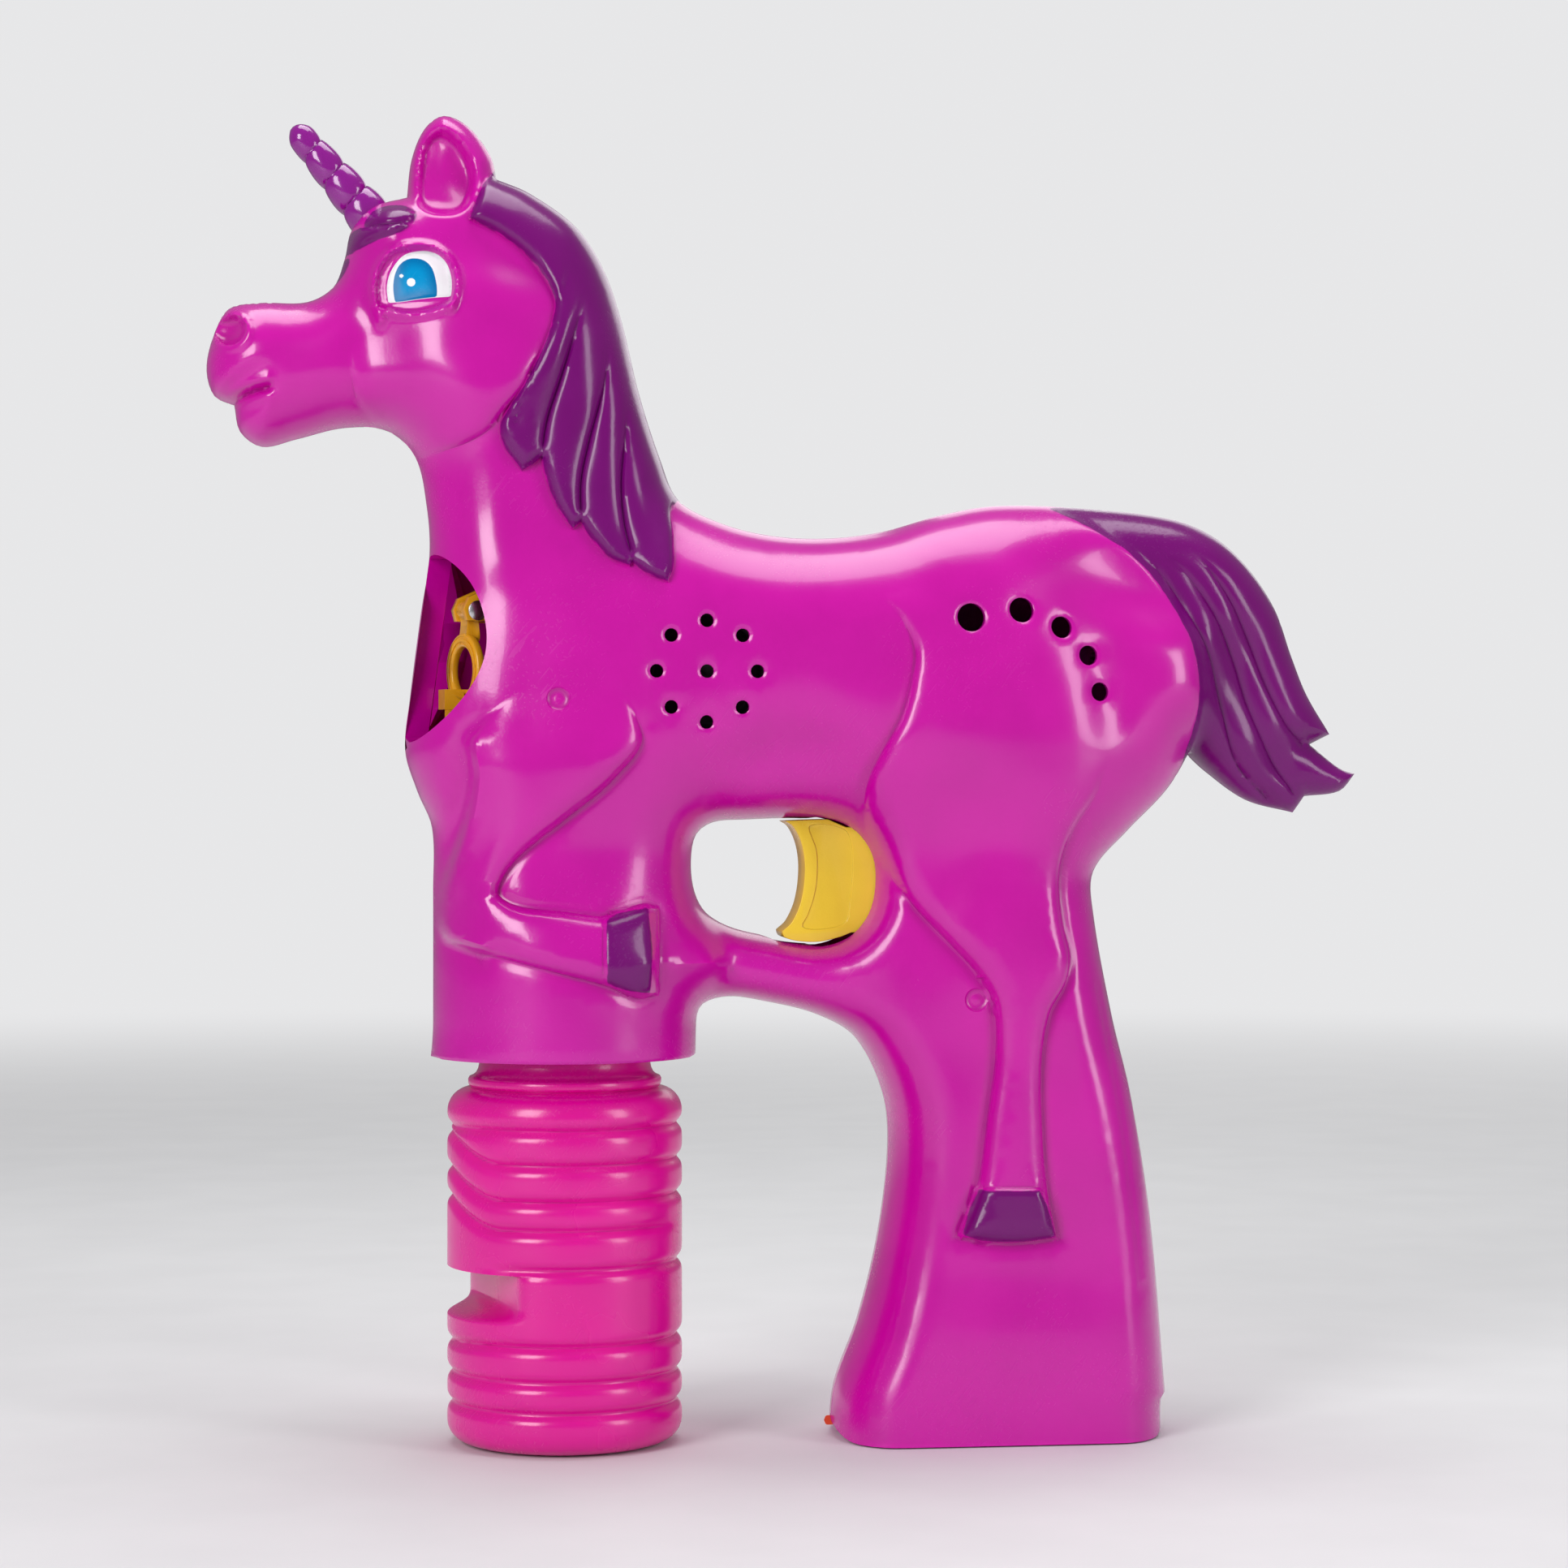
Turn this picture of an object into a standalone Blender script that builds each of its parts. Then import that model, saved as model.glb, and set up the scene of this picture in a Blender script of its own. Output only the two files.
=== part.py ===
"""Battery bubble blower shaped as a unicorn: two moulded casing halves with a screw-in bottle and a grip.

The head points to -X, the toy's left side to -Y and up is +Z. Lengths are in metres. The origin lies on the
floor that the bottle and the grip stand on, under the middle of the toy.
"""
import math

import bmesh
import bpy
import numpy as np
from mathutils import Matrix, Vector
from mathutils.geometry import delaunay_2d_cdt

# Clearances and walls
CLEARANCE = 0.0003
THREAD_CLEARANCE = 0.0004
WALL = 0.0020
OVERCUT = 0.0020
FAR_SIDE = 0.0400

# Place of the whole toy's middle in the drawing that the sizes below are taken from
DRAWN_MIDDLE_X = 0.0020

# Whole casing: the head's height over the shoulder and the tail's reach behind the haunch. The lists of
# the side view are drawn for the second value of each pair, and follow the first.
HEAD_FOOT_Z = 0.1900
HEAD_HEIGHT = 0.0632
DRAWN_HEAD_HEIGHT = 0.0632
TAIL_ROOT_X = 0.0800
TAIL_LENGTH = 0.0339
DRAWN_TAIL_LENGTH = 0.0339


def stretched(points):
    """Points of the side view, x and z first, with the head and the tail at their stated sizes."""
    result = []
    for x, z, *rest in points:
        x += max(x - TAIL_ROOT_X, 0.0) * (TAIL_LENGTH / DRAWN_TAIL_LENGTH - 1)
        z += max(z - HEAD_FOOT_Z, 0.0) * (HEAD_HEIGHT / DRAWN_HEAD_HEIGHT - 1)
        result.append((x, z, *rest))
    return tuple(result)


# Bottle and the socket that it screws into
BOTTLE_X = -0.0418
BOTTLE_RADIUS = 0.0225
BOTTLE_WALL = 0.0014
BOTTLE_SHOULDER_Z = 0.0652
NECK_RADIUS = 0.0164
NECK_TOP_Z = 0.0910
RIB_GROOVE_DEPTH = 0.0009
RIB_GROOVE_HALF_WIDTH = 0.0013
RIB_GROOVES_Z = (0.0066, 0.0132, 0.0200, 0.0345, 0.0474, 0.0541, 0.0606)
NOTCH_LOW_Z = 0.0255
NOTCH_HIGH_Z = 0.0325
NOTCH_DEPTH = 0.0042
NOTCH_LOW_EASE = 0.0012
NOTCH_HIGH_EASE = 0.0006
NOTCH_WALL_RISE = 0.0014
NOTCH_WALL_DROP = 0.0020
THREAD_PITCH = 0.0040
THREAD_HEIGHT = 0.0012
THREAD_TURNS = 1.5
THREAD_STEPS = 16
THREAD_START_Z = 0.0785
THREAD_FOOT = 0.0004
THREAD_HALF = 0.0008
THREAD_CREST = 0.45
THREAD_TAPER_STEPS = 3
THREAD_LEAST = 0.15
SOCKET_WALL = 0.0020
SOCKET_SKIRT_Z = 0.0750
SOCKET_PLATE = 0.0020
SEAL_THICKNESS = 0.0010
SEAL_INNER_RADIUS = 0.0120
COLLAR_LEDGE = 0.0029
COLLAR_MARGIN = 0.0007
COLLAR_BOTTOM_Z = 0.0736
COLLAR_FLOOR = 0.0026
DIP_TUBE_RADIUS = 0.0020
DIP_TUBE_BORE = 0.0012
DIP_TUBE_END_Z = 0.0050
DIP_TUBE_OFFSET = (0.0058, -0.0050)
NIPPLE_HEIGHT = 0.0030
NIPPLE_WALL = 0.0010
SPOUT_OFFSET = (-0.0085, 0.0)
SPOUT_RADIUS = 0.0022
SPOUT_WALL = 0.0009
FUNNEL_RADIUS = 0.0105
FUNNEL_WALL = 0.0011
FUNNEL_CONE_Z = 0.1140
FUNNEL_RIM_Z = 0.1180
BASE_RECESS = 0.0016
BASE_RING_INSET = (0.0080, 0.0065, 0.0040)
BASE_BEND = (0.0008, 0.0028)
NECK_FLANGE = 0.0020
NECK_FLANGE_LOW = 0.0030
NECK_FLANGE_HIGH = 0.0046
SHOULDER_BEND = ((0.0006, 0.0004), (0.0030, 0.0022))
INNER_NECK_RISE = 0.0016
INNER_SHOULDER = (0.0020, 0.0010)
INNER_WALL_DROP = 0.0032
INNER_FLOOR = (0.0030, 0.0050)

# Muzzle, wand and air path, turned towards the toy's left by MUZZLE_TURN
MUZZLE_TURN = math.radians(15.5)
MUZZLE_RADIUS = 0.0173
MUZZLE_Z = 0.1513
MUZZLE_SIDE_SHIFT = -0.0029
WAND_X = -0.0600
WAND_RING_Z = 0.1473
WAND_RING_RADIUS = 0.0075
WAND_HOLE_RADIUS = 0.0046
WAND_THICKNESS = 0.0028
WAND_PIVOT_Z = 0.1586
WAND_PIN_RADIUS = 0.0010
WAND_PIN_HEAD = 0.0008
WAND_PIN_HEAD_RADIUS = 0.0019
WAND_BOSS_RADIUS = 0.0024
WAND_BOSS_WIDTH = 0.0044
CRANK_PIN_Z = 0.1377
CRANK_PIN_RADIUS = 0.0011
NOZZLE_SETBACK = 0.0104
NOZZLE_RADIUS = 0.0085
NOZZLE_WALL = 0.0013
MOUTH_FRONT = -0.0300
MOUTH_BACK = 0.0040
LUG_HALF_WIDTH = 0.0014
LUG_DROP = 0.0012
CRANK_BACK = 0.0020
LIP_REACH = 0.0058
LIP_HALF_WIDTH = 0.0026
LIP_HEIGHT = 0.0022
EAR_THICKNESS = 0.0018
EAR_ROOT = 0.0045
EAR_HALF_LENGTH = 0.0022
EAR_BRIDGE = 0.0040
EAR_DROP = 0.0020
EAR_RISE = 0.0052

# Blower, motor, gears and pump on one axis along X
AXIS_Y = 0.0030
AXIS_Z = 0.1470
FAN_RADIUS = 0.0132
FAN_TIP_GAP = 0.0008
FAN_TUBE_WALL = 0.0015
FAN_TUBE_FRONT_X = -0.0310
FAN_TUBE_LENGTH = 0.0140
FAN_HUB_RADIUS = 0.0042
FAN_WIDTH = 0.0060
FAN_BLADES = 5
MOTOR_RADIUS = 0.00775
MOTOR_FRONT_X = -0.0170
MOTOR_LENGTH = 0.0220
SLEEVE_WALL = 0.0013
SLEEVE_LENGTH = 0.0145
SPOKE_DEPTH = 0.0025
SPOKE_HALF_WIDTH = 0.0011
FAN_GAP = 0.0026
FAN_PITCH = math.radians(48)
BLADE_HALF = 0.0006
MOTOR_NOSE = 0.0012
MOTOR_NOSE_RADIUS = 0.0030
SHAFT_RADIUS = 0.0010
PUMP_SHAFT_RADIUS = 0.0018
FAN_RIB_DROP = 0.0180
FAN_RIB_RISE = 0.0170
FRAME_RIB_RISE = 0.0080
PILLAR_RADIUS = 0.0016
GEAR_MODULE = 0.0007
PINION_TEETH = 10
WHEEL_TEETH = 24
GEAR_WIDTH = 0.0036
GEAR_BACKLASH = 0.0003
IDLER_ANGLE = math.radians(224.4)
FRAME_PLATE = 0.0015
FRAME_MARGIN = 0.0065
FRAME_LIP = 0.0012
PUMP_WALL = 0.0012
PUMP_DEPTH = 0.0090
HOSE_RADIUS = 0.0015
ROLLER_RADIUS = 0.0025
ROLLER_CIRCLE = 0.0059

# Hose: places on its way up to the blower, then over it at heights above the axis, out and back
HOSE_START_Z = 0.1040
HOSE_CLIMB = ((-0.0370, -0.0100, 0.1140), (-0.0385, -0.0155, 0.1280))
HOSE_OUT = (
    (-0.0385, -0.0170, -0.0030), (-0.0360, -0.0140, 0.0120), (-0.0280, -0.0095, 0.0210),
    (-0.0160, -0.0080, 0.0220), (-0.0020, -0.0080, 0.0190), (0.0100, -0.0080, 0.0170),
)
HOSE_TURN_X = 0.0185
HOSE_TURN_RISE = 0.0145
HOSE_DROP_RISE = 0.0090
HOSE_RETURN_RISE = (0.0080, 0.0130)
HOSE_RETURN_INSET = 0.0020
HOSE_BACK = (
    (0.0100, 0.0085, 0.0170), (-0.0020, 0.0080, 0.0190), (-0.0160, 0.0075, 0.0220),
    (-0.0300, 0.0060, 0.0230), (-0.0420, 0.0035, 0.0220), (-0.0510, 0.0015, 0.0200),
    (-0.0545, 0.0005, 0.0185),
)

# Trigger and its link to the wand
TRIGGER_WIDTH = 0.0104
TRIGGER_TRAVEL = 0.0055
TRIGGER_BACK_X = 0.0230
TRIGGER_LOW_Z = 0.0970
TRIGGER_HIGH_Z = 0.1173
TRIGGER_SHANK_X = 0.0130
TRIGGER_FRONT = (
    (0.0110, 0.1181), (0.0012, 0.1181), (0.0033, 0.1148), (0.0041, 0.1099), (0.0033, 0.1040),
    (0.0011, 0.0999), (-0.0004, 0.0970), (0.0021, 0.0959), (0.0062, 0.0953), (0.0110, 0.0962),
)
SLOT_FRONT_X = -0.0025
SLOT_BELOW = 0.0022
SLOT_ABOVE = 0.0014
SLOT_BEHIND = 0.0010
FORK_ARM = 0.0016
FORK_RISE = 0.0024
FORK_FLOOR = 0.0006
LINK_CORNER = 0.0020
LINK_BRACE = 0.0030
LINK_THICKNESS = 0.0022
LINK_Y = 0.0044
LINK_LOW_Z = 0.1228
LINK_HIGH_Z = 0.1266
LINK_WIDTH = 0.0040
SPRING_Z = 0.1020
SPRING_RADIUS = 0.0030
SPRING_WIRE = 0.0004
SPRING_TURNS = 4
SPRING_LENGTH = 0.0077
SPRING_POST_HALF = 0.0050
SWITCH_LENGTH = 0.0080
SWITCH_LOW_Z = 0.1090
SWITCH_HIGH_Z = 0.1160
SWITCH_HALF_WIDTH = 0.0030
SWITCH_POST_MARGIN = 0.0030
PLUNGER_LENGTH = 0.0015
PLUNGER_HALF = 0.0012
PLUNGER_OVERLAP = 0.0005

# Batteries, door and sound unit
CELL_RADIUS = 0.00725
CELL_LENGTH = 0.0505
CELL_PITCH = 0.01475
CELL_MIDDLE_X = 0.0452
CELL_LOW_Z = 0.0080
BATTERY_RIB_Z = 0.0320
CELL_NUB_RADIUS = 0.00275
CELL_NUB = 0.0010
CONTACT_THICKNESS = 0.0005
CONTACT_HALF_WIDTH = 0.0040
CONTACT_MARGIN = 0.0005
DOOR_CONTACT_HALF_WIDTH = 0.0045
DOOR_CONTACT_INSET = 0.0020
CELL_SPRING_TURNS = 2
CELL_SPRING_WIDE = 0.0050
CELL_SPRING_NARROW = 0.0028
DOOR_FRONT_X = 0.0148
DOOR_REAR_X = 0.0697
DOOR_HALF_WIDTH = 0.0112
DOOR_LOW_Z = 0.0006
DOOR_THICKNESS = 0.0018
DOOR_SCREW_X = 0.0190
DOOR_SCREW_TOP_Z = 0.0090
DOOR_SCREW_HEAD = 0.0006
DOOR_BOSS_HALF = 0.0035
DOOR_BOSS_TOP_Z = 0.0105
TAB_FRONT_X = 0.0084
TAB_HALF_THICKNESS = 0.0003
TAB_LOW_Z = 0.0015
TAB_HIGH_Z = 0.0033
GRIP_FLOOR_Z = 0.0030
GRIP_CORNER_RADIUS = 0.0040
SPEAKER_X = -0.0166
SPEAKER_Z = 0.1467
SPEAKER_RADIUS = 0.0125
SPEAKER_DEPTH = 0.0045
SPEAKER_FACE_Y = -0.0185
SPEAKER_HOLE_RADIUS = 0.0013
SPEAKER_HOLE_CIRCLE = 0.0095
SPEAKER_HOLES = 8
SPEAKER_SEAT_WALL = 0.0014
SPEAKER_SEAT_LIP = 0.0010
BOARD_LOW = (0.0380, 0.1280)
BOARD_HIGH = (0.0600, 0.1440)
BOARD_Y = 0.0120
BOARD_THICKNESS = 0.0012
BOARD_POST_INSET = 0.0035
BOARD_POST_RADIUS = 0.0025
CHIP_RADIUS = 0.0040
CHIP_HEIGHT = 0.0018
CHIP_OVERLAP = 0.0005

# Screws that close the casing, from the right side
SCREW_PLACES = stretched((
    (-0.0660, 0.2120), (-0.0460, 0.1820), (0.0680, 0.1500),
    (0.0353, 0.0846), (0.0185, 0.0170), (-0.0240, 0.1070),
))
SCREW_RADIUS = 0.0012
SCREW_HEAD_RADIUS = 0.0026
SCREW_HEAD = 0.0018
SCREW_HEAD_Y = 0.0060
SCREW_TIP_Y = -0.0070
SCREW_POINT = 0.0010
SCREW_POINT_RADIUS = 0.0004
BOSS_RADIUS = 0.0034

# Air holes in the left haunch: place and radius
AIR_HOLES = (
    (0.0324, 0.1569, 0.0027), (0.0422, 0.1585, 0.0024), (0.0499, 0.1553, 0.0021),
    (0.0551, 0.1500, 0.0019), (0.0573, 0.1431, 0.0018),
)

# Horn
HORN_LINE = ((-0.0789, 0.2337), (-0.0923, 0.2505))
HORN_FOOT, HORN_TIP = stretched(HORN_LINE)
HORN_FOOT_RADIUS = 0.0041
HORN_TIP_RADIUS = 0.0022
HORN_SEAT = 0.0020
HORN_TURNS = 4
HORN_RIDGE = 0.0005
HORN_ROWS = 15
HORN_END = 0.0006
HORN_EASE = 0.0020
HORN_WAY = 0.0120

# Sizes that follow from the ones above
PARTING_Y = CLEARANCE / 2
SOCKET_BORE = NECK_RADIUS + THREAD_HEIGHT + THREAD_CLEARANCE
SOCKET_RADIUS = SOCKET_BORE + SOCKET_WALL
COLLAR_BORE = BOTTLE_RADIUS + COLLAR_MARGIN
COLLAR_RADIUS = COLLAR_BORE + WALL
SEAL_LOW_Z = NECK_TOP_Z + CLEARANCE
FORK_REACH = LINK_Y / math.cos(MUZZLE_TURN)
CRANK_PIN_LENGTH = FORK_REACH + LINK_THICKNESS / 2 + 2 * CLEARANCE
SOCKET_PLATE_Z = SEAL_LOW_Z + SEAL_THICKNESS + CLEARANCE
SOCKET_TOP_Z = SOCKET_PLATE_Z + SOCKET_PLATE
COLLAR_FLOOR_Z = SOCKET_TOP_Z + CLEARANCE
CHEST_FLOOR_Z = COLLAR_FLOOR_Z + COLLAR_FLOOR
DIP_TUBE_X = BOTTLE_X + DIP_TUBE_OFFSET[0]
DIP_TUBE_Y = DIP_TUBE_OFFSET[1]
SPOUT_X = BOTTLE_X + SPOUT_OFFSET[0]
FAN_TUBE_BORE = FAN_RADIUS + FAN_TIP_GAP
FAN_TUBE_RADIUS = FAN_TUBE_BORE + FAN_TUBE_WALL
FAN_TUBE_BACK_X = FAN_TUBE_FRONT_X + FAN_TUBE_LENGTH
SLEEVE_BORE = MOTOR_RADIUS + CLEARANCE
SLEEVE_RADIUS = SLEEVE_BORE + SLEEVE_WALL
MOTOR_BACK_X = MOTOR_FRONT_X + MOTOR_LENGTH
FRAME_FRONT_X = MOTOR_BACK_X + CLEARANCE
PINION_FRONT_X = FRAME_FRONT_X + FRAME_PLATE + 2 * CLEARANCE
PINION_BACK_X = PINION_FRONT_X + GEAR_WIDTH + 2 * CLEARANCE
PUMP_GEAR_X = PINION_BACK_X + 2 * CLEARANCE
PUMP_GEAR_BACK_X = PUMP_GEAR_X + GEAR_WIDTH
FRAME_BACK_X = PUMP_GEAR_BACK_X + 2 * CLEARANCE
PUMP_FRONT_X = FRAME_BACK_X + FRAME_PLATE + CLEARANCE
GEAR_DISTANCE = GEAR_MODULE * (PINION_TEETH + WHEEL_TEETH) / 2
IDLER_Y = AXIS_Y + GEAR_DISTANCE * math.cos(IDLER_ANGLE)
IDLER_Z = AXIS_Z + GEAR_DISTANCE * math.sin(IDLER_ANGLE)
HOSE_CIRCLE = ROLLER_CIRCLE + ROLLER_RADIUS + CLEARANCE + HOSE_RADIUS
PUMP_BORE = HOSE_CIRCLE + HOSE_RADIUS + CLEARANCE
PUMP_RADIUS = PUMP_BORE + PUMP_WALL
HOSE_X = PUMP_FRONT_X + PUMP_WALL + PUMP_DEPTH / 2
CELL_TOP_Z = CELL_LOW_Z + CELL_LENGTH
CEILING_Z = CELL_TOP_Z + CLEARANCE + CONTACT_THICKNESS + CLEARANCE
DOOR_TOP_Z = DOOR_LOW_Z + DOOR_THICKNESS

# Side view of the casing, clockwise from the collar's front. A third value of 1 marks a sharp corner.
# The collar and the grip run on below their ends, where the casing is cut off flat.
OUTLINE = stretched((
    (BOTTLE_X - COLLAR_RADIUS, 0.0400), (BOTTLE_X - COLLAR_RADIUS, 0.0800),
    (BOTTLE_X - COLLAR_RADIUS, 0.1050),
    (-0.0672, 0.1172), (-0.0700, 0.1242), (-0.0723, 0.1319), (-0.0714, 0.1420), (-0.0693, 0.1583),
    (-0.0677, 0.1692), (-0.0682, 0.1785), (-0.0704, 0.1881), (-0.0756, 0.1930), (-0.0838, 0.1935),
    (-0.0929, 0.1912), (-0.0994, 0.1897), (-0.1035, 0.1925), (-0.1046, 0.1975, 1), (-0.1083, 0.1992),
    (-0.1098, 0.2039), (-0.1088, 0.2097), (-0.1057, 0.2156), (-0.0998, 0.2169), (-0.0909, 0.2172),
    (-0.0860, 0.2201), (-0.0838, 0.2255), (-0.0825, 0.2310), (-0.0786, 0.2354), (-0.0720, 0.2374, 1),
    (-0.0711, 0.2448), (-0.0686, 0.2508), (-0.0650, 0.2532), (-0.0603, 0.2512), (-0.0559, 0.2454),
    (-0.0549, 0.2410, 1), (-0.0486, 0.2384), (-0.0397, 0.2321), (-0.0346, 0.2245), (-0.0310, 0.2143),
    (-0.0276, 0.2002), (-0.0235, 0.1876), (-0.0201, 0.1802), (-0.0114, 0.1757), (-0.0019, 0.1735),
    (0.0084, 0.1731), (0.0196, 0.1745), (0.0307, 0.1777), (0.0419, 0.1797), (0.0604, 0.1793),
    (0.0766, 0.1775), (0.0850, 0.1742), (0.0917, 0.1684), (0.0975, 0.1600), (0.1010, 0.1505),
    (0.1040, 0.1432), (0.1088, 0.1354, 1), (0.1048, 0.1334, 1), (0.1108, 0.1287), (0.1139, 0.1276, 1),
    (0.1108, 0.1242), (0.1037, 0.1232, 1), (0.1014, 0.1200, 1), (0.0919, 0.1225), (0.0839, 0.1281),
    (0.0802, 0.1315, 1), (0.0755, 0.1242), (0.0676, 0.1162), (0.0609, 0.1085), (0.0609, 0.1006),
    (0.0645, 0.0810), (0.0683, 0.0653), (0.0721, 0.0418), (0.0748, 0.0104), (0.0753, -0.0250, 1),
    (0.0098, -0.0250, 1), (0.0100, 0.0064), (0.0152, 0.0221), (0.0190, 0.0378), (0.0210, 0.0543),
    (0.0201, 0.0653), (0.0147, 0.0763), (0.0070, 0.0810), (-0.0035, 0.0837), (-0.0105, 0.0846),
    (BOTTLE_X + COLLAR_RADIUS + 0.0012, 0.0832), (BOTTLE_X + COLLAR_RADIUS, 0.0800),
    (BOTTLE_X + COLLAR_RADIUS, 0.0400, 1),
))
WINDOW = (
    (-0.0176, 0.1108), (-0.0166, 0.1159), (-0.0133, 0.1182), (-0.0082, 0.1187), (0.0060, 0.1188),
    (0.0131, 0.1168), (0.0171, 0.1124), (0.0180, 0.1069), (0.0165, 0.1006), (0.0123, 0.0964),
    (0.0060, 0.0948), (-0.0019, 0.0961), (-0.0098, 0.0980), (-0.0146, 0.1008), (-0.0169, 0.1049),
)

# Half depth of the casing and the radius of its rounded edge, at places of the side view: x, z, depth, radius
DEPTHS = stretched((
    (-0.0590, 0.2090, 0.0208, 0.0172), (-0.0730, 0.2300, 0.0170, 0.0130), (-0.1000, 0.2066, 0.0135, 0.0115),
    (-0.1095, 0.2070, 0.0125, 0.0100), (-0.1000, 0.1940, 0.0110, 0.0090), (-0.0644, 0.2460, 0.0080, 0.0060),
    (-0.0478, 0.2330, 0.0140, 0.0110), (-0.0510, 0.1830, 0.0170, 0.0150), (-0.0320, 0.1890, 0.0160, 0.0120),
    (-0.0600, 0.1438, 0.0225, 0.0200), (-0.0380, 0.1438, 0.0242, 0.0200), (-0.0098, 0.1470, 0.0230, 0.0190),
    (0.0139, 0.1470, 0.0228, 0.0190), (0.0456, 0.1390, 0.0248, 0.0210), (0.0690, 0.1438, 0.0200, 0.0170),
    (0.0740, 0.1700, 0.0115, 0.0090), (0.0930, 0.1438, 0.0090, 0.0080), (0.1060, 0.1280, 0.0055, 0.0050),
    (-0.0050, 0.0896, 0.0120, 0.0055), (0.0210, 0.1060, 0.0150, 0.0060), (0.0420, 0.0967, 0.0178, 0.0110),
    (0.0456, 0.0496, 0.0172, 0.0110), (0.0430, 0.0030, 0.0185, 0.0110), (-0.0019, 0.1234, 0.0165, 0.0100),
    (-0.0860, 0.2060, 0.0140, 0.0115),
))
DEPTH_REACH = 0.0090
COLLAR_BLEND_LOW_Z = 0.0900
COLLAR_BLEND_HIGH_Z = 0.1200
COLLAR_BLEND_WIDTH = 0.0060

# Raised shapes on each side: outline, height, width of the rounded edge, and the heights where they fade
HIND_LEG = (
    (0.0190, 0.1610), (0.0236, 0.1526), (0.0229, 0.1434), (0.0190, 0.1334), (0.0151, 0.1265),
    (0.0145, 0.1204),
    (0.0174, 0.1127), (0.0229, 0.1035), (0.0306, 0.0951), (0.0361, 0.0889), (0.0392, 0.0835),
    (0.0392, 0.0743),
    (0.0376, 0.0620), (0.0350, 0.0494), (0.0319, 0.0391), (0.0509, 0.0388), (0.0498, 0.0492),
    (0.0482, 0.0588),
    (0.0478, 0.0727), (0.0493, 0.0819), (0.0522, 0.0911), (0.0528, 0.0973), (0.0512, 0.1065),
    (0.0518, 0.1142),
    (0.0564, 0.1242), (0.0640, 0.1500), (0.0400, 0.1650),
)
FORE_LEG = (
    (-0.0605, 0.1348), (-0.0605, 0.1265), (-0.0620, 0.1175), (-0.0650, 0.1085), (-0.0670, 0.1025),
    (-0.0665, 0.0980), (-0.0643, 0.0960), (-0.0508, 0.0923), (-0.0357, 0.0882), (-0.0296, 0.0857),
    (-0.0257, 0.0863), (-0.0255, 0.1023), (-0.0281, 0.1031), (-0.0357, 0.1011), (-0.0432, 0.1018),
    (-0.0523, 0.1029), (-0.0560, 0.1054), (-0.0523, 0.1115), (-0.0432, 0.1190), (-0.0342, 0.1265),
    (-0.0286, 0.1348), (-0.0400, 0.1480),
)
MANE = stretched((
    (-0.0585, 0.2324), (-0.0520, 0.2290), (-0.0477, 0.2222), (-0.0450, 0.2150), (-0.0459, 0.2071),
    (-0.0497, 0.2002), (-0.0542, 0.1925), (-0.0529, 0.1872), (-0.0504, 0.1845), (-0.0471, 0.1885),
    (-0.0444, 0.1797), (-0.0410, 0.1737), (-0.0392, 0.1752), (-0.0360, 0.1699), (-0.0307, 0.1663),
    (-0.0297, 0.1686), (-0.0239, 0.1636), (-0.0227, 0.1677), (-0.0210, 0.1769), (-0.0050, 0.1850),
    (-0.0200, 0.2250), (-0.0450, 0.2550), (-0.0560, 0.2420),
))
RELIEFS = (
    (HIND_LEG, 0.0030, 0.0050, 0.1480, 0.1180),
    (FORE_LEG, 0.0030, 0.0045, 0.1460, 0.1180),
    (MANE, 0.0026, 0.0035, 1.0, 0.9),
)
EAR_CUP = stretched(((-0.0641, 0.2437),))[0]
EAR_CUP_SIZE = (0.0050, 0.0075)
EAR_CUP_DEPTH = 0.0035
HOOVES = (
    ((0.0356, 0.0490), (0.0493, 0.0491), (0.0506, 0.0394), (0.0325, 0.0394)),
    ((-0.0358, 0.1008), (-0.0275, 0.1028), (-0.0271, 0.0863), (-0.0361, 0.0884)),
)
TAIL = stretched((
    (0.0513, 0.1784), (0.0585, 0.1750), (0.0657, 0.1704), (0.0712, 0.1649), (0.0749, 0.1587),
    (0.0777, 0.1516),
    (0.0788, 0.1438), (0.0785, 0.1360), (0.0773, 0.1316), (0.0850, 0.1150), (0.1200, 0.1150),
    (0.1200, 0.1850),
))

# Fineness of the sculpted surfaces
OUTLINE_TOLERANCE = 0.0003
OUTLINE_STEP = 0.0100
RIM_STEPS = (0.0010, 0.0048)
SURFACE_STEP = 0.0096
RELIEF_STEP = 0.0065
RELIEF_TOLERANCE = 0.0003
RELIEF_CLEAR = 0.0038
RELIEF_ROWS = (-0.0004, 0.0014)
COLLAR_STATIONS = 14
COLLAR_RING_Z = 0.0830
FOOT_STATIONS = 7
CAVITY_RIM_STEPS = (0.0025,)
CAVITY_STEP = 0.0160
CAVITY_TOLERANCE = 0.0004
SEAM_TOLERANCE = 0.00002
SMALLEST = 1e-9
HOLLOW_EDGE_DEPTH = 0.0006


def clear_scene():
    for item in list(bpy.data.objects):
        bpy.data.objects.remove(item, do_unlink=True)


def finish(name, colour, roughness, metallic=0.0):
    """One Principled material, made once."""
    if name in bpy.data.materials:
        return bpy.data.materials[name]
    made = bpy.data.materials.new(name)
    made.use_nodes = True
    shader = made.node_tree.nodes["Principled BSDF"]
    shader.inputs["Base Color"].default_value = (*colour, 1.0)
    shader.inputs["Roughness"].default_value = roughness
    shader.inputs["Metallic"].default_value = metallic
    made.diffuse_color = (*colour, 1.0)
    return made


def magenta():
    return finish("casing_magenta", (0.52, 0.0, 0.32), 0.22)


def purple():
    return finish("paint_purple", (0.16, 0.01, 0.15), 0.30)


def yellow():
    return finish("plastic_yellow", (0.86, 0.62, 0.06), 0.35)


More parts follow.
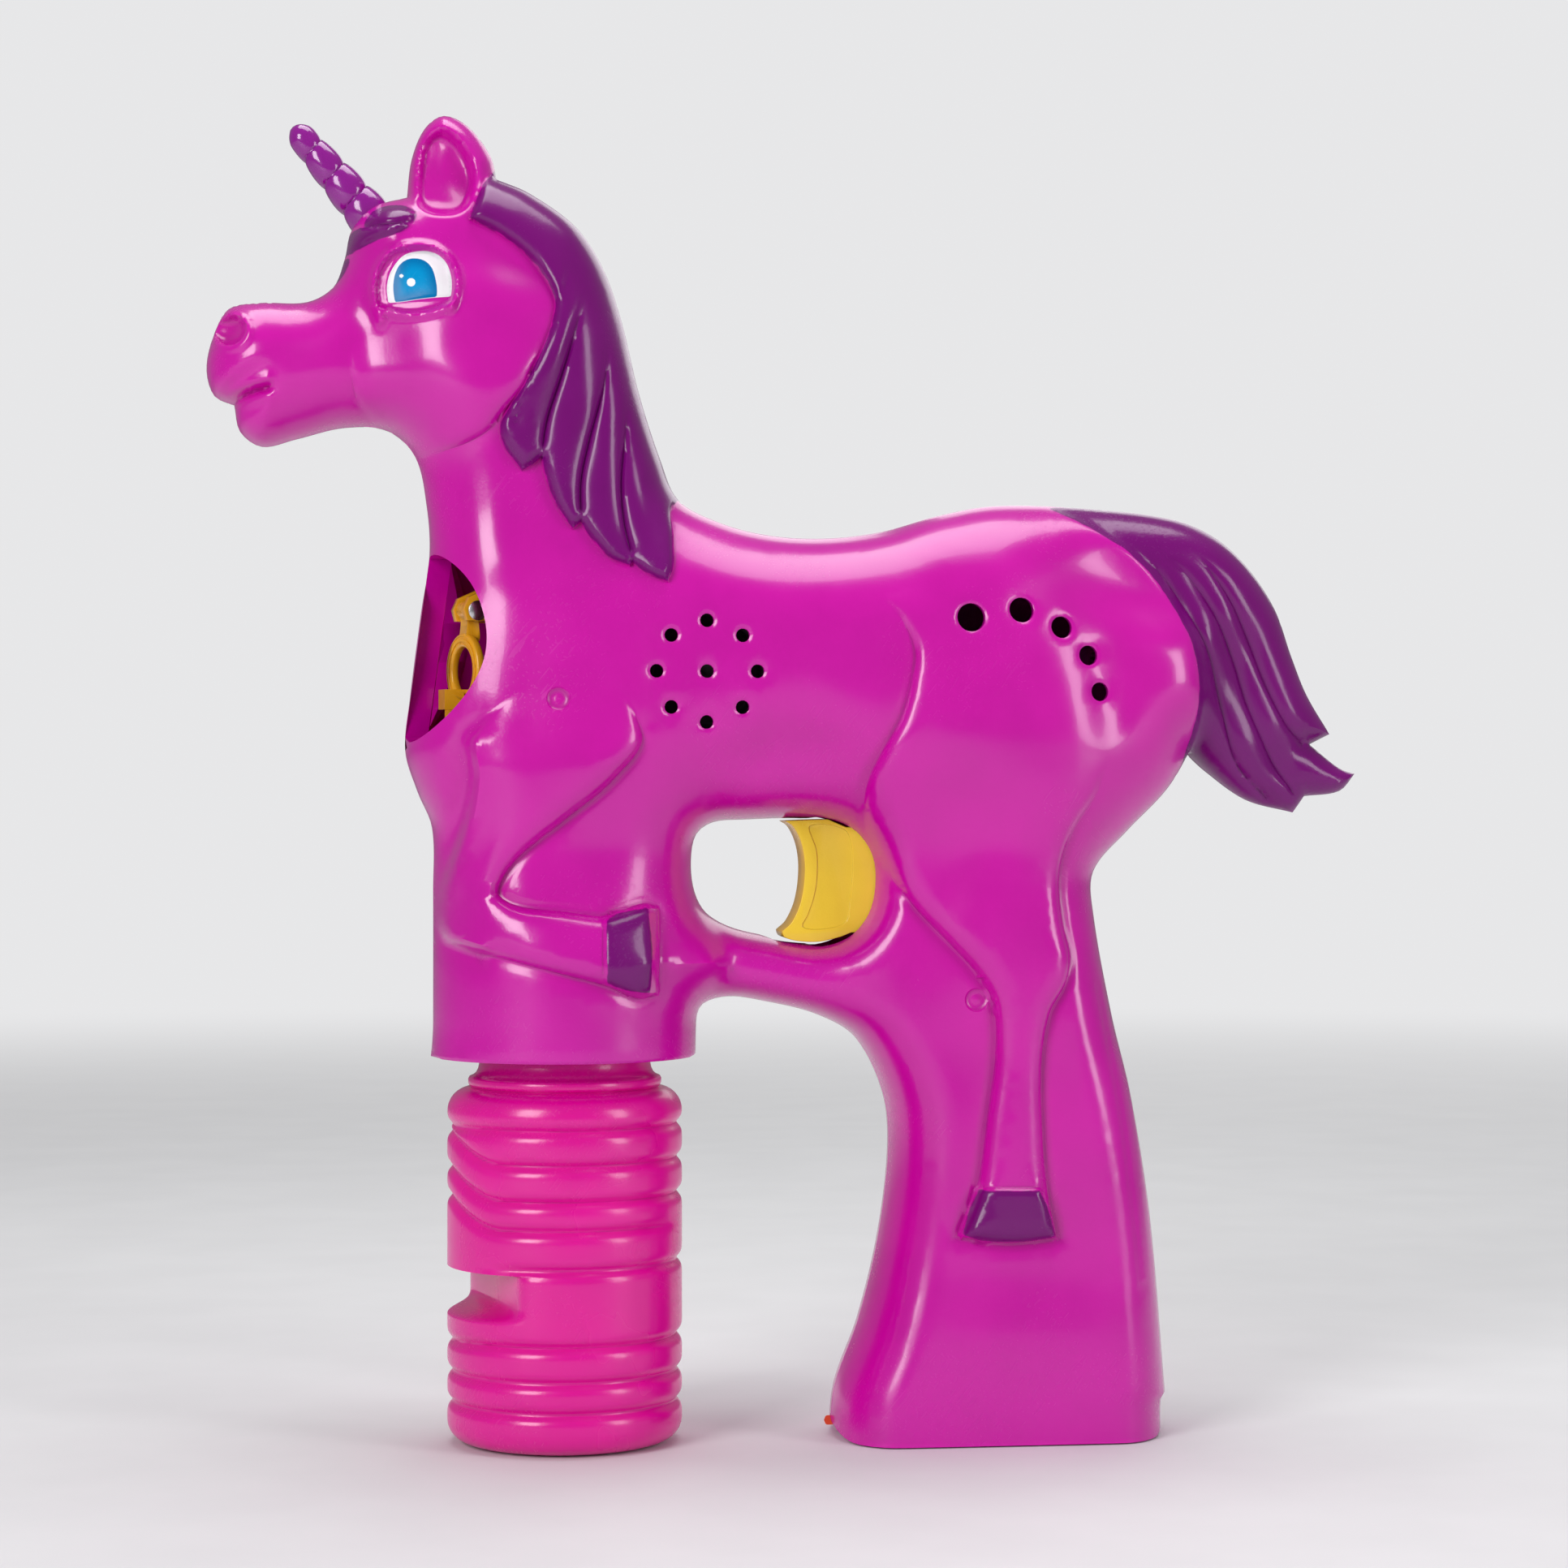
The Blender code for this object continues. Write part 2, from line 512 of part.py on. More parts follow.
def white():
    return finish("plastic_white", (0.80, 0.80, 0.78), 0.40)


def steel():
    return finish("steel", (0.62, 0.62, 0.64), 0.28, 1.0)


def rubber():
    return finish("silicone", (0.75, 0.76, 0.78), 0.45)


# Curves and outlines

def smooth_loop(points, tolerance=OUTLINE_TOLERANCE, longest=OUTLINE_STEP):
    """Closed curve through the points, straight into the points marked as corners."""
    places = np.array([point[:2] for point in points])
    corners = [len(point) > 2 for point in points]
    count = len(places)
    dense = []
    for index in range(count):
        before = index - 1 if not corners[index] else index
        after = (index + 2) % count if not corners[(index + 1) % count] else (index + 1) % count
        dense.append(curve_span(places[before], places[index], places[(index + 1) % count], places[after]))
    dense = np.concatenate(dense)
    return thin_loop(dense, tolerance, longest)


def curve_span(before, start, end, after, steps=16):
    """Points of one span of a centripetal spline, from its start up to just before its end."""
    reach = max(np.linalg.norm(end - start), 1e-6)
    lead = max(np.linalg.norm(start - before), 1e-6)
    tail = max(np.linalg.norm(after - end), 1e-6)
    leave = (end - start) / reach if np.allclose(before, start) else (end - before) / (reach + lead)
    arrive = (end - start) / reach if np.allclose(after, end) else (after - start) / (reach + tail)
    share = np.linspace(0.0, 1.0, steps, endpoint=False)[:, None]
    square = share * share
    cube = square * share
    return ((2 * cube - 3 * square + 1) * start + (cube - 2 * square + share) * leave * reach
            + (3 * square - 2 * cube) * end + (cube - square) * arrive * reach)


def thin_loop(dense, tolerance, longest):
    """Fewest points of a dense loop that stay within the tolerance and the longest step."""
    kept = [0]
    count = len(dense)
    while kept[-1] < count:
        start = kept[-1]
        step = start + 1
        while step < count and within(dense, start, step + 1, tolerance, longest):
            step += 1
        kept.append(step)
    return dense[np.array(kept[:-1])]


def within(dense, start, end, tolerance, longest):
    first = dense[start]
    last = dense[end % len(dense)]
    chord = last - first
    length = np.linalg.norm(chord)
    if length > longest:
        return False
    between = dense[start + 1:end] - first
    if length < 1e-9:
        return False
    offset = np.abs(between[:, 0] * chord[1] - between[:, 1] * chord[0]) / length
    return bool(len(between) == 0 or offset.max() < tolerance)


def edge_distance(points, loop):
    """Distance from each point to a closed loop's nearest edge."""
    start = loop
    chord = np.roll(loop, -1, axis=0) - loop
    length = np.maximum((chord ** 2).sum(axis=1), 1e-18)
    best = np.full(len(points), np.inf)
    for origin, span, size in zip(start, chord, length):
        share = np.clip(((points - origin) @ span) / size, 0.0, 1.0)
        best = np.minimum(best, ((points - origin - share[:, None] * span) ** 2).sum(axis=1))
    return np.sqrt(best)


def inside(points, loop):
    """Whether each point lies within a closed loop."""
    result = np.zeros(len(points), dtype=bool)
    for first, second in zip(loop, np.roll(loop, -1, axis=0)):
        if first[1] == second[1]:
            continue
        crosses = (first[1] > points[:, 1]) != (second[1] > points[:, 1])
        share = (points[:, 1] - first[1]) / (second[1] - first[1])
        result ^= crosses & (points[:, 0] < first[0] + share * (second[0] - first[0]))
    return result


def signed_distance(points, loop):
    distance = edge_distance(points, loop)
    return np.where(inside(points, loop), distance, -distance)


def cut_below(loop, collar_z, grip_z):
    """The loop with its collar and its grip cut off flat at the given heights."""
    limits = [collar_z if point[0] < 0.0 else grip_z for point in loop]
    result = []
    for index, point in enumerate(loop):
        following = loop[(index + 1) % len(loop)]
        limit = limits[index]
        if point[1] >= limit:
            result.append(point)
        if (point[1] >= limit) != (following[1] >= limit):
            share = (limit - point[1]) / (following[1] - point[1])
            result.append(point + share * (following - point))
    return np.array(result)


def round_grip_corners(loop, radius, steps=4):
    """Arcs in place of the two corners at the grip's foot."""
    result = []
    count = len(loop)
    for index, point in enumerate(loop):
        if point[0] < 0.0 or point[1] > 1e-9:
            result.append(point)
            continue
        before = loop[index - 1] - point
        after = loop[(index + 1) % count] - point
        before = before / np.linalg.norm(before)
        after = after / np.linalg.norm(after)
        for share in np.linspace(0.0, 1.0, steps):
            weight = (1 - share) ** 2, share ** 2
            result.append(point + radius * (weight[0] * before + weight[1] * after))
    return np.array(result)


def drop_straight(loop):
    """The loop without the points that lie on the line between their neighbours."""
    kept = list(range(len(loop)))
    index = 0
    while index < len(kept):
        before = loop[kept[index - 1]]
        point = loop[kept[index]]
        after = loop[kept[(index + 1) % len(kept)]]
        chord = (after - before) / max(np.linalg.norm(after - before), SMALLEST)
        offset = abs((point - before)[0] * chord[1] - (point - before)[1] * chord[0])
        if offset < SEAM_TOLERANCE:
            kept.pop(index)
        else:
            index += 1
    return loop[kept]


def shrink_loop(loop, distance, within_loop=True):
    """The loop moved into the casing's material, without the stretches that would cross."""
    dense = []
    for first, second in zip(loop, np.roll(loop, -1, axis=0)):
        steps = max(1, int(np.linalg.norm(second - first) / 0.0050))
        for share in np.linspace(0.0, 1.0, steps, endpoint=False):
            dense.append(first + share * (second - first))
    dense = np.array(dense)
    moved = dense + distance * loop_normals(dense)
    clear = edge_distance(moved, loop) > distance * 0.97
    return thin_loop(moved[clear & (inside(moved, loop) == within_loop)], CAVITY_TOLERANCE, CAVITY_STEP)


def loop_normals(loop):
    """Direction from each point of a clockwise loop to its inside."""
    chord = np.roll(loop, -1, axis=0) - np.roll(loop, 1, axis=0)
    chord = chord / np.maximum(np.linalg.norm(chord, axis=1), 1e-9)[:, None]
    return np.stack([chord[:, 1], -chord[:, 0]], axis=1)


# The sculpted side of the casing

def blend(low, high, value):
    share = np.clip((value - low) / (high - low), 0.0, 1.0)
    return share * share * (3 - 2 * share)


def depth_and_radius(points):
    """Half depth and edge radius, blended between the named places, with the collar a true cylinder."""
    anchors = np.array(DEPTHS)
    gap = ((points[:, None, :] - anchors[None, :, :2]) ** 2).sum(axis=2)
    weight = 1.0 / (gap + DEPTH_REACH ** 2) ** 2
    weight /= weight.sum(axis=1)[:, None]
    depth = weight @ anchors[:, 2]
    radius = weight @ anchors[:, 3]
    edge = BOTTLE_X + COLLAR_RADIUS
    collar = 1.0 - blend(COLLAR_BLEND_LOW_Z, COLLAR_BLEND_HIGH_Z, points[:, 1])
    collar = collar * (1.0 - blend(edge, edge + COLLAR_BLEND_WIDTH, points[:, 0]))
    return depth + collar * (COLLAR_RADIUS - depth), radius + collar * (COLLAR_RADIUS - radius)


def rounded(distance, radius):
    """Quarter round that climbs from 0 at the edge to 1 at the radius."""
    rest = 1.0 - np.clip(distance / radius, 0.0, 1.0)
    return np.sqrt(np.maximum(1.0 - rest * rest, 0.0))


def half_depth(points, loops):
    """Outer half depth of the casing at points of the side view."""
    distance = np.minimum.reduce([edge_distance(points, loop) for loop in loops])
    depth, radius = depth_and_radius(points)
    height = depth * rounded(distance, radius)
    margin = rounded(distance, 0.4 * radius)
    for shape, rise, edge, fade_out, fade_in in RELIEFS:
        fade = blend(fade_out, fade_in, points[:, 1])
        height = height + fade * margin * rise * rounded(signed_distance(points, np.array(shape)), edge)
    cup = np.sqrt((((points - EAR_CUP) / EAR_CUP_SIZE) ** 2).sum(axis=1))
    height = height - EAR_CUP_DEPTH * rounded(1.0 - cup, 0.8)
    return np.where(height < PARTING_Y + SEAM_TOLERANCE, PARTING_Y, height)


def cavity_depth(points, loops):
    """Half depth of the hollow, one wall inside the casing."""
    distance = np.minimum.reduce([edge_distance(points, loop) for loop in loops]) - WALL
    depth, radius = depth_and_radius(points)
    height = (depth - WALL) * rounded(np.maximum(distance, 0.0), np.maximum(radius - WALL / 2, 0.002))
    cup = np.sqrt((((points - EAR_CUP) / EAR_CUP_SIZE) ** 2).sum(axis=1))
    return np.maximum(height - EAR_CUP_DEPTH * rounded(1.3 - cup, 0.8), HOLLOW_EDGE_DEPTH)


def surface_points(domain, loops, rim_steps, step):
    """Points inside the domain: rows that follow the edges, then a staggered grid."""
    rows = []
    for loop in loops:
        for reach in rim_steps:
            rows.append((loop + loop_normals(loop) * reach, reach))
    low = domain.min(axis=0)
    high = domain.max(axis=0)
    lines = np.arange(low[1], high[1], step * 0.87)
    grid = [np.stack([np.arange(low[0] + (row % 2) * step / 2, high[0], step),
                      np.full(len(np.arange(low[0] + (row % 2) * step / 2, high[0], step)), line)], axis=1)
            for row, line in enumerate(lines)]
    rows.append((np.concatenate(grid), rim_steps[-1] + 0.45 * step))
    kept = []
    for row, reach in rows:
        distance = np.minimum.reduce([edge_distance(row, loop) for loop in loops])
        clear = (distance > 0.93 * reach) & inside(row, domain) & (edge_distance(row, domain) > 0.4 * reach)
        for hole in loops[1:]:
            clear &= ~inside(row, hole)
        kept.append(row[clear])
    return np.concatenate(kept)


def relief_points(domain, loops):
    """Points along the foot and the shoulder of each raised shape, so that its edge shows."""
    rows = []
    for shape, rise, edge, fade_out, fade_in in RELIEFS:
        loop = smooth_loop([(*point, 1) for point in shape], RELIEF_TOLERANCE, RELIEF_STEP)
        turn = -np.sign((loop[:, 0] * np.roll(loop[:, 1], -1) - np.roll(loop[:, 0], -1) * loop[:, 1]).sum())
        normal = loop_normals(loop) * turn
        for reach in RELIEF_ROWS:
            row = loop + normal * reach
            own = signed_distance(row, loop)
            rows.append(row[(np.abs(own - reach) < 0.3 * abs(reach)) & (row[:, 1] < fade_out)])
    row = np.concatenate(rows)
    distance = np.minimum.reduce([edge_distance(row, loop) for loop in loops])
    clear = inside(row, domain) & (distance > 0.0025)
    for hole in loops[1:]:
        clear &= ~inside(row, hole)
    return row[clear]


def triangulate(domain, holes, points, split_bridges=True):
    """Triangles that fill the domain less its holes, through the given points."""
    loops = [domain, *holes]
    edges = []
    start = 0
    for loop in loops:
        size = len(loop)
        edges += [(start + index, start + (index + 1) % size) for index in range(size)]
        start += size
    while True:
        every = np.concatenate([*loops, points])
        found = delaunay_2d_cdt([Vector(point) for point in every], edges, [], 0, 1e-7)
        places = np.array([tuple(point) for point in found[0]])
        faces = np.array([face for face in found[2] if len(face) == 3])
        centres = places[faces].mean(axis=1)
        clear = inside(centres, domain)
        for hole in holes:
            clear &= ~inside(centres, hole)
        faces = faces[clear]
        bridges = edge_bridges(faces)
        if not bridges or not split_bridges:
            return places, faces
        points = np.concatenate([points, [(places[first] + places[second]) / 2 for first, second in bridges]])


def edge_bridges(faces):
    """Inner edges that join two points of the border, where the surface would have no thickness."""
    uses = {}
    for face in faces:
        for first, second in zip(face, np.roll(face, -1)):
            pair = (min(first, second), max(first, second))
            uses[pair] = uses.get(pair, 0) + 1
    border = {index for pair, count in uses.items() if count == 1 for index in pair}
    return [pair for pair, count in uses.items() if count == 2 and pair[0] in border and pair[1] in border]


def plate_solid(name, places, faces, heights, side, base):
    """Closed solid between the sculpted surface, at y = side * height, and the flat plane y = base."""
    vertices = [(place[0], side * height, place[1]) for place, height in zip(places, heights)]
    polygons = [list(face) for face in faces]
    border = border_loops(faces)
    bottoms = {}
    for loop in border:
        for index in loop:
            bottoms[index] = index
            if abs(vertices[index][1] - base) > 1e-9:
                bottoms[index] = len(vertices)
                vertices.append((places[index][0], base, places[index][1]))
        for first, second in zip(loop, loop[1:] + loop[:1]):
            wall = list(dict.fromkeys([second, first, bottoms[first], bottoms[second]]))
            if len(wall) > 2:
                polygons.append(wall)
    rims = [places[loop] for loop in border]
    rims.sort(key=lambda rim: -np.ptp(rim[:, 0]))
    flat_places, flat_faces = triangulate(rims[0], rims[1:], np.empty((0, 2)), split_bridges=False)
    nearest = {tuple(np.round(places[index], 9)): bottoms[index] for loop in border for index in loop}
    for face in flat_faces:
        polygons.append([nearest[tuple(np.round(flat_places[index], 9))] for index in face])
    return body(name, vertices, polygons)


def border_loops(faces):
    """Closed runs of border edges, as lists of point numbers."""
    following = {}
    for face in faces:
        for first, second in zip(face, np.roll(face, -1)):
            following[(int(first), int(second))] = True
    step = {first: second for first, second in following if (second, first) not in following}
    loops = []
    while step:
        start = next(iter(step))
        loop = [start]
        while step[loop[-1]] != start:
            loop.append(step.pop(loop[-1]))
        step.pop(loop[-1])
        loops.append(loop)
    return loops


# Simple bodies

def body(name, vertices, polygons, material=None):
    """Object from points and faces, with its faces turned outwards."""
    mesh = bpy.data.meshes.new(name)
    mesh.from_pydata([tuple(vertex) for vertex in vertices], [], polygons)
    shape = bmesh.new()
    shape.from_mesh(mesh)
    bmesh.ops.recalc_face_normals(shape, faces=shape.faces)
    shape.to_mesh(mesh)
    shape.free()
    made = bpy.data.objects.new(name, mesh)
    bpy.context.collection.objects.link(made)
    if material:
        mesh.materials.append(material)
    return made


def along(origin, axis):
    """Placement whose own Z runs along the axis."""
    turn = Vector((0, 0, 1)).rotation_difference(Vector(axis)).to_matrix().to_4x4()
    return Matrix.Translation(Vector(origin)) @ turn


def turned(name, profile, material=None, origin=(0, 0, 0), axis=(0, 0, 1), segments=24, shape=None):
    """Closed profile of (radius, height) points turned round an axis. shape may change a radius."""
    place = along(origin, axis)
    vertices = []
    rings = []
    for radius, height in profile:
        ring = []
        for step in range(1 if radius < 1e-9 else segments):
            angle = 2 * math.pi * (step + 0.5) / segments
            reach = shape(radius, height, angle) if shape else radius
            vertices.append(place @ Vector((reach * math.cos(angle), reach * math.sin(angle), height)))
            ring.append(len(vertices) - 1)
        rings.append(ring)
    polygons = []
    for first, second in zip(rings, rings[1:] + rings[:1]):
        for step in range(segments):
            quad = [first[step % len(first)], first[(step + 1) % len(first)],
                    second[(step + 1) % len(second)], second[step % len(second)]]
            quad = list(dict.fromkeys(quad))
            if len(quad) > 2:
                polygons.append(quad)
    return body(name, vertices, polygons, material)


def rod(name, start, end, radius, material=None, segments=10):
    start = Vector(start)
    length = (Vector(end) - start).length
    profile = [(0, 0), (radius, 0), (radius, length), (0, length)]
    return turned(name, profile, material, start, Vector(end) - start, segments)


def pipe(name, start, end, radius, bore, material=None, segments=12):
    start = Vector(start)
    length = (Vector(end) - start).length
    profile = [(bore, 0), (radius, 0), (radius, length), (bore, length)]
    return turned(name, profile, material, start, Vector(end) - start, segments)


def box(name, low, high, material=None):
    """Block between two corners, with its corners given in either order."""
    low, high = np.minimum(low, high), np.maximum(low, high)
    vertices = [(x, y, z) for x in (low[0], high[0]) for y in (low[1], high[1]) for z in (low[2], high[2])]
    polygons = [(0, 1, 3, 2), (4, 6, 7, 5), (0, 4, 5, 1), (2, 3, 7, 6), (0, 2, 6, 4), (1, 5, 7, 3)]
    return body(name, vertices, polygons, material)


def prism(name, outline, low, high, plane, material=None):
    """Flat outline given a thickness across its plane, xz or yz."""
    layer = {"xz": lambda point, across: (point[0], across, point[1]),
             "yz": lambda point, across: (across, point[0], point[1])}[plane]
    count = len(outline)
    vertices = [layer(point, low) for point in outline] + [layer(point, high) for point in outline]
    polygons = [list(range(count)), list(range(2 * count - 1, count - 1, -1))]
    polygons += [(index, (index + 1) % count, count + (index + 1) % count, count + index)
                 for index in range(count)]
    return body(name, vertices, polygons, material)


def tube_on(name, points, radius, material, resolution=2):
    """Round tube along a polyline, closed at both ends."""
    curve = bpy.data.curves.new(name, "CURVE")
    curve.dimensions = "3D"
    spline = curve.splines.new("POLY")
    spline.points.add(len(points) - 1)
    for target, point in zip(spline.points, points):
        target.co = (*point, 1.0)
    curve.bevel_depth = radius
    curve.bevel_resolution = resolution
    curve.use_fill_caps = True
    curve.materials.append(material)
    made = bpy.data.objects.new(name, curve)
    bpy.context.collection.objects.link(made)
    return made


def combine(target, others, operation):
    """Boolean of the target with all the other bodies at once. The others are used up."""
    group = bpy.data.collections.new("operands")
    for other in others:
        group.objects.link(other)
    change = target.modifiers.new("combine", "BOOLEAN")
    change.operation = operation
    change.solver = "EXACT"
    change.operand_type = "COLLECTION"
    change.collection = group
    scene = bpy.context.evaluated_depsgraph_get()
    mesh = bpy.data.meshes.new_from_object(target.evaluated_get(scene))
    target.modifiers.clear()
    old = target.data
    target.data = mesh
    bpy.data.meshes.remove(old)
    for other in others:
        bpy.data.objects.remove(other, do_unlink=True)
    bpy.data.collections.remove(group)
    return target


def carve(target, cutters):
    return combine(target, cutters, "DIFFERENCE")


def fuse(target, others):
    return combine(target, others, "UNION")


def centre_on(item, point):
    """Moves the object's origin to a point on its joint's axis, with the shape left where it is."""
    point = Vector(point)
    item.data.transform(Matrix.Translation(-point))
    item.location = point
    return item


def wand_frame():
    """Placement of the wand: own X points back along the air path, own Y along the pivot pin."""
    return Matrix.Translation((WAND_X, 0, 0)) @ Matrix.Rotation(MUZZLE_TURN, 4, "Z")


def in_wand_frame(item):
    item.data.transform(wand_frame())
    return item


# Casing

def casing_loops():
    """Full outline, window, and the outline cut off at the collar and the grip's foot."""
    full = smooth_loop(OUTLINE)
    window = smooth_loop(WINDOW)[::-1]
    domain = round_grip_corners(cut_below(full, COLLAR_BOTTOM_Z, 0.0), GRIP_CORNER_RADIUS)
    return full, window, split_feet(drop_straight(domain))


def collar_stations():
    """Places across the collar at even angles round it."""
    angles = np.pi * np.arange(1, COLLAR_STATIONS) / COLLAR_STATIONS
    return BOTTLE_X + COLLAR_RADIUS * np.cos(angles)


def split_feet(loop):
    """The loop with points along the flat ends of the collar and the grip."""
    result = []
    for index, point in enumerate(loop):
        following = loop[(index + 1) % len(loop)]
        result.append(point)
        if abs(point[1] - following[1]) > SEAM_TOLERANCE or abs(point[0] - following[0]) < OUTLINE_STEP:
            continue
        stations = collar_stations() if point[0] < 0.0 else np.linspace(point[0], following[0],
                                                                        FOOT_STATIONS)[1:-1]
        if min(abs(point[1] - COLLAR_BOTTOM_Z), abs(point[1])) < SEAM_TOLERANCE:
            result += [np.array((station, point[1])) for station in stations]
    return np.array(result)


def casing_half(name, side):
    full, window, domain = casing_loops()
    loops = [full, window]
    relief = relief_points(domain, loops)
    collar = np.array([(station, COLLAR_RING_Z) for station in collar_stations()])
    lines = np.concatenate([relief, collar])
    field = surface_points(domain, loops, RIM_STEPS, SURFACE_STEP)
    gap = ((field[:, None, :] - lines[None, :, :]) ** 2).sum(axis=2).min(axis=1)
    places, faces = triangulate(domain, [window], np.concatenate([field[gap > RELIEF_CLEAR ** 2], lines]))
    shell = plate_solid(name, places, faces, half_depth(places, loops), side, side * PARTING_Y)
    shell.data.materials.append(magenta())
    cutters = [casing_hollow(side, full, window), *casing_cuts(side)]
    if side < 0:
        cutters += speaker_holes()
    carve(shell, cutters)
    paint(shell)
    return shell


def casing_hollow(side, full, window):
    """The space inside one half, less its ribs, screw bosses and seats."""
    inner = drop_straight(cut_below(shrink_loop(full, WALL), CHEST_FLOOR_Z, GRIP_FLOOR_Z))
    hole = drop_straight(shrink_loop(window, WALL, within_loop=False))
    loops = [full, window]
    points = surface_points(inner, [inner, hole], CAVITY_RIM_STEPS, CAVITY_STEP)
    places, faces = triangulate(inner, [hole], points)
    hollow = plate_solid("hollow", places, faces, cavity_depth(places, loops), side, -side * OVERCUT / 2)
    return carve(hollow, casing_ribs(side))


def casing_ribs(side):
    """Ribs, bosses and seats that stay inside the hollow."""
    depth = side * FAR_SIDE
    over = -side * OVERCUT
    ribs = []
    fan_x = FAN_TUBE_FRONT_X + FAN_TUBE_LENGTH / 2
    ribs.append(box("rib", (fan_x - WALL / 2, over, AXIS_Z - FAN_RIB_DROP),
                    (fan_x + WALL / 2, depth, AXIS_Z + FAN_RIB_RISE)))
    ribs.append(box("rib", (FRAME_BACK_X, over, AXIS_Z - FAN_RIB_DROP),
                    (FRAME_BACK_X + FRAME_PLATE + FRAME_LIP, depth, AXIS_Z + FRAME_RIB_RISE)))
    post_x = TRIGGER_BACK_X + CLEARANCE + SPRING_LENGTH + CLEARANCE
    ribs.append(box("rib", (post_x, over, SPRING_Z - SPRING_POST_HALF),
                    (post_x + WALL, depth, SPRING_Z + SPRING_POST_HALF)))
    switch_x = switch_back_x() + CLEARANCE
    ribs.append(box("rib", (switch_x, over, SWITCH_LOW_Z - SWITCH_POST_MARGIN),
                    (switch_x + WALL, depth, SWITCH_HIGH_Z + SWITCH_POST_MARGIN)))
    for height in (BATTERY_RIB_Z, CEILING_Z):
        ribs.append(box("rib", (DOOR_FRONT_X - CELL_PITCH, over, height),
                        (DOOR_REAR_X + CELL_PITCH, depth, height + WALL)))
    ribs.append(box("rib", (DOOR_SCREW_X - DOOR_BOSS_HALF, over, 0.0),
                    (DOOR_SCREW_X + DOOR_BOSS_HALF, depth, DOOR_BOSS_TOP_Z)))
    for x, z in SCREW_PLACES:
        ribs.append(rod("boss", (x, over, z), (x, depth, z), BOSS_RADIUS, segments=8))
    if side < 0:
        face = SPEAKER_FACE_Y + SPEAKER_DEPTH
        ribs.append(pipe("seat", (SPEAKER_X, -FAR_SIDE, SPEAKER_Z), (SPEAKER_X, face, SPEAKER_Z),
                         SPEAKER_RADIUS + CLEARANCE + SPEAKER_SEAT_WALL, SPEAKER_RADIUS - SPEAKER_SEAT_LIP,
                         segments=16))
    else:
        for x, z in board_posts():
            ribs.append(rod("post", (x, BOARD_Y + BOARD_THICKNESS + CLEARANCE, z), (x, FAR_SIDE, z),
                            BOARD_POST_RADIUS, segments=8))
    return ribs


def board_posts():
    inset = BOARD_POST_INSET
    return ((BOARD_LOW[0] + inset, BOARD_LOW[1] + inset), (BOARD_HIGH[0] - inset, BOARD_HIGH[1] - inset))


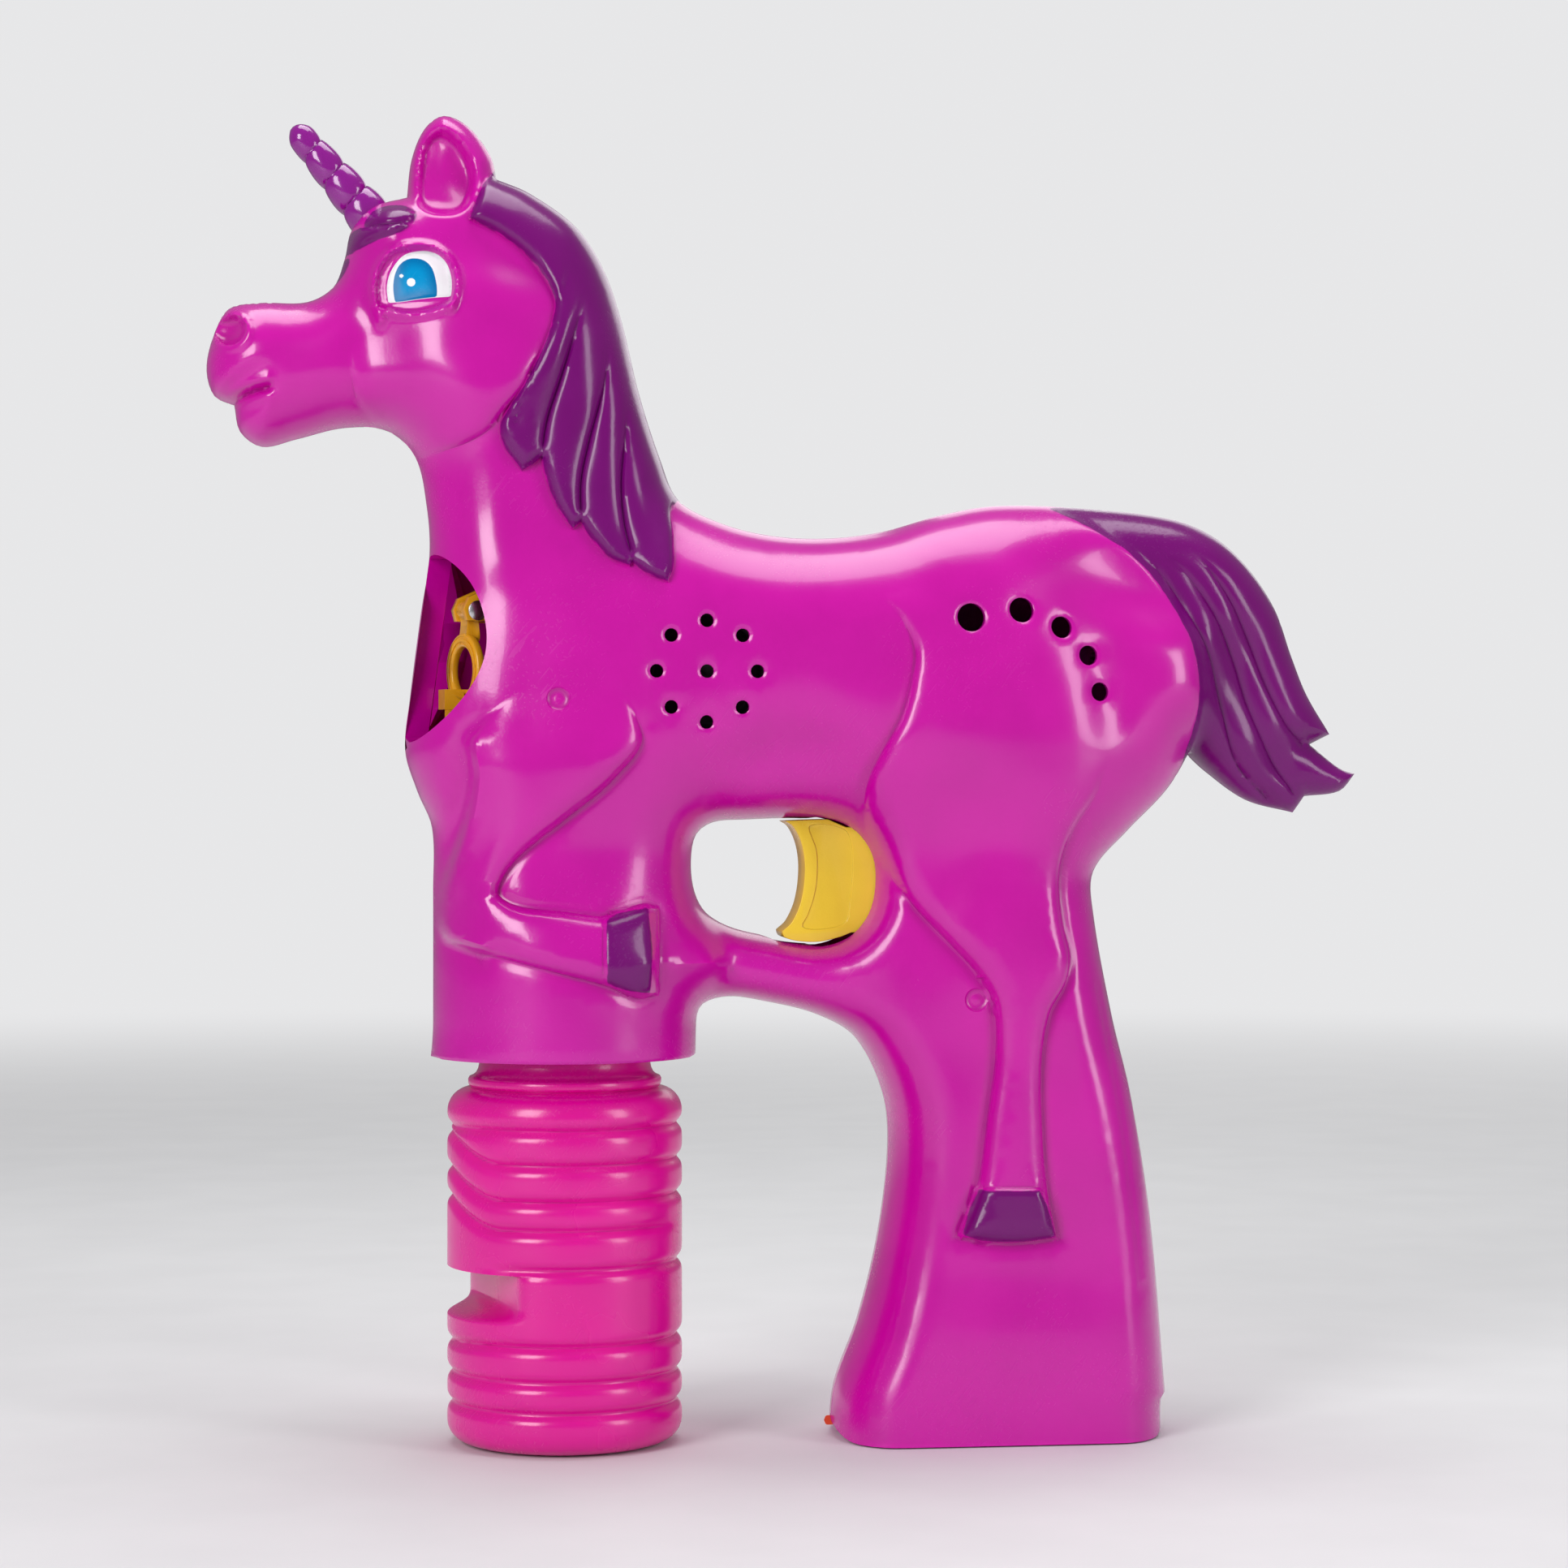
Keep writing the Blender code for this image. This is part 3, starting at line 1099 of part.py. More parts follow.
def casing_cuts(side):
    """Openings, seats and clearances cut into one half."""
    cuts = []
    mouth = turned("mouth", [(0, MOUTH_FRONT), (MUZZLE_RADIUS, MOUTH_FRONT), (MUZZLE_RADIUS, MOUTH_BACK),
                             (0, MOUTH_BACK)], axis=(1, 0, 0), segments=24)
    mouth.data.transform(Matrix.Translation((0, MUZZLE_SIDE_SHIFT, MUZZLE_Z)))
    cuts.append(in_wand_frame(mouth))
    ledge_z = SOCKET_PLATE_Z - CLEARANCE
    bore = SOCKET_RADIUS + CLEARANCE
    cuts.append(turned("collar_bore", [
        (0, COLLAR_BOTTOM_Z - OVERCUT), (COLLAR_BORE, COLLAR_BOTTOM_Z - OVERCUT),
        (COLLAR_BORE, ledge_z - COLLAR_LEDGE),
        (bore, ledge_z - COLLAR_LEDGE), (bore, ledge_z), (COLLAR_BORE, ledge_z),
        (COLLAR_BORE, COLLAR_FLOOR_Z),
        (bore, COLLAR_FLOOR_Z), (bore, CHEST_FLOOR_Z + OVERCUT), (0, CHEST_FLOOR_Z + OVERCUT)],
        origin=(BOTTLE_X, 0, 0), segments=20))
    half = TRIGGER_WIDTH / 2 + CLEARANCE
    cuts.append(box("slot", (SLOT_FRONT_X, -half, TRIGGER_LOW_Z - SLOT_BELOW),
                    (TRIGGER_BACK_X + TRIGGER_TRAVEL + SLOT_BEHIND, half, TRIGGER_HIGH_Z + SLOT_ABOVE)))
    cuts.append(box("door_way", (DOOR_FRONT_X - CLEARANCE, -DOOR_HALF_WIDTH - CLEARANCE, -OVERCUT),
                    (DOOR_REAR_X + CLEARANCE, DOOR_HALF_WIDTH + CLEARANCE, GRIP_FLOOR_Z + CLEARANCE)))
    cuts.append(rod("door_screw_way", (DOOR_SCREW_X, 0, OVERCUT / 2),
                    (DOOR_SCREW_X, 0, DOOR_SCREW_TOP_Z + SCREW_POINT - CLEARANCE),
                    SCREW_RADIUS + CLEARANCE, segments=12))
    reach = CELL_PITCH + CELL_RADIUS + CLEARANCE
    cell_half = CELL_RADIUS + CLEARANCE
    cuts.append(box("cell_way", (CELL_MIDDLE_X - reach, -cell_half, GRIP_FLOOR_Z - OVERCUT / 2),
                    (CELL_MIDDLE_X + reach, cell_half, CEILING_Z - CLEARANCE - CONTACT_THICKNESS)))
    contact_half = CONTACT_HALF_WIDTH + CONTACT_MARGIN
    cuts.append(box("contact_way", (CELL_MIDDLE_X - reach, -contact_half, CELL_TOP_Z - CONTACT_MARGIN),
                    (CELL_MIDDLE_X + reach, contact_half, CEILING_Z)))
    tab_half = TAB_HALF_THICKNESS + CLEARANCE
    cuts.append(box("tab_way", (TAB_FRONT_X - OVERCUT, -tab_half, TAB_LOW_Z - CLEARANCE),
                    (DOOR_FRONT_X, tab_half, TAB_HIGH_Z + CLEARANCE)))
    cuts.append(rod("fan_way", (FAN_TUBE_FRONT_X - OVERCUT, AXIS_Y, AXIS_Z),
                    (FAN_TUBE_BACK_X, AXIS_Y, AXIS_Z),
                    FAN_TUBE_RADIUS + CLEARANCE, segments=20))
    low, high = frame_corners()
    cuts.append(box("frame_way", (FRAME_BACK_X - CLEARANCE, low[0] - CLEARANCE, low[1] - CLEARANCE),
                    (FRAME_BACK_X + FRAME_PLATE + CLEARANCE, high[0] + CLEARANCE, high[1] + CLEARANCE)))
    cuts.append(box("gear_way", (FRAME_BACK_X - OVERCUT, low[0] + FRAME_PLATE, low[1] + FRAME_PLATE),
                    (PUMP_FRONT_X + OVERCUT, high[0] - FRAME_PLATE, high[1] - FRAME_PLATE)))
    cuts.append(rod("pump_way", (FRAME_BACK_X - OVERCUT, AXIS_Y, AXIS_Z),
                    (PUMP_FRONT_X + OVERCUT, AXIS_Y, AXIS_Z),
                    PUMP_RADIUS + CLEARANCE, segments=16))
    cuts.append(horn_seat())
    for x, z in SCREW_PLACES:
        cuts.append(rod("screw_way", (x, SCREW_TIP_Y - SCREW_POINT, z), (x, SCREW_HEAD_Y + SCREW_POINT, z),
                        SCREW_RADIUS + CLEARANCE, segments=6))
        if side > 0:
            cuts.append(rod("head_way", (x, SCREW_HEAD_Y, z), (x, FAR_SIDE, z),
                            SCREW_HEAD_RADIUS + CLEARANCE, segments=8))
    if side < 0:
        for x, z, radius in AIR_HOLES:
            cuts.append(rod("air_hole", (x, -BOARD_Y, z), (x, -FAR_SIDE, z), radius, segments=8))
        cuts.append(rod("speaker_way", (SPEAKER_X, SPEAKER_FACE_Y - CLEARANCE, SPEAKER_Z),
                        (SPEAKER_X, SPEAKER_FACE_Y + SPEAKER_DEPTH + OVERCUT, SPEAKER_Z),
                        SPEAKER_RADIUS + CLEARANCE, segments=16))
    return cuts


def speaker_holes():
    places = [(0.0, 0.0)]
    for step in range(SPEAKER_HOLES):
        angle = 2 * math.pi * step / SPEAKER_HOLES
        places.append((SPEAKER_HOLE_CIRCLE * math.cos(angle), SPEAKER_HOLE_CIRCLE * math.sin(angle)))
    return [rod("sound_hole", (SPEAKER_X + x, -FAR_SIDE, SPEAKER_Z + z),
                (SPEAKER_X + x, SPEAKER_FACE_Y - CLEARANCE, SPEAKER_Z + z),
                SPEAKER_HOLE_RADIUS, segments=6) for x, z in places]


def paint(shell):
    """Purple on the outer faces of the mane, the tail and the hooves."""
    mesh = shell.data
    mesh.materials.clear()
    mesh.materials.append(magenta())
    mesh.materials.append(purple())
    centres = np.array([face.center for face in mesh.polygons])
    outward = np.array([face.normal[1] * face.center[1] > 0 for face in mesh.polygons])
    places = centres[:, (0, 2)]
    painted = np.zeros(len(places), dtype=bool)
    for shape in (MANE, TAIL, *HOOVES):
        painted |= inside(places, np.array(shape))
    for face, colour in zip(mesh.polygons, painted & outward):
        face.material_index = int(colour)


# Horn

def horn_line():
    foot = Vector((HORN_FOOT[0], 0, HORN_FOOT[1]))
    tip = Vector((HORN_TIP[0], 0, HORN_TIP[1]))
    return foot, tip, (tip - foot).normalized()


def horn_seat():
    """Round recess in the brow that takes the horn's foot."""
    foot, tip, way = horn_line()
    return rod("horn_way", foot - way * (HORN_SEAT + CLEARANCE), foot + way * HORN_WAY,
               HORN_FOOT_RADIUS + CLEARANCE, segments=12)


def horn():
    foot, tip, way = horn_line()
    length = (tip - foot).length

    def ridge(radius, height, angle):
        rise = blend(0.0, HORN_EASE, np.array([height]))[0]
        return radius + rise * HORN_RIDGE * math.cos(angle - 2 * math.pi * HORN_TURNS * height / length)

    profile = [(0, -HORN_SEAT), (HORN_FOOT_RADIUS, -HORN_SEAT)]
    for row in range(HORN_ROWS):
        share = row / (HORN_ROWS - 1)
        radius = HORN_FOOT_RADIUS + share * (HORN_TIP_RADIUS - HORN_FOOT_RADIUS)
        profile.append((radius - HORN_RIDGE * (share > 0), share * length))
    profile.append((0, length + HORN_END))
    return turned("horn", profile, finish("horn_purple", (0.27, 0.0, 0.27), 0.2), foot, way, 12, ridge)


# Bottle and socket

def bottle():
    def notch(radius, height, angle):
        """Finger notch in the front of the bottle."""
        level = blend(NOTCH_LOW_Z, NOTCH_LOW_Z + NOTCH_LOW_EASE, np.array([height]))[0]
        level *= 1 - blend(NOTCH_HIGH_Z - NOTCH_HIGH_EASE, NOTCH_HIGH_Z, np.array([height]))[0]
        across = radius * math.cos(angle)
        limit = -(BOTTLE_RADIUS - NOTCH_DEPTH)
        if across > limit or radius < SEAL_INNER_RADIUS:
            return radius
        flat = limit / math.cos(angle)
        return radius + level * (flat - radius)

    ring, edge, bend = BASE_RING_INSET
    outer = [(0, BASE_RECESS), (BOTTLE_RADIUS - ring, BASE_RECESS), (BOTTLE_RADIUS - edge, 0.0),
             (BOTTLE_RADIUS - bend, 0.0), (BOTTLE_RADIUS - BASE_BEND[0], BASE_BEND[1])]
    levels = {NOTCH_LOW_Z, NOTCH_LOW_Z + NOTCH_LOW_EASE, NOTCH_HIGH_Z - NOTCH_HIGH_EASE, NOTCH_HIGH_Z}
    for groove in RIB_GROOVES_Z:
        levels |= {groove - RIB_GROOVE_HALF_WIDTH, groove, groove + RIB_GROOVE_HALF_WIDTH}
    for level in sorted(levels):
        dip = RIB_GROOVE_DEPTH if level in RIB_GROOVES_Z else 0.0
        outer.append((BOTTLE_RADIUS - dip, level))
    shoulder = BOTTLE_SHOULDER_Z
    outer += [(BOTTLE_RADIUS - inset, shoulder + rise) for inset, rise in SHOULDER_BEND]
    outer += [(NECK_RADIUS + NECK_FLANGE, shoulder + NECK_FLANGE_LOW),
              (NECK_RADIUS + NECK_FLANGE, shoulder + NECK_FLANGE_HIGH),
              (NECK_RADIUS, shoulder + NECK_FLANGE_HIGH), (NECK_RADIUS, NECK_TOP_Z)]
    hollow = BOTTLE_RADIUS - RIB_GROOVE_DEPTH - BOTTLE_WALL
    notched = BOTTLE_RADIUS - NOTCH_DEPTH - BOTTLE_WALL
    inner = [(NECK_RADIUS - BOTTLE_WALL, NECK_TOP_Z), (NECK_RADIUS - BOTTLE_WALL, shoulder + INNER_NECK_RISE),
             (hollow - INNER_SHOULDER[0], shoulder - INNER_SHOULDER[1]), (hollow, shoulder - INNER_WALL_DROP),
             (hollow, NOTCH_HIGH_Z + NOTCH_WALL_RISE), (notched, NOTCH_HIGH_Z), (notched, NOTCH_LOW_Z),
             (hollow, NOTCH_LOW_Z - NOTCH_WALL_DROP), (hollow, INNER_FLOOR[1]),
             (hollow - INNER_FLOOR[0], BASE_RECESS + BOTTLE_WALL), (0, BASE_RECESS + BOTTLE_WALL)]
    made = turned("bottle", outer + inner, finish("bottle_pink", (0.72, 0.0, 0.26), 0.25),
                  (BOTTLE_X, 0, 0), segments=18, shape=notch)
    fuse(made, [thread("neck_thread", NECK_RADIUS, THREAD_HEIGHT, THREAD_START_Z)])
    return centre_on(made, (BOTTLE_X, 0, NECK_TOP_Z))


def thread(name, radius, height, start_z):
    """Helical ridge on a wall of the given radius. A negative height points inwards."""
    steps = int(THREAD_STEPS * THREAD_TURNS)
    foot = -THREAD_FOOT if height > 0 else THREAD_FOOT
    half = THREAD_HALF
    crest = half * THREAD_CREST
    section = ((foot, -half), (height, -crest), (height, crest), (foot, half))
    vertices = []
    for step in range(steps + 1):
        angle = 2 * math.pi * THREAD_TURNS * step / steps
        rise = start_z + THREAD_PITCH * THREAD_TURNS * step / steps
        taper = min(1.0, step / THREAD_TAPER_STEPS, (steps - step) / THREAD_TAPER_STEPS)
        for out, up in section:
            reach = radius + (out if out == foot else foot + (out - foot) * max(taper, THREAD_LEAST))
            vertices.append((BOTTLE_X + reach * math.cos(angle), reach * math.sin(angle), rise + up))
    polygons = [(0, 1, 2, 3), tuple(steps * 4 + corner for corner in (3, 2, 1, 0))]
    for step in range(steps):
        for corner in range(4):
            first = step * 4 + corner
            second = step * 4 + (corner + 1) % 4
            polygons.append((first, second, second + 4, first + 4))
    return body(name, vertices, polygons)


def bottle_socket():
    flange = COLLAR_BORE - CLEARANCE
    profile = [(SOCKET_RADIUS, SOCKET_SKIRT_Z), (SOCKET_RADIUS, SOCKET_PLATE_Z), (flange, SOCKET_PLATE_Z),
               (flange, SOCKET_TOP_Z), (0, SOCKET_TOP_Z), (0, SOCKET_PLATE_Z), (SOCKET_BORE, SOCKET_PLATE_Z),
               (SOCKET_BORE, SOCKET_SKIRT_Z)]
    made = turned("bottle_socket", profile, white(), (BOTTLE_X, 0, 0), segments=20)
    inward = NECK_RADIUS + THREAD_CLEARANCE - SOCKET_BORE
    fuse(made, [thread("socket_thread", SOCKET_BORE, inward, THREAD_START_Z - THREAD_PITCH / 2)])
    nipple = rod("nipple", (DIP_TUBE_X, DIP_TUBE_Y, SOCKET_TOP_Z - SOCKET_PLATE / 2),
                 (DIP_TUBE_X, DIP_TUBE_Y, SOCKET_TOP_Z + NIPPLE_HEIGHT), DIP_TUBE_RADIUS + NIPPLE_WALL)
    fuse(made, [nipple])
    return carve(made, [
        rod("dip_way", (DIP_TUBE_X, DIP_TUBE_Y, SOCKET_PLATE_Z - OVERCUT),
            (DIP_TUBE_X, DIP_TUBE_Y, SOCKET_TOP_Z + NIPPLE_HEIGHT + OVERCUT),
            DIP_TUBE_RADIUS + CLEARANCE),
        rod("return_way", (SPOUT_X, 0, SOCKET_PLATE_Z - OVERCUT), (SPOUT_X, 0, SOCKET_TOP_Z + OVERCUT),
            SPOUT_RADIUS + CLEARANCE)])


def bottle_seal():
    made = pipe("bottle_seal", (BOTTLE_X, 0, SEAL_LOW_Z), (BOTTLE_X, 0, SEAL_LOW_Z + SEAL_THICKNESS),
                NECK_RADIUS, SEAL_INNER_RADIUS, rubber(), 20)
    return centre_on(made, (BOTTLE_X, 0, SEAL_LOW_Z))


def dip_tube():
    return pipe("dip_tube", (DIP_TUBE_X, DIP_TUBE_Y, DIP_TUBE_END_Z),
                (DIP_TUBE_X, DIP_TUBE_Y, SOCKET_TOP_Z + NIPPLE_HEIGHT),
                DIP_TUBE_RADIUS, DIP_TUBE_BORE, rubber(), 10)


def drip_funnel():
    """Tray under the wand that lets the drips run back into the bottle."""
    bore = SPOUT_RADIUS - SPOUT_WALL
    low = SOCKET_PLATE_Z - SOCKET_PLATE
    throat = SOCKET_TOP_Z + 2 * SOCKET_PLATE
    inner = FUNNEL_RADIUS - FUNNEL_WALL
    profile = [(bore, low), (SPOUT_RADIUS, low), (SPOUT_RADIUS, throat), (FUNNEL_RADIUS, FUNNEL_CONE_Z),
               (FUNNEL_RADIUS, FUNNEL_RIM_Z), (inner, FUNNEL_RIM_Z), (inner, FUNNEL_CONE_Z + SPOUT_WALL),
               (bore, throat + SPOUT_WALL)]
    return turned("drip_funnel", profile, yellow(), (SPOUT_X, 0, 0), segments=16)


# Wand, nozzle and blower

def bubble_wand():
    half = WAND_THICKNESS / 2
    middle = (WAND_RING_RADIUS + WAND_HOLE_RADIUS) / 2
    ring = [(WAND_HOLE_RADIUS, -half * 0.5), (middle, -half), (WAND_RING_RADIUS, -half * 0.5),
            (WAND_RING_RADIUS, half * 0.5), (middle, half), (WAND_HOLE_RADIUS, half * 0.5)]
    made = turned("bubble_wand", ring, yellow(), (0, 0, WAND_RING_Z), (1, 0, 0), 16)
    arm_half = WAND_BOSS_WIDTH / 2
    top = WAND_RING_Z + middle
    low = WAND_RING_Z - middle
    fuse(made, [
        box("arm", (-half * 0.8, -arm_half * 0.9, top), (half * 0.8, arm_half * 0.9, WAND_PIVOT_Z)),
        rod("eye", (0, -arm_half, WAND_PIVOT_Z), (0, arm_half, WAND_PIVOT_Z), WAND_BOSS_RADIUS),
        box("lug", (-half * 0.8, -LUG_HALF_WIDTH, CRANK_PIN_Z - LUG_DROP), (half * 0.8, LUG_HALF_WIDTH, low)),
        rod("crank", (0, -CRANK_BACK, CRANK_PIN_Z), (0, CRANK_PIN_LENGTH, CRANK_PIN_Z), CRANK_PIN_RADIUS,
            segments=8),
        box("lip", (-LIP_REACH, -LIP_HALF_WIDTH, WAND_RING_Z - WAND_RING_RADIUS),
            (-half * 0.4, LIP_HALF_WIDTH, low + LIP_HEIGHT))])
    carve(made, [rod("pin_way", (0, -WAND_BOSS_WIDTH, WAND_PIVOT_Z), (0, WAND_BOSS_WIDTH, WAND_PIVOT_Z),
                     WAND_PIN_RADIUS + CLEARANCE)])
    return centre_on(in_wand_frame(made), (WAND_X, 0, WAND_PIVOT_Z))


def pivot_pin():
    reach = WAND_BOSS_WIDTH / 2 + EAR_THICKNESS + WAND_PIN_HEAD + 3 * CLEARANCE
    head = reach - WAND_PIN_HEAD
    profile = [(0, -reach), (WAND_PIN_HEAD_RADIUS, -reach), (WAND_PIN_HEAD_RADIUS, -head),
               (WAND_PIN_RADIUS, -head),
               (WAND_PIN_RADIUS, head), (WAND_PIN_HEAD_RADIUS, head), (WAND_PIN_HEAD_RADIUS, reach),
               (0, reach)]
    return in_wand_frame(turned("wand_pin", profile, steel(), (0, 0, WAND_PIVOT_Z), (0, 1, 0), 10))


def air_nozzle():
    """Duct from the fan tube to the wand, with two ears that hold the wand's pin."""
    steps = 18
    back = (FAN_TUBE_FRONT_X - CLEARANCE, AXIS_Y, AXIS_Z)
    frame = wand_frame()
    rows = []
    for front_radius, back_radius in ((NOZZLE_RADIUS + NOZZLE_WALL, FAN_TUBE_RADIUS),
                                      (NOZZLE_RADIUS, FAN_TUBE_BORE)):
        front_row = []
        back_row = []
        for step in range(steps):
            angle = 2 * math.pi * step / steps
            across, up = math.cos(angle), math.sin(angle)
            front_row.append(frame @ Vector((NOZZLE_SETBACK, front_radius * across,
                                             WAND_RING_Z + front_radius * up)))
            back_row.append(Vector(back) + Vector((0, back_radius * across, back_radius * up)))
        rows += [front_row, back_row]
    order = [rows[0], rows[1], rows[3], rows[2]]
    vertices = [point for row in order for point in row]
    polygons = []
    for row in range(4):
        for step in range(steps):
            following = (step + 1) % steps
            first, second = row * steps, ((row + 1) % 4) * steps
            polygons.append((first + step, first + following, second + following, second + step))
    made = body("air_nozzle", vertices, polygons, yellow())
    inner = WAND_BOSS_WIDTH / 2 + CLEARANCE
    outer = inner + EAR_THICKNESS
    foot_z = WAND_RING_Z + NOZZLE_RADIUS + NOZZLE_WALL * 0.5
    root = NOZZLE_SETBACK + EAR_ROOT
    side_view = ((root, foot_z), (NOZZLE_SETBACK + CLEARANCE, foot_z),
                 (EAR_HALF_LENGTH, WAND_PIVOT_Z - EAR_DROP), (-EAR_HALF_LENGTH, WAND_PIVOT_Z - EAR_DROP),
                 (-EAR_HALF_LENGTH, WAND_PIVOT_Z + EAR_HALF_LENGTH), (EAR_BRIDGE, WAND_PIVOT_Z + EAR_RISE),
                 (root, WAND_PIVOT_Z + EAR_RISE))
    for low, high in ((-outer, -inner), (inner, outer)):
        fuse(made, [in_wand_frame(prism("ear", side_view, low, high, "xz"))])
    hole = rod("pin_way", (0, -2 * outer, WAND_PIVOT_Z), (0, 2 * outer, WAND_PIVOT_Z),
               WAND_PIN_RADIUS + CLEARANCE, segments=12)
    return carve(made, [in_wand_frame(hole)])


def fan_housing():
    """Tube round the fan with three spokes that carry the motor's sleeve."""
    made = pipe("fan_housing", (FAN_TUBE_FRONT_X, AXIS_Y, AXIS_Z), (FAN_TUBE_BACK_X, AXIS_Y, AXIS_Z),
                FAN_TUBE_RADIUS, FAN_TUBE_BORE, white(), 20)
    sleeve_x = FAN_TUBE_BACK_X - SPOKE_DEPTH
    parts = []
    for step in range(3):
        angle = math.radians(90 + 120 * step)
        spoke = box("spoke", (sleeve_x, SLEEVE_BORE + SLEEVE_WALL / 3, -SPOKE_HALF_WIDTH),
                    (FAN_TUBE_BACK_X - CLEARANCE / 3, FAN_TUBE_BORE + FAN_TUBE_WALL / 2, SPOKE_HALF_WIDTH))
        spoke.data.transform(Matrix.Translation((0, AXIS_Y, AXIS_Z)) @ Matrix.Rotation(angle, 4, "X"))
        parts.append(spoke)
    sleeve = pipe("sleeve", (sleeve_x, AXIS_Y, AXIS_Z), (sleeve_x + SLEEVE_LENGTH, AXIS_Y, AXIS_Z),
                  SLEEVE_RADIUS, SLEEVE_BORE, segments=16)
    fuse(sleeve, parts)
    return fuse(made, [sleeve])


def fan():
    """Axial fan on the motor's front shaft."""
    back = MOTOR_FRONT_X - FAN_GAP
    front = back - FAN_WIDTH
    made = rod("fan", (front, 0, 0), (back, 0, 0), FAN_HUB_RADIUS,
               finish("fan_grey", (0.25, 0.26, 0.28), 0.4), 12)
    blades = []
    for step in range(FAN_BLADES):
        blade = box("blade", (-FAN_WIDTH * 0.62, -BLADE_HALF, FAN_HUB_RADIUS - FAN_TIP_GAP),
                    (FAN_WIDTH * 0.62, BLADE_HALF, FAN_RADIUS))
        pitch = Matrix.Rotation(FAN_PITCH, 4, "Z")
        spin = Matrix.Rotation(2 * math.pi * step / FAN_BLADES, 4, "X")
        blade.data.transform(Matrix.Translation(((front + back) / 2, 0, 0)) @ spin @ pitch)
        blades.append(blade)
    fuse(made, blades)
    carve(made, [rod("shaft_way", (front - FAN_WIDTH, 0, 0), (back + FAN_WIDTH, 0, 0),
                     SHAFT_RADIUS + CLEARANCE)])
    made.data.transform(Matrix.Translation((0, AXIS_Y, AXIS_Z)))
    return centre_on(made, (front, AXIS_Y, AXIS_Z))


def motor():
    nose = MOTOR_FRONT_X - MOTOR_NOSE
    profile = [(SHAFT_RADIUS + CLEARANCE, nose), (MOTOR_NOSE_RADIUS, nose),
               (MOTOR_NOSE_RADIUS, MOTOR_FRONT_X), (MOTOR_RADIUS, MOTOR_FRONT_X), (MOTOR_RADIUS, MOTOR_BACK_X),
               (SHAFT_RADIUS + CLEARANCE, MOTOR_BACK_X)]
    return turned("motor", profile, steel(), (0, AXIS_Y, AXIS_Z), (1, 0, 0), 18)


def motor_shaft():
    front = MOTOR_FRONT_X - FAN_GAP - FAN_WIDTH
    made = rod("motor_shaft", (front, AXIS_Y, AXIS_Z), (PINION_BACK_X, AXIS_Y, AXIS_Z), SHAFT_RADIUS,
               steel(), 12)
    return centre_on(made, (front, AXIS_Y, AXIS_Z))


# Gears and pump

def gear_outline(teeth, phase):
    """Involute gear in the plane across X, with a tooth at the phase angle."""
    pressure = math.radians(20)
    pitch_radius = GEAR_MODULE * teeth / 2
    base = pitch_radius * math.cos(pressure)

    def half_tooth(radius):
        lean = math.acos(min(1.0, base / max(radius, base)))
        spread = math.tan(pressure) - pressure - math.tan(lean) + lean
        return math.pi / (2 * teeth) + spread - GEAR_BACKLASH / (2 * pitch_radius)

    radii = (pitch_radius - 1.1 * GEAR_MODULE, pitch_radius + 0.8 * GEAR_MODULE)
    points = []
    for tooth in range(teeth):
        centre = phase + 2 * math.pi * tooth / teeth
        for radius in radii:
            angle = centre - half_tooth(radius)
            points.append((radius * math.cos(angle), radius * math.sin(angle)))
        for radius in radii[::-1]:
            angle = centre + half_tooth(radius)
            points.append((radius * math.cos(angle), radius * math.sin(angle)))
    return points


def gear(name, teeth, phase, front, back, y, z, material=None):
    outline = [(y + across, z + up) for across, up in gear_outline(teeth, phase)]
    return prism(name, outline, front, back, "yz", material)


def motor_pinion():
    made = gear("motor_pinion", PINION_TEETH, IDLER_ANGLE, PINION_FRONT_X, PINION_BACK_X, AXIS_Y, AXIS_Z,
                finish("brass", (0.72, 0.52, 0.20), 0.3, 1.0))
    carve(made, [rod("shaft_way", (PINION_FRONT_X - OVERCUT, AXIS_Y, AXIS_Z),
                     (PINION_BACK_X + OVERCUT, AXIS_Y, AXIS_Z), SHAFT_RADIUS + CLEARANCE, segments=12)])
    return centre_on(made, (PINION_FRONT_X, AXIS_Y, AXIS_Z))


def idler_gear():
    """Large wheel driven by the pinion, in one piece with a small one that drives the pump."""
    wheel_phase = IDLER_ANGLE + math.pi - math.pi / WHEEL_TEETH
    step_x = PUMP_GEAR_X - CLEARANCE
    made = gear("idler_gear", WHEEL_TEETH, wheel_phase, PINION_FRONT_X, PINION_FRONT_X + GEAR_WIDTH,
                IDLER_Y, IDLER_Z, white())
    small = gear("small", PINION_TEETH, IDLER_ANGLE + math.pi, step_x - FRAME_PLATE, PUMP_GEAR_BACK_X, IDLER_Y,
                 IDLER_Z)
    fuse(made, [small])
    carve(made, [rod("pin_way", (PINION_FRONT_X - OVERCUT, IDLER_Y, IDLER_Z),
                     (PUMP_GEAR_BACK_X + OVERCUT, IDLER_Y, IDLER_Z), SHAFT_RADIUS + CLEARANCE, segments=12)])
    return centre_on(made, (PINION_FRONT_X, IDLER_Y, IDLER_Z))


def idler_pin():
    return rod("idler_pin", (FRAME_FRONT_X + CLEARANCE, IDLER_Y, IDLER_Z),
               (FRAME_BACK_X + FRAME_PLATE - CLEARANCE, IDLER_Y, IDLER_Z), SHAFT_RADIUS, steel(), 12)


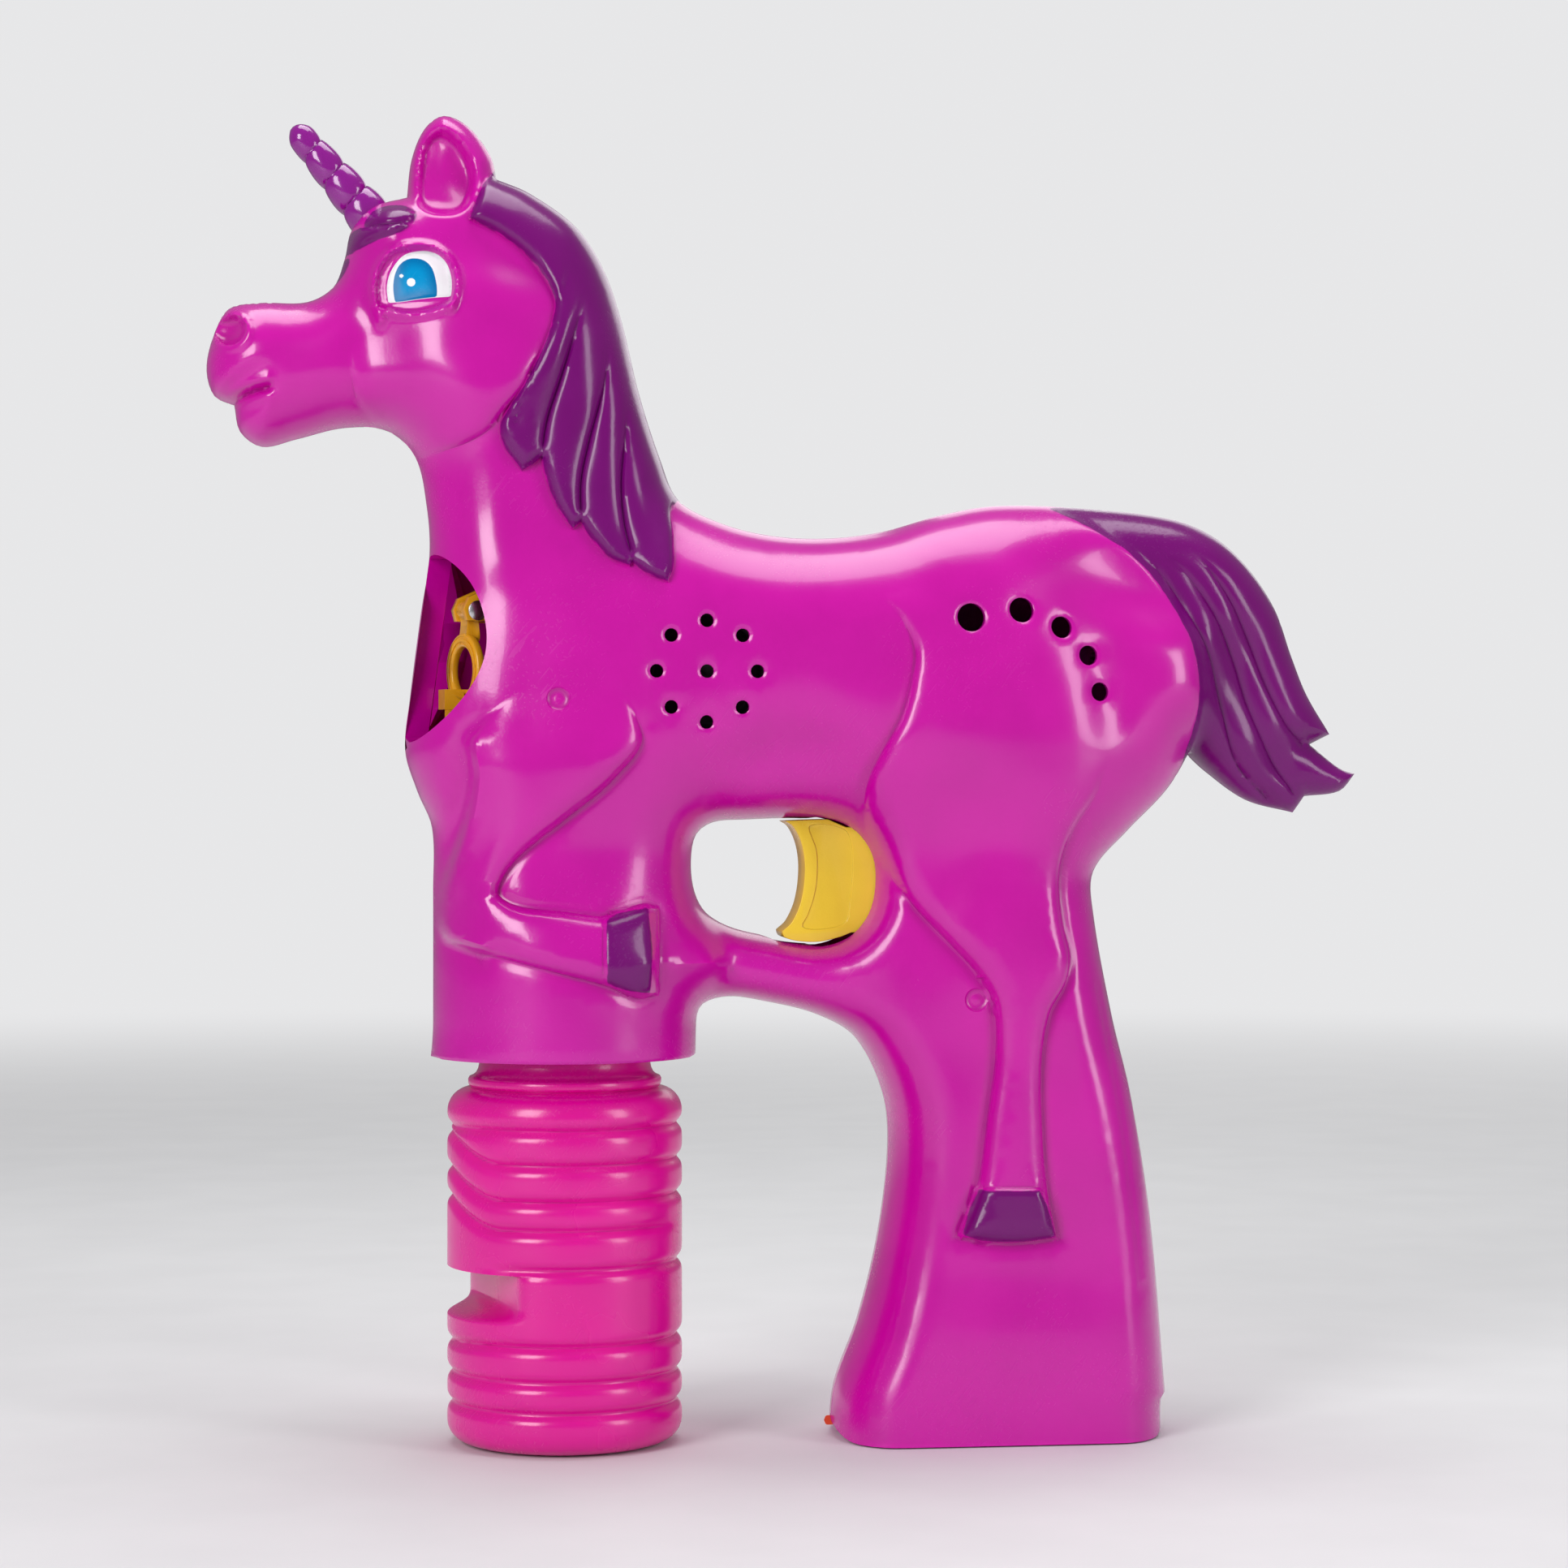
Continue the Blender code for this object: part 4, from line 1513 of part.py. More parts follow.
def pump_gear():
    """Gear of the pump with the shaft that carries the rotor."""
    phase = IDLER_ANGLE - math.pi / WHEEL_TEETH
    made = gear("pump_gear", WHEEL_TEETH, phase, PUMP_GEAR_X, PUMP_GEAR_BACK_X, AXIS_Y, AXIS_Z, white())
    end = PUMP_FRONT_X + PUMP_WALL + PUMP_DEPTH
    fuse(made, [rod("shaft", (PUMP_GEAR_BACK_X - GEAR_WIDTH / 3, AXIS_Y, AXIS_Z), (end, AXIS_Y, AXIS_Z),
                    PUMP_SHAFT_RADIUS)])
    return centre_on(made, (PUMP_GEAR_X, AXIS_Y, AXIS_Z))


def pump_rotor():
    """Three rollers on a disc that press the hose along."""
    front = PUMP_FRONT_X + PUMP_WALL + CLEARANCE
    back = front + PUMP_DEPTH - 3 * CLEARANCE
    made = rod("pump_rotor", (front, 0, 0), (back, 0, 0), ROLLER_CIRCLE,
               finish("rotor_grey", (0.3, 0.3, 0.32), 0.4), 14)
    rollers = []
    for step in range(3):
        angle = math.radians(90 + 120 * step)
        place = (ROLLER_CIRCLE * math.cos(angle), ROLLER_CIRCLE * math.sin(angle))
        rollers.append(rod("roller", (front + CLEARANCE, *place), (back - CLEARANCE, *place), ROLLER_RADIUS,
                           segments=8))
    fuse(made, rollers)
    carve(made, [rod("shaft_way", (front - OVERCUT, 0, 0), (back + OVERCUT, 0, 0),
                     PUMP_SHAFT_RADIUS + CLEARANCE)])
    made.data.transform(Matrix.Translation((0, AXIS_Y, AXIS_Z)))
    return centre_on(made, (front, AXIS_Y, AXIS_Z))


def pump_housing():
    """Cup behind the gear frame whose lower half holds the hose against the rollers."""
    back = PUMP_FRONT_X + PUMP_WALL + PUMP_DEPTH
    bore = PUMP_SHAFT_RADIUS + CLEARANCE
    floor = PUMP_FRONT_X + PUMP_WALL
    profile = [(bore, PUMP_FRONT_X), (PUMP_RADIUS, PUMP_FRONT_X), (PUMP_RADIUS, back), (PUMP_BORE, back),
               (PUMP_BORE, floor), (bore, floor)]
    made = turned("pump_housing", profile, white(), (0, AXIS_Y, AXIS_Z), (1, 0, 0), 24)
    return carve(made, [box("open_top", (floor, -FAR_SIDE, AXIS_Z + OVERCUT),
                            (back + OVERCUT, FAR_SIDE, AXIS_Z + FAR_SIDE))])


def frame_corners():
    """Lower and upper corner of the gear frame's plates, as y and z."""
    low = (IDLER_Y - FRAME_MARGIN, IDLER_Z - FRAME_MARGIN)
    high = (AXIS_Y + FRAME_MARGIN + SHAFT_RADIUS, AXIS_Z + FRAME_MARGIN)
    return low, high


def gear_frame():
    """Two plates on two pillars, behind the motor."""
    low, high = frame_corners()
    made = box("gear_frame", (FRAME_FRONT_X, *low), (FRAME_FRONT_X + FRAME_PLATE, *high), white())
    pillar_x = FRAME_FRONT_X + FRAME_PLATE * 0.5, FRAME_BACK_X + FRAME_PLATE * 0.5
    corner = PILLAR_RADIUS
    parts = [box("plate", (FRAME_BACK_X, *low), (FRAME_BACK_X + FRAME_PLATE, *high))]
    for y, z in ((low[0] + corner, high[1] - corner), (high[0] - corner, low[1] + corner)):
        parts.append(rod("pillar", (pillar_x[0], y, z), (pillar_x[1], y, z), corner, segments=8))
    for part in parts:
        fuse(made, [part])
    front = FRAME_FRONT_X - OVERCUT
    back = FRAME_BACK_X + FRAME_PLATE + OVERCUT
    return carve(made, [
        rod("shaft_way", (front, AXIS_Y, AXIS_Z), (back, AXIS_Y, AXIS_Z), PUMP_SHAFT_RADIUS + CLEARANCE),
        rod("pin_way", (front, IDLER_Y, IDLER_Z), (back, IDLER_Y, IDLER_Z), SHAFT_RADIUS + CLEARANCE,
            segments=12)])


def solution_hose():
    """One hose from the socket, over the blower, round the pump and forward to the wand."""
    low = AXIS_Y - HOSE_CIRCLE
    high = AXIS_Y + HOSE_CIRCLE
    route = [(DIP_TUBE_X, DIP_TUBE_Y, SOCKET_TOP_Z + NIPPLE_HEIGHT + CLEARANCE),
             (DIP_TUBE_X, DIP_TUBE_Y, HOSE_START_Z), *HOSE_CLIMB]
    route += [(x, y, AXIS_Z + rise) for x, y, rise in HOSE_OUT]
    route += [(HOSE_TURN_X, low, AXIS_Z + HOSE_TURN_RISE), (HOSE_X, low, AXIS_Z + HOSE_DROP_RISE),
              (HOSE_X, low, AXIS_Z)]
    for step in range(1, 9):
        angle = math.pi * step / 9
        route.append((HOSE_X, AXIS_Y - HOSE_CIRCLE * math.cos(angle), AXIS_Z - HOSE_CIRCLE * math.sin(angle)))
    route += [(HOSE_X, high, AXIS_Z), (HOSE_X, high, AXIS_Z + HOSE_RETURN_RISE[0]),
              (HOSE_TURN_X, high - HOSE_RETURN_INSET, AXIS_Z + HOSE_RETURN_RISE[1])]
    route += [(x, y, AXIS_Z + rise) for x, y, rise in HOSE_BACK]
    return tube_on("solution_hose", smooth_route(route, 2), HOSE_RADIUS, rubber(), 1)


def smooth_route(points, steps):
    """Points of a smooth open curve through the route."""
    points = [np.array(point) for point in points]
    result = []
    for index in range(len(points) - 1):
        before = points[max(index - 1, 0)]
        after = points[min(index + 2, len(points) - 1)]
        result += list(curve_span(before, points[index], points[index + 1], after, steps))
    result.append(points[-1])
    return result


# Trigger group

def trigger():
    outline = [*TRIGGER_FRONT, (TRIGGER_SHANK_X, TRIGGER_LOW_Z), (TRIGGER_BACK_X, TRIGGER_LOW_Z),
               (TRIGGER_BACK_X, TRIGGER_HIGH_Z), (TRIGGER_SHANK_X, TRIGGER_HIGH_Z)]
    made = prism("trigger", outline, -TRIGGER_WIDTH / 2, TRIGGER_WIDTH / 2, "xz", yellow())
    return centre_on(made, (TRIGGER_BACK_X, 0, SPRING_Z))


def link_fork():
    """Place of the link's fork: the crank pin's end, in the toy's own axes."""
    return wand_frame() @ Vector((0, FORK_REACH, CRANK_PIN_Z))


def trigger_link():
    """Flat bar from the trigger, under the blower, to the fork that moves the wand."""
    fork = link_fork()
    gap = CRANK_PIN_RADIUS / math.cos(MUZZLE_TURN) + THREAD_CLEARANCE
    gap += LINK_THICKNESS / 2 * math.tan(MUZZLE_TURN)
    front = fork.x - gap - FORK_ARM
    rear = fork.x + gap + FORK_ARM
    top = CRANK_PIN_Z + FORK_RISE
    foot_z = TRIGGER_HIGH_Z + CLEARANCE
    slot_z = CRANK_PIN_Z - CRANK_PIN_RADIUS - FORK_FLOOR
    outline = (
        (front, top), (front, LINK_LOW_Z + LINK_CORNER), (front + LINK_CORNER, LINK_LOW_Z),
        (TRIGGER_BACK_X - LINK_WIDTH, LINK_LOW_Z), (TRIGGER_BACK_X - LINK_WIDTH, foot_z),
        (TRIGGER_BACK_X, foot_z), (TRIGGER_BACK_X, LINK_HIGH_Z), (rear + LINK_BRACE, LINK_HIGH_Z),
        (rear, LINK_HIGH_Z + LINK_BRACE), (rear, top), (fork.x + gap, top), (fork.x + gap, slot_z),
        (fork.x - gap, slot_z), (fork.x - gap, top))
    made = prism("trigger_link", outline, LINK_Y - LINK_THICKNESS / 2, LINK_Y + LINK_THICKNESS / 2, "xz",
                 yellow())
    return centre_on(made, (TRIGGER_BACK_X, 0, SPRING_Z))


def trigger_spring():
    """Compression spring between the trigger and its post."""
    start = TRIGGER_BACK_X + CLEARANCE + SPRING_WIRE
    length = SPRING_LENGTH - 2 * SPRING_WIRE
    steps = SPRING_TURNS * 8
    points = []
    for step in range(steps + 1):
        angle = 2 * math.pi * SPRING_TURNS * step / steps
        points.append((start + length * step / steps, SPRING_RADIUS * math.cos(angle),
                       SPRING_Z + SPRING_RADIUS * math.sin(angle)))
    print("least gap between the spring's turns, mm:",
          round(1000 * (length / SPRING_TURNS - 2 * SPRING_WIRE), 2))
    return tube_on("trigger_spring", points, SPRING_WIRE, steel(), 0)


def switch_back_x():
    return TRIGGER_BACK_X + TRIGGER_TRAVEL + 2 * CLEARANCE + SWITCH_LENGTH


def trigger_switch():
    back = switch_back_x()
    front = back - SWITCH_LENGTH + PLUNGER_LENGTH
    middle = (SWITCH_LOW_Z + SWITCH_HIGH_Z) / 2
    made = box("trigger_switch", (front, -SWITCH_HALF_WIDTH, SWITCH_LOW_Z), (back, SWITCH_HALF_WIDTH,
                                                                            SWITCH_HIGH_Z),
               finish("switch_black", (0.03, 0.03, 0.03), 0.5))
    return fuse(made, [box("plunger", (back - SWITCH_LENGTH, -PLUNGER_HALF, middle - PLUNGER_HALF),
                           (front + PLUNGER_OVERLAP, PLUNGER_HALF, middle + PLUNGER_HALF))])


# Batteries, door and sound

def cell_places():
    return [CELL_MIDDLE_X + CELL_PITCH * step for step in (-1, 0, 1)]


def batteries():
    made = []
    for index, x in enumerate(cell_places()):
        nub = CELL_LENGTH - CELL_NUB
        profile = [(0, 0), (CELL_RADIUS, 0), (CELL_RADIUS, nub), (CELL_NUB_RADIUS, nub),
                   (CELL_NUB_RADIUS, CELL_LENGTH), (0, CELL_LENGTH)]
        made.append(turned(f"battery_{index + 1}", profile,
                           finish("battery_grey", (0.35, 0.36, 0.38), 0.35, 0.6),
                           (x, 0, CELL_LOW_Z), segments=14))
    return made


def contact_plate():
    reach = CELL_PITCH + CELL_RADIUS - CLEARANCE
    low = CELL_TOP_Z + CLEARANCE
    return box("contact_plate", (CELL_MIDDLE_X - reach, -CONTACT_HALF_WIDTH, low),
               (CELL_MIDDLE_X + reach, CONTACT_HALF_WIDTH, low + CONTACT_THICKNESS), steel())


def battery_door():
    made = box("battery_door", (DOOR_FRONT_X, -DOOR_HALF_WIDTH, DOOR_LOW_Z),
               (DOOR_REAR_X, DOOR_HALF_WIDTH, DOOR_TOP_Z),
               magenta())
    carve(made, [rod("screw_way", (DOOR_SCREW_X, 0, -OVERCUT), (DOOR_SCREW_X, 0, DOOR_TOP_Z + OVERCUT),
                     SCREW_RADIUS + CLEARANCE, segments=12),
                 rod("head_way", (DOOR_SCREW_X, 0, -OVERCUT),
                     (DOOR_SCREW_X, 0, DOOR_LOW_Z + DOOR_THICKNESS * 0.55),
                     SCREW_HEAD_RADIUS + CLEARANCE)])
    return centre_on(made, (DOOR_SCREW_X, 0, DOOR_LOW_Z))


def door_contacts():
    reach = CELL_PITCH + CELL_RADIUS - DOOR_CONTACT_INSET
    low = DOOR_TOP_Z + CLEARANCE
    made = box("door_contacts", (CELL_MIDDLE_X - reach, -DOOR_CONTACT_HALF_WIDTH, low),
               (CELL_MIDDLE_X + reach, DOOR_CONTACT_HALF_WIDTH, low + CONTACT_THICKNESS), steel())
    return centre_on(made, (DOOR_SCREW_X, 0, DOOR_LOW_Z))


def battery_springs():
    made = []
    low = DOOR_TOP_Z + 2 * CLEARANCE + CONTACT_THICKNESS + SPRING_WIRE
    high = CELL_LOW_Z - CLEARANCE - SPRING_WIRE
    turns = CELL_SPRING_TURNS
    steps = turns * 8
    for index, x in enumerate(cell_places()):
        points = []
        for step in range(steps + 1):
            angle = 2 * math.pi * turns * step / steps
            reach = CELL_SPRING_WIDE + (CELL_SPRING_NARROW - CELL_SPRING_WIDE) * step / steps
            points.append((x + reach * math.cos(angle), reach * math.sin(angle),
                           low + (high - low) * step / steps))
        made.append(tube_on(f"battery_spring_{index + 1}", points, SPRING_WIRE, steel(), 0))
    return made


def screw(name, head, tip, segments=8):
    """Cross-head screw from the outside of its head to its tip."""
    head = Vector(head)
    tip = Vector(tip)
    length = (tip - head).length
    profile = [(0, 0), (SCREW_HEAD_RADIUS, 0), (SCREW_HEAD_RADIUS, SCREW_HEAD * 0.6),
               (SCREW_RADIUS, SCREW_HEAD),
               (SCREW_RADIUS, length - SCREW_POINT), (SCREW_POINT_RADIUS, length), (0, length)]
    return turned(name, profile, steel(), head, tip - head, segments)


def case_screws():
    return [screw(f"case_screw_{index + 1}", (x, SCREW_HEAD_Y + CLEARANCE + SCREW_HEAD, z),
                  (x, SCREW_TIP_Y, z))
            for index, (x, z) in enumerate(SCREW_PLACES)]


def door_screw():
    low = DOOR_LOW_Z + DOOR_THICKNESS * 0.55 - CLEARANCE
    head = low - DOOR_SCREW_HEAD
    profile = [(0, head), (SCREW_HEAD_RADIUS, head), (SCREW_HEAD_RADIUS, low), (SCREW_RADIUS, low),
               (SCREW_RADIUS, DOOR_SCREW_TOP_Z - SCREW_POINT / 2), (0, DOOR_SCREW_TOP_Z)]
    made = turned("door_screw", profile, steel(), (DOOR_SCREW_X, 0, 0), segments=8)
    return centre_on(made, (DOOR_SCREW_X, 0, DOOR_LOW_Z))


def pull_tab():
    """Red strip that keeps the batteries off until it is pulled out of the grip's seam."""
    made = box("pull_tab", (TAB_FRONT_X, -TAB_HALF_THICKNESS, TAB_LOW_Z),
               (DOOR_FRONT_X - CLEARANCE, TAB_HALF_THICKNESS, TAB_HIGH_Z),
               finish("tab_red", (0.80, 0.07, 0.02), 0.45))
    return centre_on(made, (DOOR_FRONT_X, 0, (TAB_LOW_Z + TAB_HIGH_Z) / 2))


def speaker():
    low = SPEAKER_FACE_Y
    profile = [(0, 0.0012), (SPEAKER_RADIUS * 0.75, 0.0), (SPEAKER_RADIUS, 0.0), (SPEAKER_RADIUS, 0.0018),
               (SPEAKER_RADIUS * 0.62, 0.0026), (SPEAKER_RADIUS * 0.62, SPEAKER_DEPTH), (0, SPEAKER_DEPTH)]
    return turned("speaker", profile, finish("speaker_black", (0.04, 0.04, 0.045), 0.5),
                  (SPEAKER_X, low, SPEAKER_Z),
                  (0, 1, 0), 18)


def sound_board():
    made = box("sound_board", (BOARD_LOW[0], BOARD_Y, BOARD_LOW[1]),
               (BOARD_HIGH[0], BOARD_Y + BOARD_THICKNESS, BOARD_HIGH[1]),
               finish("board_green", (0.02, 0.20, 0.07), 0.4))
    middle = ((BOARD_LOW[0] + BOARD_HIGH[0]) / 2, (BOARD_LOW[1] + BOARD_HIGH[1]) / 2)
    low, high = BOARD_Y - CHIP_HEIGHT, BOARD_Y + CHIP_OVERLAP
    chip = rod("chip", (middle[0], low, middle[1]), (middle[0], high, middle[1]), CHIP_RADIUS)
    return fuse(made, [chip])


def build():
    clear_scene()
    casing_half("left_casing", -1)
    casing_half("right_casing", 1)
    horn()
    bottle()
    bottle_socket()
    bottle_seal()
    dip_tube()
    drip_funnel()
    bubble_wand()
    pivot_pin()
    air_nozzle()
    fan_housing()
    fan()
    motor()
    motor_shaft()
    motor_pinion()
    idler_gear()
    idler_pin()
    pump_gear()
    pump_rotor()
    pump_housing()
    gear_frame()
    solution_hose()
    trigger()
    trigger_link()
    trigger_spring()
    trigger_switch()
    batteries()
    contact_plate()
    battery_door()
    door_contacts()
    battery_springs()
    case_screws()
    door_screw()
    pull_tab()
    speaker()
    sound_board()
    for item in bpy.data.objects:
        item.location.x -= DRAWN_MIDDLE_X


build()
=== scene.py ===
"""Looks of the unicorn bubble blower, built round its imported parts. Lengths are in metres unless noted."""
import math

import bmesh
import bpy
import numpy as np
from mathutils import Matrix, Vector
from mathutils.geometry import delaunay_2d_cdt


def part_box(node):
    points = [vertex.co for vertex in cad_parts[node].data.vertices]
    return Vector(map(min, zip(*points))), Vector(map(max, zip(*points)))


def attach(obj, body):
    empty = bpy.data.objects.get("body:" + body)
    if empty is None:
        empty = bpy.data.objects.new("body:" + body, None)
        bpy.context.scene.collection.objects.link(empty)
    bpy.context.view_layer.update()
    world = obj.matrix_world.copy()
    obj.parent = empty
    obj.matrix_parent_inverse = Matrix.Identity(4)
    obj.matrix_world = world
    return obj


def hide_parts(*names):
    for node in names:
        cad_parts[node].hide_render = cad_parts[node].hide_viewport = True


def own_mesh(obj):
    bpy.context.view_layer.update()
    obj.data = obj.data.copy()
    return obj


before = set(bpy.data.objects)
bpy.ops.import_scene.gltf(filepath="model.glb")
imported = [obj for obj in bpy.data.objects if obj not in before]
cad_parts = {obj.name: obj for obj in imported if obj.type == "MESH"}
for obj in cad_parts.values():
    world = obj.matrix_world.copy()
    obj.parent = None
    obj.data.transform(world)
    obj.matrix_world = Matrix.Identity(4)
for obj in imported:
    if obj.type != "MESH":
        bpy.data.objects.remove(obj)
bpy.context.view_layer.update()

# Sizes of the casing and its neighbours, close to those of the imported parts. Pieces are drawn round
# DRAWN_MIDDLE_X and moved to the frame's origin when they are dressed.
DRAWN_MIDDLE_X = 0.0020
WALL = 0.0020
PARTING_Y = 0.00015
BOTTLE_X = -0.0418
BOTTLE_RADIUS = 0.0225
COLLAR_RADIUS = 0.0252
COLLAR_BOTTOM_Z = 0.0736
NECK_RADIUS = 0.0164
NECK_TOP_Z = 0.0910
GRIP_CORNER = 0.0040
MUZZLE_TURN = math.radians(15.5)
MUZZLE_RADIUS = 0.0178
MUZZLE_Z = 0.1513
MUZZLE_SHIFT = -0.0029
WAND_X = -0.0600
RING_Z = 0.1473
PIVOT_Z = 0.1586
CRANK_PIN_Z = 0.1377
RING_TURN = math.radians(8.0)
SLOT_HALF = 0.0056
SLOT_FRONT_X = -0.0025
SLOT_BACK_X = 0.0300
SLOT_LOW_Z = 0.0934
SLOT_HIGH_Z = 0.1200
SCREW_SEAT_Y = 0.0062
DOOR_SCREW_X = 0.0190
CELL_PLACES = (0.03045, 0.0452, 0.05995)
SPEAKER_CENTRE = (-0.0166, 0.1467)
TENTHS = 10000  # of a millimetre, in a metre

# Curves are listed in tenths of a millimetre, x and z in the side view; single places are in metres. A third
# value of 1 marks a sharp corner. The first is the casing's outline, clockwise from the collar's front.
OUTLINE = (
    (-670, 400), (-670, 800), (-670, 1050), (-672, 1172), (-700, 1242), (-723, 1319), (-714, 1420),
    (-693, 1583), (-677, 1692), (-682, 1785), (-704, 1881), (-756, 1930), (-838, 1935), (-929, 1912),
    (-994, 1897), (-1035, 1925), (-1046, 1975, 1), (-1083, 1992), (-1098, 2039), (-1088, 2097),
    (-1057, 2156), (-998, 2169), (-909, 2172), (-860, 2201), (-838, 2255), (-825, 2310), (-786, 2354),
    (-720, 2374, 1), (-711, 2448), (-686, 2508), (-650, 2532), (-603, 2512), (-559, 2454),
    (-549, 2410, 1), (-486, 2384), (-397, 2321), (-346, 2245), (-310, 2143), (-276, 2002), (-235, 1876),
    (-201, 1802), (-114, 1757), (-19, 1735), (84, 1731), (196, 1745), (307, 1777), (419, 1797),
    (604, 1793), (766, 1775), (850, 1742), (917, 1684), (975, 1600), (1010, 1505), (1040, 1432),
    (1088, 1354, 1), (1048, 1334, 1), (1108, 1287), (1139, 1276, 1), (1108, 1242), (1037, 1232, 1),
    (1014, 1200, 1), (919, 1225), (839, 1281), (802, 1315, 1), (755, 1242), (676, 1162), (609, 1085),
    (609, 1006), (645, 810), (683, 653), (721, 418), (750, 80), (751, 66, 1), (741, 59, 1),
    (743, -250, 1), (98, -250, 1), (100, 64), (152, 221), (190, 378), (210, 543), (201, 653), (147, 763),
    (70, 810), (-35, 837), (-105, 846), (-154, 832), (-166, 800), (-166, 400, 1),
)
WINDOW = (
    (-176, 1108), (-166, 1159), (-133, 1182), (-82, 1187), (60, 1188), (127, 1167), (163, 1123),
    (171, 1069), (158, 1008), (120, 965), (60, 948), (-19, 961), (-98, 980), (-146, 1008), (-169, 1049),
)

# Half depth of the casing and the radius of its rounded edge, in the same tenths: x, z, depth, radius
DEPTHS = (
    (-590, 2090, 208, 172), (-730, 2300, 170, 130), (-1000, 2066, 135, 115), (-1095, 2070, 125, 100),
    (-1000, 1940, 110, 90), (-644, 2460, 80, 60), (-478, 2330, 140, 110), (-510, 1830, 170, 150),
    (-320, 1890, 160, 120), (-600, 1438, 225, 200), (-380, 1438, 242, 200), (-98, 1470, 230, 190),
    (139, 1470, 228, 190), (456, 1390, 248, 210), (690, 1438, 200, 170), (740, 1700, 115, 90),
    (930, 1438, 90, 80), (1060, 1280, 55, 50), (-50, 896, 120, 55), (210, 1060, 150, 60),
    (420, 967, 178, 110), (456, 496, 172, 110), (430, 30, 185, 110), (-19, 1234, 165, 100),
    (-860, 2060, 140, 115),
)
DEPTH_REACH = 0.0090
COLLAR_BLEND_Z = (0.0900, 0.1200)
COLLAR_BLEND_WIDTH = 0.0060

# Raised and sunk shapes of the casing's sides
HIND_LEG = (
    (175, 1609), (204, 1569), (228, 1508), (223, 1453), (204, 1385), (171, 1320), (147, 1262),
    (145, 1204), (174, 1127), (229, 1035), (306, 951), (361, 889), (388, 835), (392, 743), (376, 620),
    (358, 494), (322, 396, 1), (410, 384), (506, 392, 1), (488, 492), (480, 588), (478, 727), (493, 819),
    (523, 876), (532, 926), (518, 988), (510, 1065), (518, 1124), (541, 1183), (580, 1250), (640, 1500),
    (400, 1650),
)
FORE_LEG = (
    (-605, 1348), (-605, 1265), (-620, 1175), (-650, 1085), (-664, 1025), (-660, 985), (-643, 960),
    (-508, 923), (-357, 882), (-296, 857), (-257, 863, 1), (-255, 1023, 1), (-281, 1031), (-357, 1011),
    (-432, 1018), (-523, 1029), (-556, 1054), (-523, 1115), (-432, 1190), (-342, 1265), (-290, 1348),
    (-400, 1480),
)
MANE = (
    (-583, 2381, 1), (-606, 2317, 1), (-557, 2292), (-503, 2253), (-467, 2208), (-447, 2163),
    (-453, 2118), (-473, 2064), (-494, 2021), (-515, 1985), (-536, 1955), (-549, 1925), (-542, 1889),
    (-509, 1843, 1), (-489, 1854), (-473, 1868, 1), (-464, 1830), (-443, 1776), (-415, 1734, 1),
    (-399, 1746, 1), (-379, 1716), (-346, 1681), (-309, 1664, 1), (-304, 1671, 1), (-274, 1649),
    (-239, 1634, 1), (-228, 1663), (-225, 1723), (-220, 1784), (-100, 1850, 1), (-200, 2250, 1),
    (-450, 2550, 1), (-545, 2440, 1),
)
MANE_VALLEYS = (
    ((-418, 2239), (-443, 2136), (-479, 2034), (-527, 1934)),
    ((-385, 2191), (-406, 2119), (-437, 2016), (-462, 1938), (-473, 1868)),
    ((-345, 2109), (-354, 2012), (-385, 1891), (-399, 1819), (-398, 1747)),
    ((-305, 2002), (-314, 1917), (-323, 1821), (-317, 1742), (-302, 1673)),
)
TAIL = (
    (513, 1790, 1), (585, 1750), (657, 1704), (712, 1649), (749, 1587), (777, 1516), (788, 1438),
    (785, 1360), (778, 1305, 1), (850, 1150, 1), (1200, 1150, 1), (1200, 1850, 1),
)
TAIL_VALLEYS = (
    ((649, 1725), (720, 1669), (778, 1585), (821, 1501), (849, 1403), (885, 1298), (957, 1225)),
    ((698, 1715), (773, 1663), (830, 1586), (874, 1495), (906, 1403), (960, 1298), (1007, 1238)),
    ((741, 1735), (805, 1691), (859, 1621), (906, 1530), (942, 1446), (982, 1375), (1024, 1335)),
)
HIND_HOOF = (
    (355, 491, 1), (470, 489, 1), (488, 458), (508, 394, 1), (461, 385), (371, 385), (319, 399, 1),
    (333, 443),
)
FORE_HOOF = (
    (-360, 1010, 1), (-325, 1021), (-272, 1030, 1), (-268, 945), (-271, 863, 1), (-315, 868),
    (-361, 884, 1), (-362, 945),
)
FORELOCKS = (
    ((-801, 2304, 1), (-796, 2321), (-780, 2337), (-753, 2346), (-724, 2342), (-705, 2329, 1),
     (-711, 2310), (-735, 2302), (-765, 2299)),
    ((-846, 2264), (-840, 2286), (-823, 2299), (-792, 2303), (-759, 2305), (-729, 2310), (-709, 2313, 1),
     (-720, 2297), (-747, 2284), (-783, 2274), (-813, 2263), (-830, 2258)),
    ((-862, 2205), (-856, 2234), (-846, 2249), (-831, 2247), (-833, 2234), (-845, 2215)),
)
CHEEK = (
    (-742, 1901, 1), (-718, 1884), (-694, 1878), (-652, 1884), (-610, 1897), (-574, 1918), (-549, 1946),
    (-500, 2010), (-470, 2160), (-600, 2290), (-800, 2240), (-820, 2000),
)
EYE_WHITE = (
    (-757, 2155, 1), (-760, 2181), (-756, 2205), (-745, 2226), (-729, 2243), (-708, 2250), (-684, 2251),
    (-664, 2244), (-649, 2228), (-641, 2204), (-640, 2180), (-642, 2164, 1), (-667, 2163), (-702, 2160),
    (-732, 2156),
)
IRIS = (
    (-744, 2151, 1), (-748, 2180), (-746, 2204), (-737, 2225), (-722, 2236), (-704, 2238), (-688, 2233),
    (-676, 2220), (-669, 2196), (-667, 2175), (-669, 2156, 1),
)
